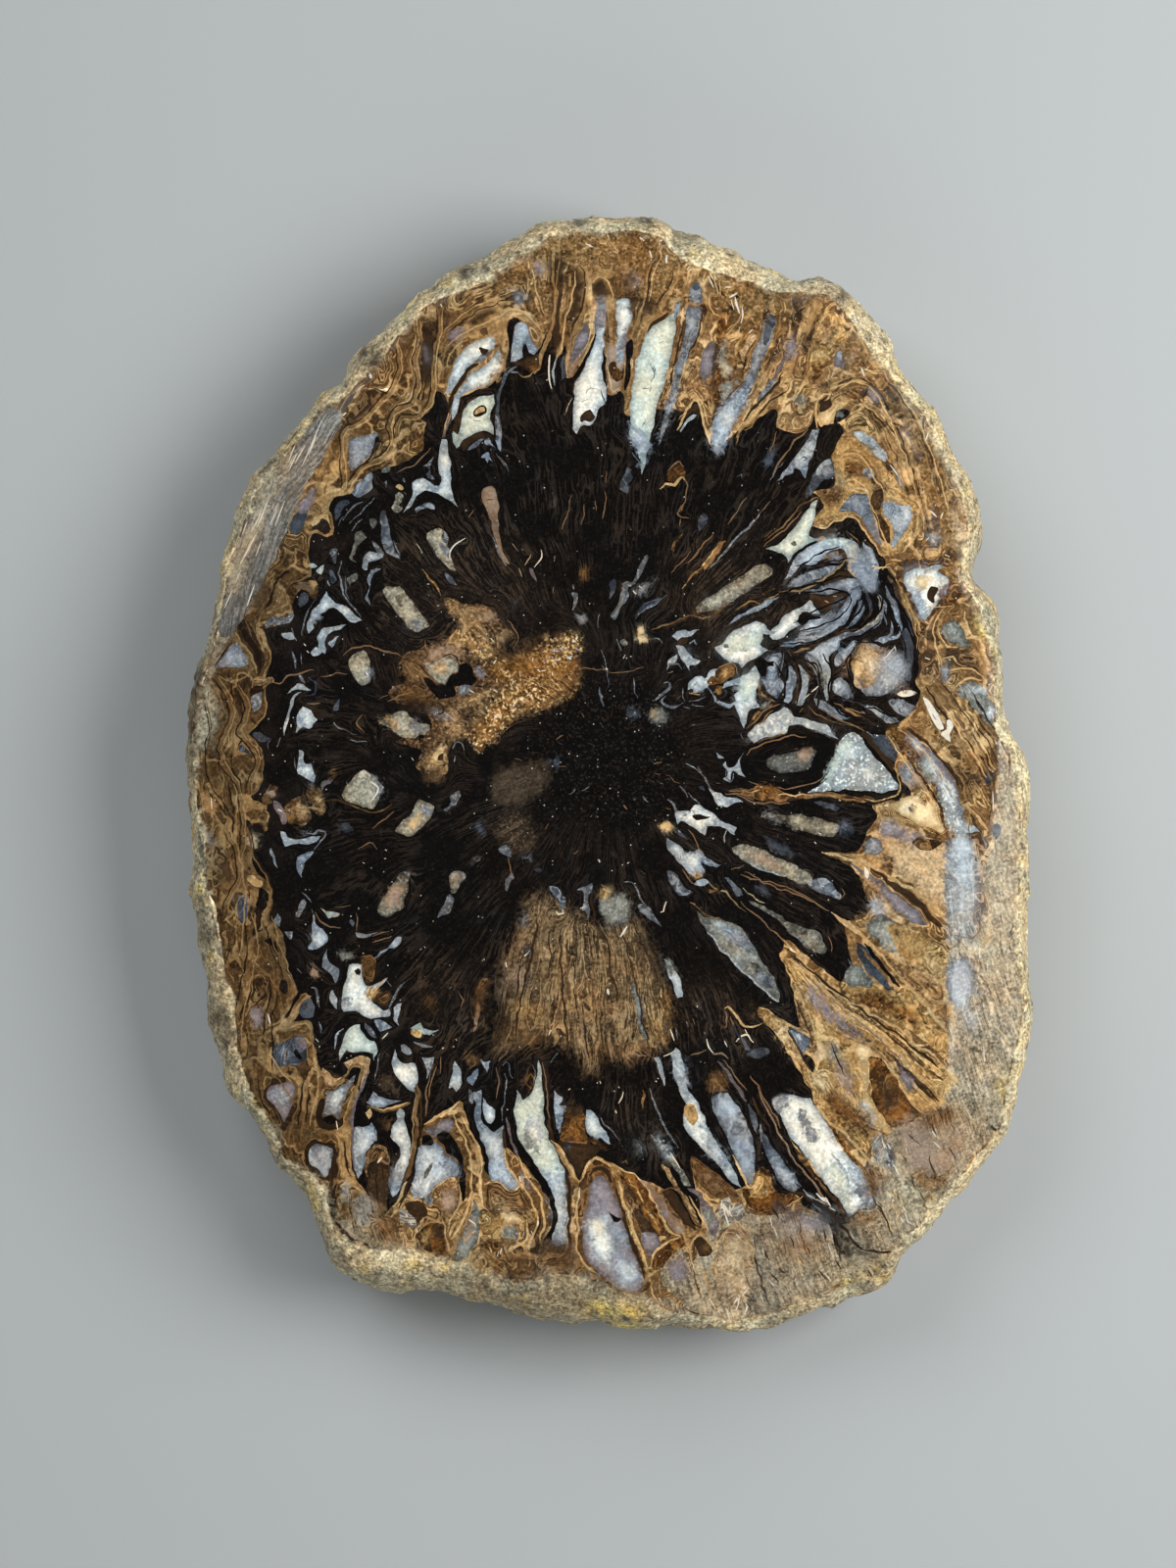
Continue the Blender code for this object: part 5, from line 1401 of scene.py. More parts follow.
s h 1.6 520,712 522,716
s h 1.8 538,706 541,708
s h 1.6 548,700 551,702
s h 1.6 528,720 531,722
s h 1.4 494,742 497,745
# ---- between the pith and the right: middle of the swirl
p sd 711,620 716,614 725,609 735,603 748,594 760,585 772,578 782,576 789,580 788,587 780,591 768,599 755,608 742,617 732,623 722,624 712,625
b sl 3 716,616 730,608 745,600 758,594 752,604 738,614 724,621
b wg 3 730,618 745,612 760,602 770,596 758,606 742,616
s sd 1.4 779,578 782,580
s t 1.6 664,643 676,639 690,634 700,630 707,629
s T 2 706,629 711,630 716,632 720,630
s t 1.6 718,631 726,628 734,623 742,617 748,615
b bw 3 706,624 720,626 730,624 718,630 706,628
s rd 3 754,620 766,614 778,608 790,600
s t 1.4 752,620 760,616 768,614 776,616
s hb 1.2 742,600 758,592 770,584
p wb 744,638! 750,631 760,624 772,618 784,612 795,610! 788,616 775,623 762,628 752,633
s w 1.8 758,627 770,620 784,614
s gd 1.8 696,601 703,591 713,582 722,571 730,561 736,552
s bw 4 710,586 722,576 732,562 740,552
s wg 1.8 722,581 732,571 742,560 752,549 764,538 776,525
s hb 1.2 776,525 786,512
s hb 1.2 742,534 750,526 758,514 762,508
s hb 1.4 700,576 708,568 718,556 728,546
s hb 1.2 686,584 696,574 706,562
s am 2.4 687,562 691,553 697,546
s hb 1.4 686,560 690,552
p am 680,490 682,482 688,474 694,472 699,478 700,486 694,486 688,492 682,491
s hb 1.6 682,481 688,474 694,472 699,477
s cr 2.6 674,499 679,494 684,495 688,494 693,489 698,486 699,490
s hb 1.4 699,488 700,504 696,514 692,523 696,528 703,530
s am 2 697,512 695,522
s hb 1.4 694,530 693,537
p bd 632,500 636,487 642,477 645,484 643,494 640,503
s bl 1.6 645,462 649,468 652,476
p bd 712,530 718,524 722,526 720,536 714,541
s bd 2 706,546 712,540
s wg 2.4 752,486 757,485 758,489
p wg 658,567! 661,566 659,574 656,580 654,588 650,594 643,598 640,600 642,606 640,612 635,616 632,624 627,633 622,630! 628,620 632,610 636,596 640,592! 646,594 650,586 651,578 655,572
b wg 3 646,600 654,598 660,594 666,588 662,600 655,606 648,606
s gg 2.4 636,594 634,606 630,618 624,630
s h 3 646,603 649,606
s h 1.6 652,598 655,600
p bd 652,622 660,614 668,611 675,610! 666,617 656,624 648,630
s wg 1.4 648,632 656,624 668,616 680,608
p bd 620,596 626,590 628,598 626,606 622,612 622,602
p wg 583,606 590,606 588,616 583,622 585,612
s wg 2 584,596 587,602
b wg 2 590,628 596,626 598,634 592,636
b bw 3 592,580 600,578 602,588 594,596
s hb 1.2 566,598 564,606
s wg 1.2 612,625 611,640
b cr 2 650,648 651,640 656,638 660,643 657,648 661,650 654,656 648,655
b T 2 652,642 656,640 658,646 652,648
s am 1.4 649,640 650,650
p gg 634,654 638,652 641,657 636,659
s wg 2.4 631,652 633,664
s wg 1.4 665,652 671,651 675,655
s h 1.6 636,672 638,668
s hb 1.0 584,681 598,682 610,684 618,684
s hb 0.9 618,684 630,686 642,685 650,683 658,682
s wg 1.0 614,664 617,676 620,690 621,702
s wg 1.2 576,672 584,686 593,702
s h 3 618,682 620,683
s wg 1.2 647,692 648,706 650,714
s wg 2.4 612,702 613,712 617,722
s wg 1.6 566,687 578,683
p w 686,649! 691,645 699,643 706,643 714,643! 706,648 700,651 694,656! 690,653
s gg 2 687,641 688,643
p n 692,655 697,651 703,652 700,657 694,658
p w 690,660! 697,659 702,665 708,671 714,674! 708,678 703,678 703,684! 700,678 695,672
b wb 3 694,662 702,668 706,674 700,674
s wb 2.6 704,657 708,654 711,658
p w 682,679! 684,674 690,667! 690,673 687,677
s wg 1.4 680,682 684,678 692,677 696,683
s gr 1.4 682,687 688,684
p w 702,704! 703,697 708,692 716,689 719,692 724,684 732,682 731,690 725,696 722,702 716,704 708,708! 708,704
b wb 3 708,700 714,694 718,700 714,705
b bl 2 712,698 720,696 718,702
p am 730,684 737,680 744,678 749,682 750,690 744,693 738,697 731,698 728,696 730,690
b gd 3 734,686 742,682 746,686 740,692
p am 722,694 727,690 732,694 730,699 725,700 722,698
s h 3 725,696 726,697
s T 1.6 732,681 740,678 747,676 752,682 753,689
p w 757,640 764,636 772,635 780,636 783,641 790,645 796,645! 787,648 778,646 778,652 775,658 780,662 787,665! 776,669 766,674 758,681! 755,677 749,675 742,674 734,668 728,661! 736,657 742,652 746,646
b gw 6 746,652 760,646 772,642 776,652 766,664 752,664 740,660
b wb 4 738,664 748,672 756,676 748,672
p gg 738,659 742,657 744,660 740,661
s gg 2 760,665 763,664
p w 771,679! 775,688 774,697 772,706 773,717 776,722 768,724 763,729 762,736 759,744! 756,737 753,728 750,720 744,723 737,720 731,714! 736,716 745,719 751,716 749,710 755,706 758,702 750,699 742,701 738,704! 739,698 746,695 754,692 762,687
b gw 6 758,694 768,688 772,698 768,712 758,716 754,706
s wg 2.4 722,702 728,707 730,715 736,720 744,723
s wg 1.8 728,707 735,704
p am 732,700 738,702 736,708 732,708
s wg 2 703,716 712,713 718,710
s gd 2 703,708 714,708
s bl 1.6 706,720 718,721
s wg 1.6 697,722 704,723
s wg 1.8 696,702 697,710 700,714
s wg 2.6 677,697 683,698 683,702 678,707 672,711 665,715
s wg 2.4 680,710 676,715 680,721 688,722 693,720 697,717
b T 2 664,726 668,724 671,728 668,732
b sg 4 660,728 668,722 678,724 682,732 674,740 664,738
b bd 4 640,724 648,722 652,730 644,734
s T 1.6 664,722 667,725
s T 2 666,733 672,734
s wg 2 757,748 759,754
p w 731,767! 734,770 739,775! 734,774
s wg 1.4 755,776 758,768
p w 738,780 741,777! 743,783 749,783 753,778 756,772! 755,780 757,787 760,793! 754,790 750,787 745,791 744,797 740,796 736,794! 741,792 742,786
s wg 1.6 741,786 740,793 746,796 750,789
s wg 1.8 712,782 716,790 721,799 727,806
s wb 1.6 700,780 708,784 714,788
p w 722,803! 729,807 735,809 742,814 751,815 757,818! 748,820 742,824 733,822! 729,814
s wg 2 694,802 698,806 702,814
s wg 1.6 703,808 709,816 713,820
p bd 713,804 717,802 719,806
s hb 1.2 679,790 686,795 694,799
s t 1.6 742,806 752,805 764,806 778,809
s hb 1.4 740,810 754,811 770,815
s wg 2.4 656,812 662,818
s wg 1.4 602,803 594,808
s wg 1.4 588,806 580,812
b bd 3 562,776 570,774 572,782 566,780
# --- the swirl itself
f k 798,660 820,655 842,646 858,630 868,612 876,596
f k 808,668 830,662 850,650 872,636 884,618 888,600
f k 840,664 846,680 848,700 845,716
p bl 793,660! 800,655 812,651 826,646 840,641 846,636 853,627 860,617 864,610 868,600 879,600 875,614 868,626 860,636 850,646 838,652 822,656 808,661
b wb 4 800,656 820,651 840,645 854,632 864,616 868,624 856,638 838,649 816,656
s wg 1.2 812,645 822,645 832,642 841,641 843,637
s k 4 812,663 826,658 840,654 852,646 864,636 872,624 876,612
s rd 2 808,666 822,662 836,657 848,650
s bw 2 850,650 864,644 878,638 886,630 890,618
p bl 867,640 871,631 875,621 880,615 883,618 879,628 873,636
b wb 2 872,632 876,624 880,618 878,628
s k 4 876,640 886,634 892,624 894,612 890,600
s wg 5 900,612 900,624 894,636 882,643 866,648 850,654 836,660
s gr 2 896,608 898,624 890,636 876,643
s k 5 906,616 908,630 903,642 890,648 876,654 872,664 866,676
p wb 880,661 886,656 898,652 910,650 918,642 916,634 912,626 909,618 914,620 918,632 921,642 914,652 904,656 892,660 882,666
b wb 3 886,657 900,654 912,650 904,656 890,661
p wb 824,666! 834,661 846,655 858,651 857,656 852,664 847,670 849,682 849,696 846,710! 843,716 841,708 842,698 840,686 836,676
b wb 3 836,664 848,658 854,656 848,666 840,672 836,670
b gg 3 840,680 846,684 846,700 842,702 840,690
s k 2 852,664 847,671 849,684 849,700 845,714
p wb 852,670 858,664 868,656 874,654 870,664 864,672 858,678 852,680
b wb 4 854,668 866,660 868,666 858,674
b bw 4 862,672 870,664 872,672 866,680 858,682
s w 4 859,682 862,682
b rd 3 852,684 866,684 864,690 854,690
p bl 851,694 858,692 866,697 870,704 866,711 856,709 851,703
b wb 3 852,696 860,696 864,704 856,706
b wg 3 868,704 872,708 866,712
s t 1.4 803,664 809,673 815,680 822,686 826,692
p wg 822,668 828,668 834,676 838,686 834,690 829,684 824,676
s kb 2 824,670 830,680 836,690
s bw 2 820,668 826,678 832,688
s bd 2.4 834,690 836,702 832,712
s kb 3 828,690 830,702 826,712
p wb 815,678 820,684 825,693 825,704 821,714 815,721 811,719 813,710 817,698 817,688
b wb 3 818,688 822,696 820,708 816,712
s n 4 812,680 816,694 814,708 808,718
p wb 803,685 806,679 811,684 812,694 809,707 804,717 799,716 801,704 803,695
b w 2 806,686 809,694 806,704
s k 3 798,668 803,678 802,692 800,706 798,716
s wg 1.4 799,666 798,680 796,690
p bl 780,674 789,668 796,666 797,670 795,678 793,686 797,694 800,700 795,708 791,712 786,709 780,700 776,692 783,691 783,681 791,680
b wb 3 785,672 792,670 792,680 786,690 790,700 786,702 782,692
p k 771,673 778,671 784,676 790,676 789,681 782,681 781,690 776,690 772,682
s rd 3 774,696 777,706 783,713 791,716
s h 2 828,706 832,703 835,700
s h 1.2 826,708 822,712
s gd 1.4 815,727 818,723
p w 800,721! 805,724 811,731 823,733 831,737 840,737 847,741 849,747 854,754! 848,751 840,748 834,744 827,743 819,739 811,739 805,741 803,748 790,751 779,753 769,757! 764,751 772,741 781,733 791,727
b wb 7 768,752 778,742 790,732 802,728 806,736 794,744 780,750
b wb 4 832,740 842,741 850,750 840,747
s wg 1.4 810,730 806,724
s t 1.6 761,768 770,760 780,755 792,751 804,749
s hb 1.4 762,744 772,734 784,724 796,719
s rd 3 764,738 774,728 788,720
s t 1.4 767,746 778,734 790,725
s gr 3 776,724 782,718 786,716
p gg 776,724 778,719 784,716 786,719 781,724
# long bands going out to the right below the swirl
s k 7 836,722 852,730 870,737 890,742
p bl 831,713! 841,716 852,722 862,727 870,732! 860,734 850,731 841,726 834,720
b bl 2 836,716 848,721 860,728 850,728
s t 1.2 824,720 834,728 848,735 864,740 880,742
s t 1.2 842,712 856,720 872,724 884,729
s hb 1.4 838,722 850,730 866,738 882,746
s rd 3 862,722 876,730 892,738
s bd 3 858,712 870,716 882,720
s k 5 862,714 876,720 890,730 902,742
s bl 2 884,746 892,754 898,766
s h 2.4 892,750 895,750
f r 232,745 228,780 232,820 238,860 236,900 232,940
f r 212,760 214,800 216,850 214,900 220,940
s t 2.2 251,747 259,754 265,764 269,775 268,788 266,798 261,806 255,813
s t 1.8 247,748 253,759 260,768 263,775 259,777 253,773 248,771
p n 257,756 262,764 266,774 263,778 262,772 257,764
p bd 243,766 247,759 252,764 258,770 250,769
s n 2 246,752 244,760 240,766
s rl 3 238,745 236,756 230,768 224,776
s t 1.6 232,748 228,760 224,770 220,776
s t 1.6 246,777 252,784 257,791 259,797
s T 2.6 253,791 255,796 257,801
s rd 3 230,780 238,786 244,796
s n 2 236,784 240,790 244,796 246,802
s t 1.6 228,784 233,792 240,800 244,807
s t 1.8 241,780 247,789 249,800 248,811 243,819 244,826 247,839 248,853
s t 1.4 226,790 232,802 238,812 242,820
s T 2 222,793 226,799
s n 1.6 209,802 216,812 224,822 230,832
b rl 6 202,806 212,810 222,822 216,832 204,826 198,816
s t 1.8 251,817 259,819 267,820 273,821
p bw 267,815 272,805 276,801 283,802! 281,809 277,820! 269,819
b tg 3 270,813 274,806 280,804 276,815
s t 2.4 254,822 260,830 263,838
s t 2.4 260,821 267,830 271,842
s rl 3 266,822 273,830 272,840
s T 2.4 266,827 268,828
p kb 252,836 256,838 258,846 255,850 252,845
p vi 279,817 285,820 291,826 293,840 289,841 285,833 281,825
s h 3.4 284,826 288,828
p og 292,820 299,815 307,813 311,820 315,825 319,836 313,842 304,841 296,839 293,833 291,827
b pk 4 300,822 309,820 313,830 309,838 302,834
b gd 3 293,832 300,836 306,840 298,840
p og 320,807 323,803 330,808 331,815 332,820 331,831 325,832 320,827 319,820
b T 3 324,806 330,810 330,818 325,818
s T 1.8 291,827 298,825 308,825 318,825 325,826 332,829
b bw 4 313,806 320,804 320,816 314,818
s t 1.4 331,817 341,817 352,819 360,821 368,826 377,829 389,828 400,821
s hb 1.2 380,845 390,837 402,828
p w 305,765! 310,768 309,775 312,780 317,780 320,787 323,793 320,799! 313,796 307,792 302,787 304,780 305,773
b bl 2 314,791 319,790 322,794 318,798
s wg 1.2 300,773 301,784
s wg 1.2 276,755 273,759 274,765
p vi 328,800 333,796 341,792! 340,797 333,801 329,807!
b bw 3 338,786 346,784 344,790 338,794
p w 286,849! 292,849 293,855 301,856 311,856 320,853 326,852! 320,859 315,861 305,861 291,865! 288,857
s wg 1.8 313,851 320,851 325,847 331,847 332,851 326,857 320,866
b wg 2 312,846 318,849 316,852 311,850
p wb 302,877 307,872 313,870 321,868! 316,875 311,880 309,888 308,896! 305,891 303,884
p wb 275,867 277,866 279,872 281,879 283,885! 280,883 277,876
p wg 307,923 311,921 313,923 309,927 307,933 303,935 301,931 304,928
p bl 280,941 283,932! 285,936 284,942
s wg 1.8 309,911 313,915 319,921
p cr 327,926! 333,929 341,931 347,934! 340,936 335,935 331,931
s bl 1.6 318,929 320,934 321,941
s hb 1.2 343,925 351,925 357,923
b bd 3 347,843 354,840 360,846 354,850
s hb 1.2 366,866 372,862 380,860 385,866
s h 2 393,867 395,868
s h 2 392,876 394,876
s h 1.4 370,880 372,881
b gr 5 251,852 258,852 262,864 256,866 251,860
p cr 251,895 257,893 264,897 269,901 267,905 261,905 255,901
p k 263,908 270,906 274,912 273,924 268,932 264,930 262,918
s t 1.8 270,898 275,904 278,912 276,921 272,931 268,941
s t 2 250,906 256,914 259,924 257,934 253,941
b wg 4 240,916 249,914 252,924 250,935 242,932
s t 1.4 243,904 252,902 258,906
s t 1.6 230,850 236,856 240,864
s T 1.6 245,845 249,848 245,852
b rd 6 222,875 245,880 255,890 245,898 225,895
b rd 5 206,850 216,852 218,866 208,870
b cc 6 196,860 206,858 210,875 208,900 212,930 204,935 198,900
s cc 2.4 207,905 211,918 215,932
b vi 4 212,850 217,853 218,862 213,862
p sl 349,811 353,804 360,797 365,789 372,786 380,791 387,799 392,803 389,810 387,818 379,826 371,824 360,819 353,817
b wg 3 380,792 388,800 391,806 386,816 382,822 384,806
s h 2 371,791 374,794
s h 1.8 377,797 386,804 383,812 378,818
p sl 402,847 411,837 420,830 424,822 428,817 435,819 442,823 441,831 437,839 431,845 424,850 413,854 407,851
b cr 3 416,842 426,832 430,834 424,844 417,848
b wg 3 432,822 440,826 438,834 432,832
p wg 460,811 468,806 469,811 467,818 465,822 460,822 455,827 452,826 459,820
b bd 3 484,841 491,839 494,845 497,851 494,855 489,849 483,845
b br 8 500,797 508,787 520,782 537,781 552,779 560,782 559,797 551,809 537,817 524,821 511,817 501,813
b ps 8 505,838 524,828 540,834 548,850 540,868 522,872 508,858
p wg 509,866 516,863 521,869 521,876 515,873
s hb 1.6 518,876 520,884 522,892
p wg 516,906 518,897 521,890 524,894 521,901 518,908
b wg 2 483,882 485,877 491,875 489,880
b wg 2 533,878 537,874 541,876 537,879
p bd 545,887 549,884 552,887 549,891
p sd 385,930 391,919 397,909 404,898 412,890 419,890 417,901 416,909 412,918 413,925 407,930 393,935 388,934
b tg 4 396,912 408,902 412,910 402,926 394,928
b wg 3 410,891 418,892 416,900 409,897
p sl 457,898 459,891 465,889 472,889 475,895 471,902 465,910 461,913 459,904
b tg 3 460,893 466,892 466,904 461,904
b bl 3 468,890 474,894 471,901
p wg 459,914 463,917 461,927 457,933 451,934 446,936 447,932 452,924
p wb 395,969! 400,963 405,957 409,957 405,963 400,967
s wg 2.4 681,816 688,821 691,829 691,839
b cr 3 672,842 680,839 688,844 684,849 675,848
p w 692,827! 699,826 704,828 709,822 713,821 720,826 728,831 737,839 747,843 752,844! 750,847 749,853! 743,849 737,845 729,843 721,843 719,846 720,853! 714,849 708,844 701,839 695,837 691,840! 690,833
p kb 706,832 713,831 724,833! 717,836 710,837
s kb 2 703,827 705,829
s bd 2.4 696,833 701,832
s w 1.6 742,848 740,854 740,860
p wb 681,855! 688,859 695,865 701,870 709,870 715,866 720,873 729,881 735,882! 732,884 724,884 719,882 715,879 716,885 719,890 712,895 707,893 701,889 695,882 688,874 681,865
b w 4 700,874 712,872 714,880 714,888 706,886 700,880
b gd 3 706,891 714,889 718,892 712,896
p bl 691,847 696,851 701,858! 695,854 691,850
s hb 1.4 701,846 708,854 713,865 718,871
p w 713,898 717,897 723,901 720,903 715,905 709,902
s hb 1.4 697,888 703,895 710,902
s T 1.6 723,901 728,907 737,909 743,913 751,923 760,929
s bw 3 717,904 724,910 732,908
b am 2 730,904 735,905 734,909
p bl 681,889 688,891 695,901 701,907 707,911! 700,914 693,913 687,907 683,899
b wg 3 686,895 694,904 698,910 690,908
s gd 2.4 705,921 709,923
s t 1.5 707,922 712,927 720,931 727,937 735,938 743,942 752,943
s h 2 680,920 678,925 677,930 674,931
p wg 588,909 595,906 600,902 603,901 603,910 601,918 602,927 600,938! 597,930 593,929 595,921 597,914 593,910
p bl 560,903 568,906 573,913 577,919 577,927 573,931 571,923 569,917 563,910
s h 2.4 567,930 570,933 575,932 574,928
b gg 4 611,921 616,917 627,915 632,910 639,915 643,921 643,931 639,939 631,941 623,943 617,937 612,929
b wg 3 628,916 638,918 640,930 634,940 626,930
b gd 3 611,912 613,904 619,904 625,908 625,912 621,916 616,917
s T 1.8 614,902 620,905 626,909
s h 2.6 640,945 637,950 633,956
s h 2 592,927 597,925
b wg 3 531,940 536,933 540,934 537,942 533,943
s T 3 541,938 547,935
p bl 652,922 657,921 664,927 669,935 675,945! 667,939 659,934 653,929
s wg 1.6 636,900 644,901 651,909 656,918 659,923
s h 3 611,877 612,880
s h 2 624,889 625,888
s h 1.8 640,881 642,880
s wg 2 602,834 604,831
s hb 2 636,821 640,825
b wg 2 655,881 661,884 656,886
p bl 739,895 747,899 755,910 759,914 752,914 745,905
f k 750,862 780,868 810,884 840,900 862,920
f k 775,830 820,830 856,840
f k 745,898 780,922 820,945 845,965
f k 720,930 745,945 770,965
# oval seed: outer dark ring then grey core
p kk 758,778 765,762 780,755 800,752 820,748 838,750 850,757 854,770 852,785 845,795 830,805 810,810 785,808 768,800 759,790
p sg 782,778 787,772 800,769 815,766 825,762 833,765 830,775 824,784 812,787 795,788 787,785
b tg 3 812,768 828,764 826,776 816,778
s hb 1.4 762,770 770,762 784,757 804,752 822,751
s hb 1.2 764,796 776,802 792,805 812,804 832,798 842,790
s h 1.4 790,793 791,792
s h 1.2 799,797 800,796
p bw 744,806 760,806 775,802 792,806 806,811 826,810 846,808 870,812 892,814 884,820 866,818 846,814 824,815 802,818 784,817 766,813 752,810
s T 1.6 766,808 771,807 776,806
s t 1.6 744,807 758,808 768,808
s T 1.8 795,812 803,811 812,812 823,811
b am 3 774,802 786,802 796,808 786,812 776,810
s hb 1.4 752,812 768,817 786,819 806,820
s t 1.4 826,811 846,812 866,816 884,820
s cr 2.2 775,804 778,803
p su 834,802 842,795 850,786 853,776 854,766 855,757! 862,750 872,748 880,753 884,762 892,772 900,780 908,790 915,800 915,806! 900,809 885,807 870,806 855,806 838,808 824,809!
b gw 5 852,770 858,760 866,752 874,752 870,764 860,776 852,790 846,798 840,802
b w 3 864,766 870,762 874,772 868,780 862,776
b w 3 880,780 890,784 896,794 886,798 878,790
p sd 775,833 779,829 786,830 801,831 817,831 834,835 845,839 853,841 858,845 854,851 850,853 839,853 829,851 817,847 805,843 793,839 782,836
b sl 4 800,834 816,834 824,842 812,844 802,840
b wg 4 778,830 790,832 796,838 784,836
s h 2 835,850 838,851
b bd 5 856,838 868,840 868,850 858,852
p bd 830,819 843,819 857,824 854,827 843,825 833,821
s h 2.2 856,816 858,817
s h 2.4 831,859 833,861
s h 1.8 892,851 895,852
b bd 4 780,856 796,862 812,872 800,872 784,864
s T 1.4 802,855 804,856
s T 1.2 793,852 794,854
p sl 747,865 751,862 759,861 770,865 781,869 793,875 805,881 815,887 823,891 829,896 829,900 823,902 815,901 805,897 793,892 782,889 773,887 765,883 757,876 750,871
b tg 4 754,866 772,870 790,878 804,888 790,886 770,878
s w 1.6 764,880 774,886 786,890 800,895
b gg 4 812,888 824,894 824,900 814,898
p bl 829,899 835,896 843,896 850,901 855,908 859,913 857,917 850,916 841,913 831,909 825,904
s h 2 839,904 841,905
s hb 1.2 858,916 861,912 860,906
p wg 741,896! 747,901 754,907 758,913 755,915 750,909 745,903
p gg 765,919 773,921 783,928 794,933 802,939 810,943 821,947 830,949 838,953 841,960 843,967 841,972 835,973 829,969 821,963 813,955 805,949 798,943 790,937 779,929 770,924
s wg 1.6 804,949 814,957 824,966 832,972
b bw 2 812,946 820,948 824,954 816,952
b sl 4 822,960 834,962 838,970 830,969
s hb 1.2 845,955 848,962 847,970
s hb 1.4 755,892 766,897 777,900 797,907 817,915 837,925 847,931
s hb 1.2 760,890 775,898 794,902 812,910 830,920
s gr 1.4 757,907 768,915 780,923
s hb 1.4 757,920 770,933 786,948 799,960 813,972 822,981
s hb 1.2 789,952 805,964 817,976
b bd 3 770,902 780,906 786,914 776,912
s hb 1.2 746,888 754,886 760,882
# big grey lobe
p gg 711,930! 719,934 730,938 740,940 752,944 762,953 768,961 773,971 778,981 784,989 789,997 793,1005 795,1013 796,1022! 788,1017 780,1011 771,1003 762,995 754,988 745,979 736,968 727,957 718,945 712,937
b bd 4 776,998 784,996 790,1004 793,1014 786,1012 778,1006
b bl 4 735,944 752,948 766,960 770,970 758,968 744,958
b wb 3 750,973 757,976 757,984 751,982
b wb 3 773,992 779,996 778,1003 772,1000
b kb 4 768,982 776,986 778,994 770,990
s w 2.2 722,950 732,963 743,976 754,987 765,997 776,1008 786,1016 795,1021
b w 3 731,941 738,943 738,948 732,947
f r 985,745 995,765 1008,785 1016,810
f r 1030,760 1034,800 1034,850 1030,900 1026,940
p gr 1020,745 1030,752 1038,762 1044,775 1047,790 1046,815 1048,840 1045,870 1043,900 1040,940 1008,942 1006,920 1003,900 1005,885 1010,870 1012,850 1015,835 1018,820 1019,790 1020,765
b cc 4 1036,760 1045,775 1050,795 1049,830 1048,870 1044,910 1042,945 1037,940 1040,900 1043,860 1044,820 1043,790 1034,768
p bd 1014,842 1020,842 1022,850 1018,856 1013,852
b cr 4 1008,856 1015,857 1014,866 1008,866
s t 1.6 1004,879 1003,890 1004,907 1008,927 1009,942
s rl 3 980,757 993,771 1008,783 1018,787
s t 1.6 987,749 1000,767 1013,780 1018,784
s t 1.8 995,742 1005,753 1018,767
s n 2 984,752 996,768 1008,780
s n 1.8 992,748 1003,762 1015,775
s t 1.8 991,779 997,793 1005,807 1015,825
s rl 3 996,782 1004,798 1012,815
b rd 6 984,780 994,785 1000,800 992,805 984,795
b bd 4 1003,785 1012,790 1014,800 1006,798
s h 1.4 1008,784 1014,788
s T 3 993,826 1000,836 1008,847
p rd 990,832 1000,846 1008,860 1004,872 996,862 990,848
s t 1.6 986,800 990,815 998,828 1008,838
p n 880,746 886,748 896,760 906,773 913,783 911,788 903,779 893,766 884,755 879,750
p bd 890,751 900,750 907,752 912,760 916,768 913,778 905,772 897,762
s h 2.2 894,750 896,751
s wg 1.6 911,772 914,775
p tg 917,779 924,776 932,780 940,788 946,798 950,808 944,806 936,804 928,808 921,806 918,796
b wg 4 918,780 926,780 932,788 928,798 920,792
p kb 917,790 922,798 928,806 929,812 922,812 917,804
s gd 1.6 911,784 916,793 919,803 915,810 906,815 890,817 880,816
p vi 907,752 912,747 920,746 930,748 938,756 947,765 957,772 966,784 974,795 978,808 981,820 984,832 984,842 978,852 974,848 969,838 964,825 959,812 953,800 945,788 934,778 922,771 914,763
b pk 4 950,800 958,810 964,824 968,838 974,846 968,846 960,828 954,812
s am 3.4 914,763 922,771 932,777 941,786 949,796 955,807 960,819 965,832 968,842
s gd 2 917,768 930,778 942,790 952,804 958,818
b gd 3 908,752 913,748 918,752 915,760 910,758
b w 3 928,752 938,756 940,764 932,764 926,758
b w 3 944,770 952,776 958,788 950,790 944,780
b w 3 956,790 968,798 976,808 974,820 966,818 960,806
s w 4 962,800 968,806 971,814
b wg 4 972,820 980,822 982,834 974,834
p w 973,840! 978,838 984,844 994,842 1000,849! 988,850 980,852 975,847
b wb 4 976,852 988,852 994,866 984,870 976,862
s rd 3 924,743 937,751 949,763 960,775 971,785 979,795 982,806
s n 2 927,742 940,754 952,767 964,780 974,791 979,804
s t 1.6 930,742 942,751 954,763 964,774 974,785 982,796 984,808 988,818
s t 2 940,742 954,756 968,770 980,784 988,796
s gd 2 984,830 990,836 992,844
p cr 912,819 920,815 929,812 935,807 941,807 947,812 952,820 956,831 960,839 965,845 960,849 952,845 943,843 933,839 924,833 915,828 908,821
b gd 4 932,806 942,806 950,816 944,822 936,814
s h 3.4 902,822 906,822
b w 2 922,822 926,826 924,829
b w 2 942,833 946,835 944,838
b bw 3 928,822 934,820 936,828 930,828
s gd 3 913,832 923,837 933,841 949,847 960,851 967,847
s am 2 947,846 956,850 962,852 970,850
p pk 896,851 901,837 911,839 920,841 933,845 940,851 955,857 963,860 973,860 976,868 980,873 979,884 980,900 976,913 973,927 972,939 960,929 947,919 939,912 931,904 917,895 907,885 900,881 893,872 899,867
b vi 6 898,845 906,838 918,842 932,848 942,856 930,862 914,854 902,858
b bl 4 900,840 912,842 918,850 906,850
p bw 931,860 940,855 955,857 962,860 952,867 943,868 935,864
b am 3 962,856 972,858 976,868 968,866
p wg 884,860 890,855 897,858 900,866 897,872 890,873 882,870
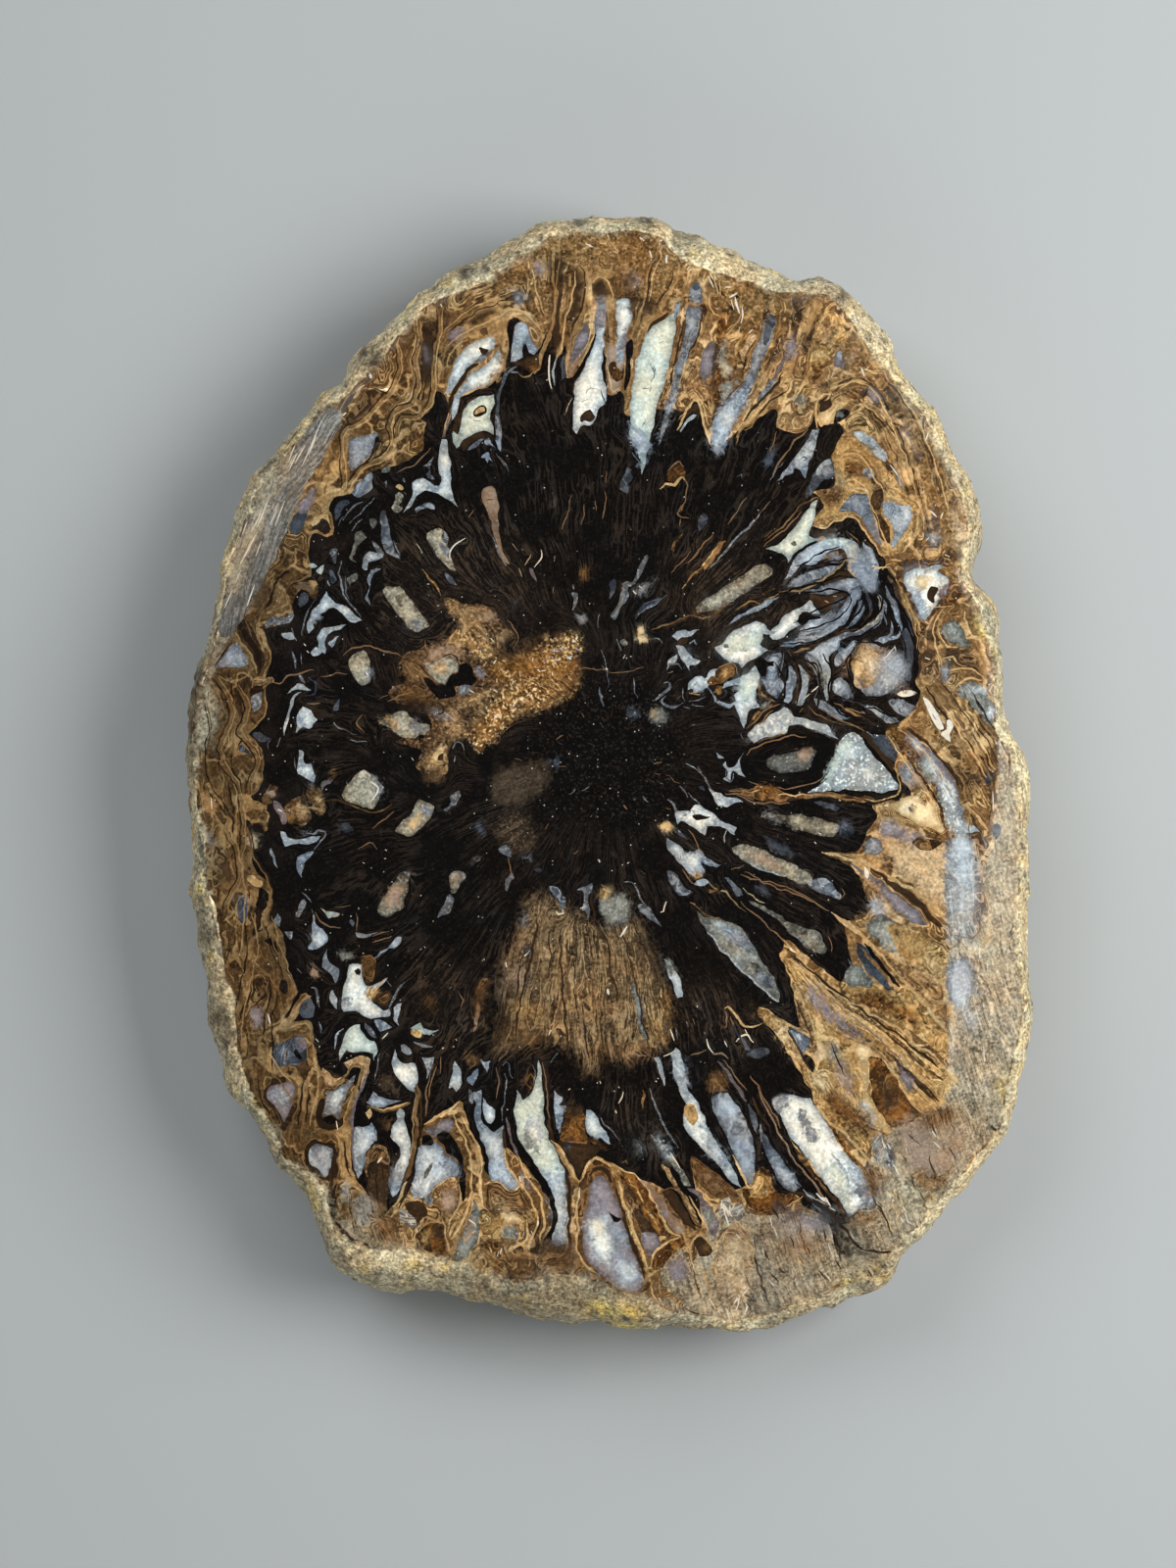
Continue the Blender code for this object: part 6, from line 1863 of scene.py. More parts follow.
b bw 3 902,876 910,875 913,884 908,888 903,884
b hz 5 981,887 987,873 991,867 997,871 999,887 996,907 993,927 992,940 973,940 975,927 979,907
b w 4 985,880 990,876 990,900 984,925 978,938 980,910
s cr 3 839,869 850,872 863,875 873,878 882,879 890,884 901,891 910,896 921,903 933,909 943,917 952,927 963,937 972,948
s t 2 858,871 871,872 882,875 892,880
p n 887,884 897,891 910,899 922,906 934,914 944,924 954,936 962,946 952,942 942,931 930,920 916,910 902,898 890,888
p vi 867,880 876,884 886,890 900,900 914,912 928,922 940,934 946,944 934,942 920,934 908,922 896,908 884,896 874,887
b pk 5 880,890 890,898 902,914 916,930 930,944 916,942 904,930 892,912 882,900
p h 882,884 885,887 887,891 885,897 883,895 882,889
b wg 4 885,918 893,914 900,917 905,925 903,935 897,938 890,932
b gd 7 876,940 890,936 902,942 914,956 908,972 896,968 884,954
b gg 5 884,944 894,944 900,954 892,956
s cr 2.6 849,932 857,937 865,941 874,949 885,959 894,969 902,980
s bd 3 873,961 881,966 890,976 896,984
# ---- left rind below y 940
f r 232,940 238,980 246,1010 238,1050 250,1090
f r 222,940 230,1000 240,1050 248,1100
f r 262,960 272,1000 274,1050 270,1090
f r 285,960 290,1000 282,1040
s cc 3 214,910 219,930 223,950 225,970 227,990
s gd 4 238,935 243,958 246,978 250,990 253,1003 251,1013 246,1025 243,1038
s t 1.8 240,932 246,955 248,975 252,990 255,1003 253,1014 248,1026 245,1038
s n 1.8 256,1000 256,1012 251,1024 247,1034 245,1042
p rd 258,1000 262,997 268,997 273,1000 276,1005 275,1015 270,1022 266,1020 262,1012 258,1006
p bd 243,920 248,914 252,922 252,935 248,945 243,938
s t 2 250,903 256,912 260,922 262,930 260,940 256,950 253,960 253,970 256,980
s T 2.6 253,976 257,981 262,984 265,986
s t 2.6 273,919 274,932 270,941 267,950 264,958
p n 262,925 267,928 266,940 262,950 258,955 260,940
s rl 4.4 276,940 284,949 288,958 290,972 290,988 294,998 300,1005 301,1011 297,1021 292,1034 286,1046
s t 1.8 278,944 286,955 288,970 288,985 293,1000 299,1009 293,1024 286,1040
p k 270,961 274,957 279,958 283,964 284,972 282,974 278,966 273,963
s n 1.8 280,966 284,978 287,992 288,1000
p kb 287,1000 292,1003 294,1010 290,1015 286,1008
s rl 3 268,960 274,966 280,978 283,990 284,1003 281,1018 278,1030 275,1045 274,1060 276,1075
s t 1.6 262,966 268,974 275,982 279,992 281,1003 279,1018 274,1034 271,1050
s t 1.6 256,984 264,990 272,992 278,1000
s n 1.6 272,990 277,1005 274,1022 270,1040 268,1060
s n 1.6 284,1010 281,1025 277,1040 277,1058
b vi 4 256,1030 266,1026 268,1044 260,1048
s T 1.4 252,1035 257,1025
s T 1.4 265,1025 269,1022
s gd 2.4 239,1043 242,1050 248,1052
s h 3.4 238,1039 239,1042
b cr 4 222,1018 232,1018 234,1026 224,1026
b cd 5 218,1036 226,1038 226,1048 219,1048
p k 303,1014 307,1014 302,1023 297,1031 293,1038 291,1037 296,1028 300,1021
p rl 314,1013 318,1016 312,1023 307,1031 301,1041 296,1044 292,1046 296,1038 303,1027 308,1019
s T 1.4 314,1014 306,1026 299,1038
p bd 309,1024 313,1020 319,1020 319,1038 310,1038 306,1035
s t 4 286,1052 296,1049 304,1044 312,1043 317,1047 319,1058 320,1072 323,1086 326,1100
s T 1.8 290,1050 300,1046 311,1044 316,1050 317,1064
s T 2 326,1100 324,1088 321,1076 320,1065
s t 2 310,1062 314,1074 316,1086 314,1092
s n 2 276,1050 279,1064 278,1080 278,1092
s t 2 270,1050 272,1068 270,1088 266,1104
s t 1.6 262,1058 264,1076 260,1094 258,1108
s t 1.6 250,1056 254,1072 252,1092
p bd 281,1066 286,1063 294,1062 300,1058 306,1057 311,1061 313,1070 313,1080 308,1086 298,1089 288,1090 281,1088 279,1078
b bl 4 286,1068 296,1070 298,1082 286,1080
p vi 301,1060 306,1058 311,1062 312,1070 305,1069
p kk 300,1071 305,1073 308,1079 304,1081 300,1077
s t 2 284,1066 292,1061 299,1057
b bw 4 280,1088 296,1091 312,1088 312,1094 284,1094
p cc 206,950 210,960 214,975 218,1000 222,1020 228,1050 236,1080 246,1104 240,1120 226,1092 218,1060 210,1030 210,1000 208,980 202,960
b cd 3 206,946 213,948 213,960 206,959
b cd 4 224,1062 230,1063 233,1072 227,1076
# ---- blue-white pieces of the lower left inside
p wg 303,930 306,920 311,919 313,923 309,929 306,935 302,933
p bl 280,939 283,931! 286,945 281,942
p wg 290,951! 299,952! 297,958 292,954
p gw 326,925! 332,929 340,931 347,933! 341,935 337,937 331,931
s hb 1.4 321,930 325,938 333,943 341,946 348,948
p wb 319,933! 321,940 325,944 329,948 333,954 335,960! 330,964 325,969 316,970! 315,967 319,960 320,950 319,940
b w 3 320,952 328,954 328,964 320,966
p wb 333,969! 334,976 337,982 342,986 346,988 346,996 343,1004! 341,1001 337,994 331,990 328,987 329,981
p w 341,1010! 343,1018 345,1030! 341,1027 337,1020 338,1014
s wg 1.6 304,988 308,993
b tg 3 316,985 322,988 327,996 323,1000 317,994
s wg 2.4 318,1007 323,1010 325,1018 326,1028
s wg 2.4 326,1043 328,1048 329,1055
s h 1.6 322,1060 325,1063
s h 1.4 326,1067 326,1069
p w 356,985! 363,984 368,983! 369,990 371,1000 377,1006 385,1003 392,1000 397,998! 393,1003 385,1009 380,1014 379,1020 385,1026 392,1031 398,1029! 397,1036 390,1037 382,1038 378,1041! 370,1035 363,1031 357,1031 351,1032! 349,1025 350,1012 353,1000 355,990
p kb 361,990! 365,988 368,992 367,997! 363,994
b gd 4 371,1008 382,1006 388,1010 380,1018 372,1018
b wg 3 351,1018 358,1018 356,1028 351,1028
s cr 2 380,1012 386,1006 392,1000 395,999
s wg 1.6 395,999 400,1006
s wg 2.4 413,1001 407,1010 402,1019 398,1028
p bw 383,1015 395,1011 400,1016 396,1025 388,1024
p w 402,1028 405,1024 409,1023! 408,1030 406,1038 407,1047! 403,1043 401,1036
p wb 381,1041 387,1040 392,1042 396,1045 400,1048! 394,1050 389,1053! 384,1048
p wg 371,1044! 377,1048 382,1054 385,1059! 380,1057 374,1052
p gw 357,1048 366,1044! 370,1053 377,1060 384,1066! 384,1073 382,1082! 380,1075 372,1072 362,1073 353,1073 349,1078 346,1083! 346,1075 349,1065 353,1054
s w 2 341,1070 342,1062 345,1054 350,1050
p bl 363,951! 368,951 375,953 386,951! 378,955 370,957 365,956
p bl 358,939 362,942 360,945 357,942
b gg 4 346,972 354,972 362,976 356,980 346,978
p bw 368,976 378,974 384,984 382,998 374,1003 370,990
s hb 1.2 364,930 365,950
s h 1.6 366,926 366,928
p wb 395,969! 399,963 404,957 408,957 408,962 403,967
s bl 3 381,977 388,972 396,969
s hb 1.2 381,956 390,953 398,951
s hb 1.2 380,962 390,959 400,956
s h 2 390,1060 396,1054
p gw 419,1050! 424,1046 429,1044 431,1048 437,1051 442,1052 449,1052! 443,1054 438,1057 431,1055 429,1052 424,1050
p gd 420,1051 427,1050 430,1054 426,1058 420,1055
s h 2 422,1051 423,1053
s wg 2.6 422,1064 428,1067 435,1068 441,1068
p bl 409,1067! 412,1065 416,1068 420,1075! 416,1076 411,1072
p w 402,1070! 404,1076 408,1083 414,1086 421,1085 426,1088! 428,1095 426,1103 424,1110 422,1114! 416,1110 408,1106 402,1098 400,1090 401,1080
p wb 432,1079! 437,1079 442,1078! 441,1085 438,1093 435,1100 433,1105! 435,1096 434,1088
p w 464,1083! 468,1088 470,1096 472,1104! 468,1110 465,1113! 461,1109 457,1110! 460,1100 462,1090
b bw 5 474,1075 482,1074 490,1080 486,1090 478,1088
p wb 480,1098 484,1093 488,1091! 488,1098 484,1106 482,1108! 478,1105 476,1100
p wb 491,1081! 496,1083 500,1081! 498,1090 497,1094! 495,1090 492,1087
p wb 479,1118 483,1115 488,1112 491,1111! 492,1120 491,1135 493,1145 497,1150 504,1156 510,1150 513,1147! 513,1160 514,1172 516,1185 520,1195 526,1203 530,1210! 524,1214 518,1214 513,1210 508,1206 502,1204 499,1195 497,1180 493,1168 489,1156 485,1145 484,1135 485,1125
p kk 492,1118 497,1128 503,1134 508,1128 511,1120 512,1136 508,1148 503,1154 498,1151 494,1142 491,1130
p w 493,1120! 497,1126 502,1130 505,1133! 504,1140 501,1146 498,1146 495,1138 493,1130
p bl 478,1115 480,1112 482,1120 482,1127 479,1126
s hb 1.4 508,1083 512,1077 516,1074
s wg 1.6 513,1088 517,1084 520,1089 522,1096 524,1101
s wg 1.4 516,1095 516,1110 514,1128 512,1142
s hb 1.4 506,1090 508,1105 506,1120
p gw 529,1112 531,1117 534,1123! 538,1120 543,1115 547,1105 549,1092 550,1082! 552,1088 553,1100 554,1115 555,1130 556,1145 559,1158 563,1168 570,1179 575,1192 577,1208 578,1225 577,1245 577,1262 574,1278! 567,1273 563,1264 566,1254 567,1240 564,1224 559,1211 552,1198 545,1187 536,1175 530,1162 527,1150 525,1138 527,1125
b wb 8 558,1196 572,1196 577,1220 577,1260 568,1270 565,1240 560,1215
b w 5 538,1140 550,1140 552,1165 542,1165
b gg 6 536,1150 546,1160 548,1178 538,1168
s h 3.4 563,1196 564,1203
s h 1.6 543,1152 547,1160
p kb 532,1085 540,1083 546,1090 546,1104 541,1114 536,1121! 532,1112 530,1098
b am 3 540,1095 545,1096 544,1110 539,1110
s wg 2 544,1086 546,1098 545,1108
p wb 566,1112! 570,1117 574,1120 574,1124 571,1127 578,1128! 574,1138 572,1148 570,1157! 567,1148 565,1135 565,1122
s hb 1.2 553,1085 557,1100 558,1120 560,1145
s wg 1.4 561,1085 566,1078 570,1075
p tg 492,1000 496,998 495,1008 491,1022 489,1036 486,1048 482,1053 484,1042 487,1028 489,1012
b bw 3 488,1000 498,1000 492,1030 484,1050
s hb 1.6 468,1011 472,1020 471,1028
s gg 3 457,1008 460,1006
b bw 5 432,1015 444,1018 444,1030 434,1028
s am 2.6 460,1070 463,1060 466,1055
s h 1.4 465,1060 466,1062
s h 2.4 451,1070 453,1069
s hb 1.4 442,1085 438,1100 435,1118 434,1140
s hb 1.4 446,1088 441,1105 437,1120
s hb 1.2 450,1078 449,1095
s h 1.4 494,978 494,980
s h 1.4 433,966 434,967
# ---- below and right of the fan
p w 678,978! 683,982 688,988 693,997 696,1008 696,1016 692,1018! 688,1010 685,1000 681,990
b gg 3 678,978 686,984 692,996 684,994
s h 1.6 684,1050 688,1062
s vi 1.6 688,1048 692,1060
p w 689,1068! 693,1072 696,1080 698,1090 700,1100 702,1112 708,1120 713,1128 718,1140 724,1152 731,1165 740,1179 750,1196 757,1212! 748,1208 738,1196 728,1184 718,1174 708,1163 700,1152 697,1144 697,1134 700,1127 695,1118 691,1110 688,1098 686,1086 684,1076
b wb 5 686,1080 696,1085 702,1110 694,1108
b wb 5 716,1150 730,1165 745,1190 735,1188 720,1170
p gd 698,1128 703,1126 708,1128 712,1136 711,1144 707,1148 702,1144 698,1138
b og 2 701,1132 706,1131 707,1140 703,1140
s h 1.6 677,1078 682,1076 686,1074
p w 668,1080! 673,1078 676,1085 678,1095 679,1109! 675,1102 672,1092
s hb 1.8 704,1077 712,1075 720,1071
s h 1.8 721,1060 723,1068 728,1075
s tg 2 728,1076 737,1075 743,1079
s h 1.6 739,1062 742,1068
s h 3.4 669,1103 670,1104
s h 2 671,1100 672,1101
s h 2.4 609,1105 610,1105
s h 2 612,1103 613,1106
s h 2.4 594,1111 595,1111
s h 2.4 580,1112 582,1111
s h 2.4 631,1109 632,1110
s h 1.8 636,1114 635,1119 631,1126
s h 3 628,1133 629,1136
s hb 1.4 710,1028 712,1024
s h 2 711,1028 712,1026
s wg 2 700,1043 703,1048
s hb 1.4 707,1040 710,1046
s cr 2 740,1029 744,1027 748,1032 754,1040 760,1046
s tg 2 740,1030 741,1038 742,1048
s hb 1.4 744,1036 750,1050 754,1058
s cr 2.4 743,1027 747,1031 751,1037 757,1044 764,1048 771,1048 777,1045
s h 2 751,1063 757,1057 763,1056 766,1061 769,1064
s h 1.4 763,1056 760,1050
p bd 748,1045 755,1055 762,1063 767,1071 761,1070 756,1062 750,1055
p bd 762,1076 770,1070 778,1068 785,1073 778,1080 768,1080
p am 578,1130 590,1132 597,1140 598,1155 601,1166 590,1172 578,1168 571,1158 574,1145
b n 6 576,1128 592,1130 590,1140 578,1140
b bw 4 574,1160 590,1164 600,1166 590,1172 578,1170
p w 599,1133! 604,1132 608,1138 614,1148 620,1158 624,1168! 618,1165 612,1161 607,1164! 600,1155 597,1145 597,1138
b am 3 602,1160 608,1162 618,1168 622,1172 606,1170
s vi 1.4 612,1140 620,1150 627,1158 632,1163
s wg 2 664,1110 666,1120 672,1135 678,1148 685,1160 692,1171
s bw 3 655,1132 657,1122 656,1112
b gg 3 646,1163 652,1166 656,1176 652,1178
s wg 2.4 650,1166 654,1172 656,1178
s hb 1.4 636,1186 640,1184 641,1188
p bl 726,1118 735,1115 742,1116 748,1122 756,1132 762,1145 767,1160 770,1178 770,1196 768,1208! 762,1205 756,1195 750,1182 744,1168 738,1152 731,1138 726,1128
b bw 4 722,1095 738,1092 746,1110 732,1114 722,1112
b wb 5 738,1122 748,1128 752,1148 742,1140
s vi 3.4 733,1082 744,1096 754,1110 762,1124
s hb 1.4 738,1080 750,1096 762,1112
p bl 764,1125 770,1135 778,1152 786,1167 796,1180 805,1193 813,1203 819,1212! 812,1215 803,1213 797,1208 791,1198 785,1186 780,1172 774,1160 768,1148 764,1136
b wb 4 790,1180 802,1192 812,1208 802,1208
s n 2.4 768,1120 774,1134 784,1150
s w 2.4 774,1153 775,1157
s kb 3 771,1130 774,1150 775,1170 773,1190
p w 788,1122 798,1120 808,1117 818,1120 826,1120! 834,1132 842,1145 850,1158 858,1170 866,1180 876,1190 886,1200 890,1212 892,1225 888,1232 880,1234 872,1237 866,1241! 860,1232 850,1218 840,1204 830,1192 820,1178 812,1166 804,1156 798,1144 792,1132
b gw 7 842,1185 856,1190 868,1215 868,1232 852,1214
b wb 6 864,1186 882,1198 890,1218 886,1230 872,1212
b wg 4 814,1134 822,1138 836,1164 828,1166 818,1150
b wg 4 790,1122 808,1120 800,1136 792,1132
s w 3 850,1178 860,1194 866,1208
s am 4 830,1120 838,1135 846,1148 856,1162 866,1176 876,1188 884,1198 890,1208 893,1220
s bw 3.6 806,1168 814,1178 824,1190 834,1203 844,1216 854,1228 862,1240 868,1250
s gd 1.6 806,1162 816,1176 828,1190 840,1205
s k 8 776,1112 786,1132 796,1152 806,1172 816,1190 828,1206 840,1222 850,1238 858,1252 868,1270
s tg 1.8 772,1110 780,1125 790,1145 800,1165 810,1183 820,1195 830,1208 838,1220 845,1232 850,1242
s hb 1.4 765,1098 775,1112 787,1132 797,1150
s w 3 820,1215 826,1222 832,1230 838,1237
s h 1.8 840,1222 846,1234
s kb 2 810,1205 818,1213
p am 770,1208 774,1198 779,1191 785,1198 790,1212 798,1218 808,1216 812,1222 806,1235 795,1240 780,1238 766,1232 758,1222 757,1213 766,1214
b gd 4 774,1196 782,1196 786,1210 778,1222 766,1222
b n 4 790,1225 800,1226 800,1236 790,1236
s T 2 747,1178 752,1188 758,1198 763,1208 767,1213 770,1208 773,1203
p og 872,1238 882,1236 893,1236 895,1245 888,1252 878,1250 872,1245
b am 3 876,1242 890,1242 888,1250 878,1248
s cr 3 888,1234 890,1237
p kb 854,1240 862,1248 872,1258 882,1268 892,1278 880,1280 866,1280 856,1278 854,1262
b bw 3 882,1266 890,1268 890,1276 882,1276
s h 1.6 866,1272 868,1276
s n 1.8 852,1262 856,1278 860,1290
# ---- golden mass
f k 810,985 850,1030 900,1080
f k 820,1010 845,1070 870,1130
f k 900,1000 940,1040 965,1080
f k 830,1100 860,1140 890,1180
p gd 800,978! 808,979 818,986 830,996 842,1006 856,1018 870,1028 884,1036 900,1044 914,1050 926,1060 940,1072 954,1082 968,1094 972,1108 966,1116 958,1128 946,1138 930,1146 914,1154 905,1160 892,1162 884,1172 872,1160 856,1150 842,1142 832,1124 824,1108 816,1094 808,1080 800,1068 792,1056 782,1045 774,1035 777,1030 790,1037 800,1048 812,1068 822,1083 831,1095 836,1080 832,1060 827,1045 820,1028 814,1012 808,998 803,988
p gd 866,992 872,980 878,984 884,996 892,1006 904,1012 914,1016 920,1008 930,1012 940,1024 952,1036 962,1048 968,1062 964,1078 950,1068 936,1056 922,1048 908,1040 892,1030 878,1024 866,1014 856,1006
p gg 866,978 872,984 878,984 884,994 890,1002 886,1008 876,1006 868,1004 862,1002 872,998
p gg 868,985 878,985 886,1000 882,1006 868,1006 862,1003
b am 8 880,1012 905,1018 930,1028 945,1046 920,1040 895,1030 878,1024
p bd 874,961 880,968 886,978 893,988 900,996 907,1003 913,1010! 908,1010 900,1005 893,1000 886,992 880,982 875,972
s k 4 882,962 892,975 901,988 910,999 917,1008
b k 3 902,1006 912,1010 914,1015 904,1013
s cr 3 849,932 860,941 874,951 888,962 898,974 909,986 919,998 930,1010 940,1020 950,1034 960,1046 966,1054
s og 5 900,972 915,988 930,1002 945,1016 956,1030
p gg 886,944 896,936 910,940 922,950 930,962 938,972 930,984 916,980 904,970 894,958 886,952
p gd 905,946 920,944 938,952 952,962 964,972 966,990 962,1000 950,996 934,988 920,978 912,962
b og 8 920,985 945,990 960,1004 945,1010 925,998
s cr 5 952,1000 963,1004 966,1016 969,1026 973,1038 976,1050
b cr 5 905,966 916,974 924,984 912,978
b cr 5 944,972 952,980 958,992 948,984
b n 3 914,946 920,950 922,958 915,954
s cr 3.4 972,948 978,956 983,964 988,970
s cr 2.4 801,977 808,980 814,985 819,989 826,994 832,1000 838,1006 846,1013 853,1022 862,1031 867,1035 876,1041 885,1048 896,1056 905,1064 915,1073 923,1081 931,1091 940,1099 952,1110
s cr 2.2 800,960 806,967 813,973 821,982 829,990 836,998 843,1006 850,1010 858,1016 866,1022 874,1028 880,1031 888,1034 896,1038 903,1043 911,1047 918,1050 924,1056 930,1061 935,1067 940,1070 946,1073 955,1080 963,1090 970,1096 977,1101 981,1108
s n 2.4 806,975 818,982 830,992 842,1003 856,1013 870,1023
s n 2.6 845,1009 858,1021 872,1032 888,1042 903,1053 918,1066 934,1080 950,1093 962,1102
s n 2.4 868,1024 884,1034 900,1046 916,1056 930,1068 945,1078 958,1090
s og 2.4 850,1013 866,1027 884,1039 900,1050 914,1061 928,1073 942,1086 956,1098
s tg 2 832,1003 846,1017 860,1030 874,1041 890,1054 905,1068 920,1084 934,1100 948,1116
s rd 4 920,1086 934,1100 948,1114 958,1124
s n 3 906,1074 920,1088 934,1103 946,1116 956,1126
s og 3 912,1092 926,1104 940,1118 952,1130
s cr 3.4 865,1034 869,1037
b vi 8 822,1005 838,1018 852,1032 868,1046 880,1056 870,1058 850,1044 834,1030
b rd 8 860,1044 880,1056 900,1072 916,1088 900,1086 880,1070
s cr 2.6 812,1004 816,1014 821,1026 826,1038 831,1050 835,1062 838,1072
b cr 4 834,1064 842,1068 844,1080 836,1078
s T 2 812,1068 820,1080 828,1090 830,1096 838,1108 842,1120
b cr 5 776,1032 786,1036 800,1050 812,1068 820,1084 812,1080 800,1064 786,1046
b cr 7 832,1095 842,1098 844,1112 836,1112
p og 812,1020 818,1022 824,1034 829,1046 832,1060 834,1072 828,1076 822,1072 826,1062 824,1054 818,1050 815,1040
s n 1.8 812,1018 817,1030 822,1042 828,1056 830,1070
p bl 804,1048 812,1050 820,1054 826,1059 827,1067 822,1071 818,1076! 814,1069 808,1058
b w 2 809,1053 815,1054 818,1062 812,1060
s n 2.6 804,1052 811,1063 817,1075 823,1084 829,1094
p kb 821,1077 826,1078 830,1085 830,1095! 826,1088
b tg 8 852,1082 862,1084 872,1110 868,1122 858,1110
b gg 8 842,1060 852,1066 860,1086 850,1084
s cr 1.8 838,1040 842,1048 846,1056
s n 1.8 848,1064 854,1080 862,1098
b am 10 838,1110 862,1118 880,1140 888,1160 868,1150 850,1134
b bw 10 864,1132 890,1146 904,1158 892,1164 876,1156
s cr 3 832,1127 838,1136 846,1146 858,1153 866,1160 874,1168 882,1180 890,1190 896,1197 901,1203
p cr 868,1061! 875,1063 882,1066 888,1069 894,1074 900,1079! 896,1080 890,1078 886,1082 884,1090 887,1096 885,1100 887,1105 884,1112 888,1122 894,1132 900,1142 905,1152! 897,1148 889,1140 882,1128 879,1114 880,1100 879,1092 876,1082 873,1073
b w 4 880,1122 888,1130 896,1144 888,1140
p am 888,1082 900,1079 907,1090 913,1100 920,1112 930,1124 936,1132 941,1138! 930,1146 918,1152 908,1147 900,1138 893,1126 889,1112 887,1098
b n 7 900,1108 912,1112 916,1128 904,1130
b n 5 928,1128 940,1136 932,1142
b bw 7 894,1095 904,1100 908,1112 898,1112
s cr 2 901,1080 908,1090 914,1100 920,1110 928,1122 934,1130 940,1136
b vi 4 914,1086 924,1092 932,1104 928,1112 918,1100
b bd 3 922,1104 930,1106 932,1114 925,1112
s cr 1.6 930,1106 940,1116 950,1128 957,1134
# ---- ground flank, right
b hz 8 974,925 990,925 998,945 996,962 984,964 976,950
b w 5 976,925 988,928 990,942 980,944
p hz 968,986 972,987 978,996 984,1006 992,1006 1006,1012 1000,1018 990,1020 989,1028 984,1032 977,1028 972,1016 968,1002
b w 5 970,990 978,1000 986,1020 982,1028 975,1014
b wg 6 984,1030 998,1032 1004,1048 996,1060 986,1050
b hz 5 1006,1040 1014,1032 1022,1030 1018,1040
b hz 6 970,1070 980,1072 984,1086 974,1086
s cr 2.4 1008,928 1009,945 1008,958 1003,967 994,972 986,969
s og 3.4 978,972 984,980 992,990 1000,997 1007,1003
b og 7 982,972 996,976 1006,990 1000,992 988,984
s T 2 1018,1050 1024,1058 1031,1068 1038,1073
s gb 2 1020,940 1022,970 1024,1000 1026,1030
s gb 2 1030,950 1030,980 1032,1010
s gb 3 980,1000 1000,1005 1014,1010
b cc 6 1038,940 1046,940 1050,990 1054,1020 1050,1050 1044,1080 1036,1110 1030,1108 1040,1060 1044,1020 1038,980
b cy 5 1020,1100 1032,1104 1030,1120 1020,1118
p cr 966,1091! 972,1093 978,1100 980,1106! 974,1104 968,1098
p cr 1022,1120! 1027,1122 1030,1131! 1025,1131
p n 1008,1143! 1015,1150 1021,1156! 1012,1153
p n 1003,1173! 1010,1175 1016,1179! 1009,1180
b hz 12 922,1152 945,1144 968,1156 985,1176 975,1188 950,1176 930,1166
s gb 4 930,1164 945,1176 960,1188 978,1202
s rd 3 934,1182 948,1190 962,1198
p og 930,1198 942,1196 955,1202 966,1209 967,1220 956,1232 942,1232 934,1220
b gd 4 945,1214 960,1216 952,1228 940,1226
p n 927,1193! 930,1202 931,1211! 928,1204
s h 2.6 926,1184 927,1188
s cr 2.4 911,1163 915,1160 920,1162 923,1168
b bw 3 912,1165 919,1166 918,1172 912,1171
b cc 6 952,1232 964,1226 962,1236 950,1244
p hz 891,1160 898,1160 907,1166 913,1174 915,1186 912,1199 903,1191 895,1184 890,1174
b bd 3 904,1170 912,1178 912,1192 904,1186
s w 2.6 893,1163 898,1174
s w 2 894,1179 901,1190
s h 1.6 901,1166 905,1172
s h 2 912,1188 918,1200 924,1214
s T 2 906,1208 910,1222 914,1236 919,1246
s T 1.6 918,1250 924,1266 928,1276
s h 2 931,1234 933,1239
s h 1.6 922,1226 923,1231
s T 2 898,1224 904,1240 910,1252
s T 1.6 880,1252 892,1264 904,1276
b vi 10 800,1238 830,1238 848,1256 826,1262 804,1252
s T 1.6 802,1232 812,1226 818,1222
s h 2.6 804,1236 806,1238
s h 2 812,1236 814,1238
s n 1.8 802,1244 805,1256 808,1266
s cr 2 780,1240 784,1252
b og 6 775,1245 786,1258 790,1268 780,1262
b cy 8 800,1275 815,1270 820,1290 806,1292
s n 1.6 770,1285 776,1300 782,1312
s T 1.6 892,1284 898,1294 904,1302
b gb 10 850,1288 890,1290 890,1304 850,1306
s cr 2 888,1276 896,1288
# ---- bottom left rind and pods
f r 252,1100 262,1130 280,1160 296,1195
f r 300,1095 304,1130 300,1170 306,1200 330,1240
f r 322,1100 316,1140 308,1180
f r 350,1190 352,1220 360,1260
f r 425,1110 425,1160 414,1205 400,1250
f r 470,1135 484,1175 482,1225 464,1270
f k 520,1195 545,1230 544,1290
f k 575,1180 588,1215 588,1270
s t 3.4 278,1097 285,1092 292,1089 300,1091 303,1100
s t 2 305,1092 308,1106 305,1122 300,1138 297,1152 295,1166 297,1180 302,1192
s T 2.6 318,1084 323,1094 325,1106 322,1120 318,1135 315,1150
s t 2.6 322,1088 328,1099 328,1111 324,1126 320,1140
s t 2 312,1096 314,1110 311,1130 308,1150 306,1166
s n 2 309,1100 309,1118 305,1136 302,1152
s n 2 316,1110 313,1128 311,1146
s n 1.8 255,1102 257,1114 262,1124
s t 1.6 258,1104 262,1118 270,1132 280,1145
s t 1.6 264,1100 268,1116 276,1130
s n 1.6 262,1104 266,1120 276,1138
s t 2 292,1150 290,1166 293,1182 300,1196
s t 1.6 300,1150 300,1166 304,1182 312,1194
s rd 3 287,1150 286,1168 288,1184 294,1196
p rd 270,1108 278,1100 290,1098 300,1102 304,1114 302,1130 296,1146 290,1156 284,1144 276,1130 270,1120
p vi 273,1112 278,1107 285,1107 292,1103 298,1106 300,1115 298,1125 295,1135 290,1146! 286,1138 280,1128 274,1122
b wg 4 280,1112 292,1112 294,1126 286,1130 280,1122
s t 2 322,1158 326,1156 334,1154 342,1155 346,1160 348,1170 349,1185 350,1202
s t 2.4 312,1172 315,1166 319,1163 325,1162
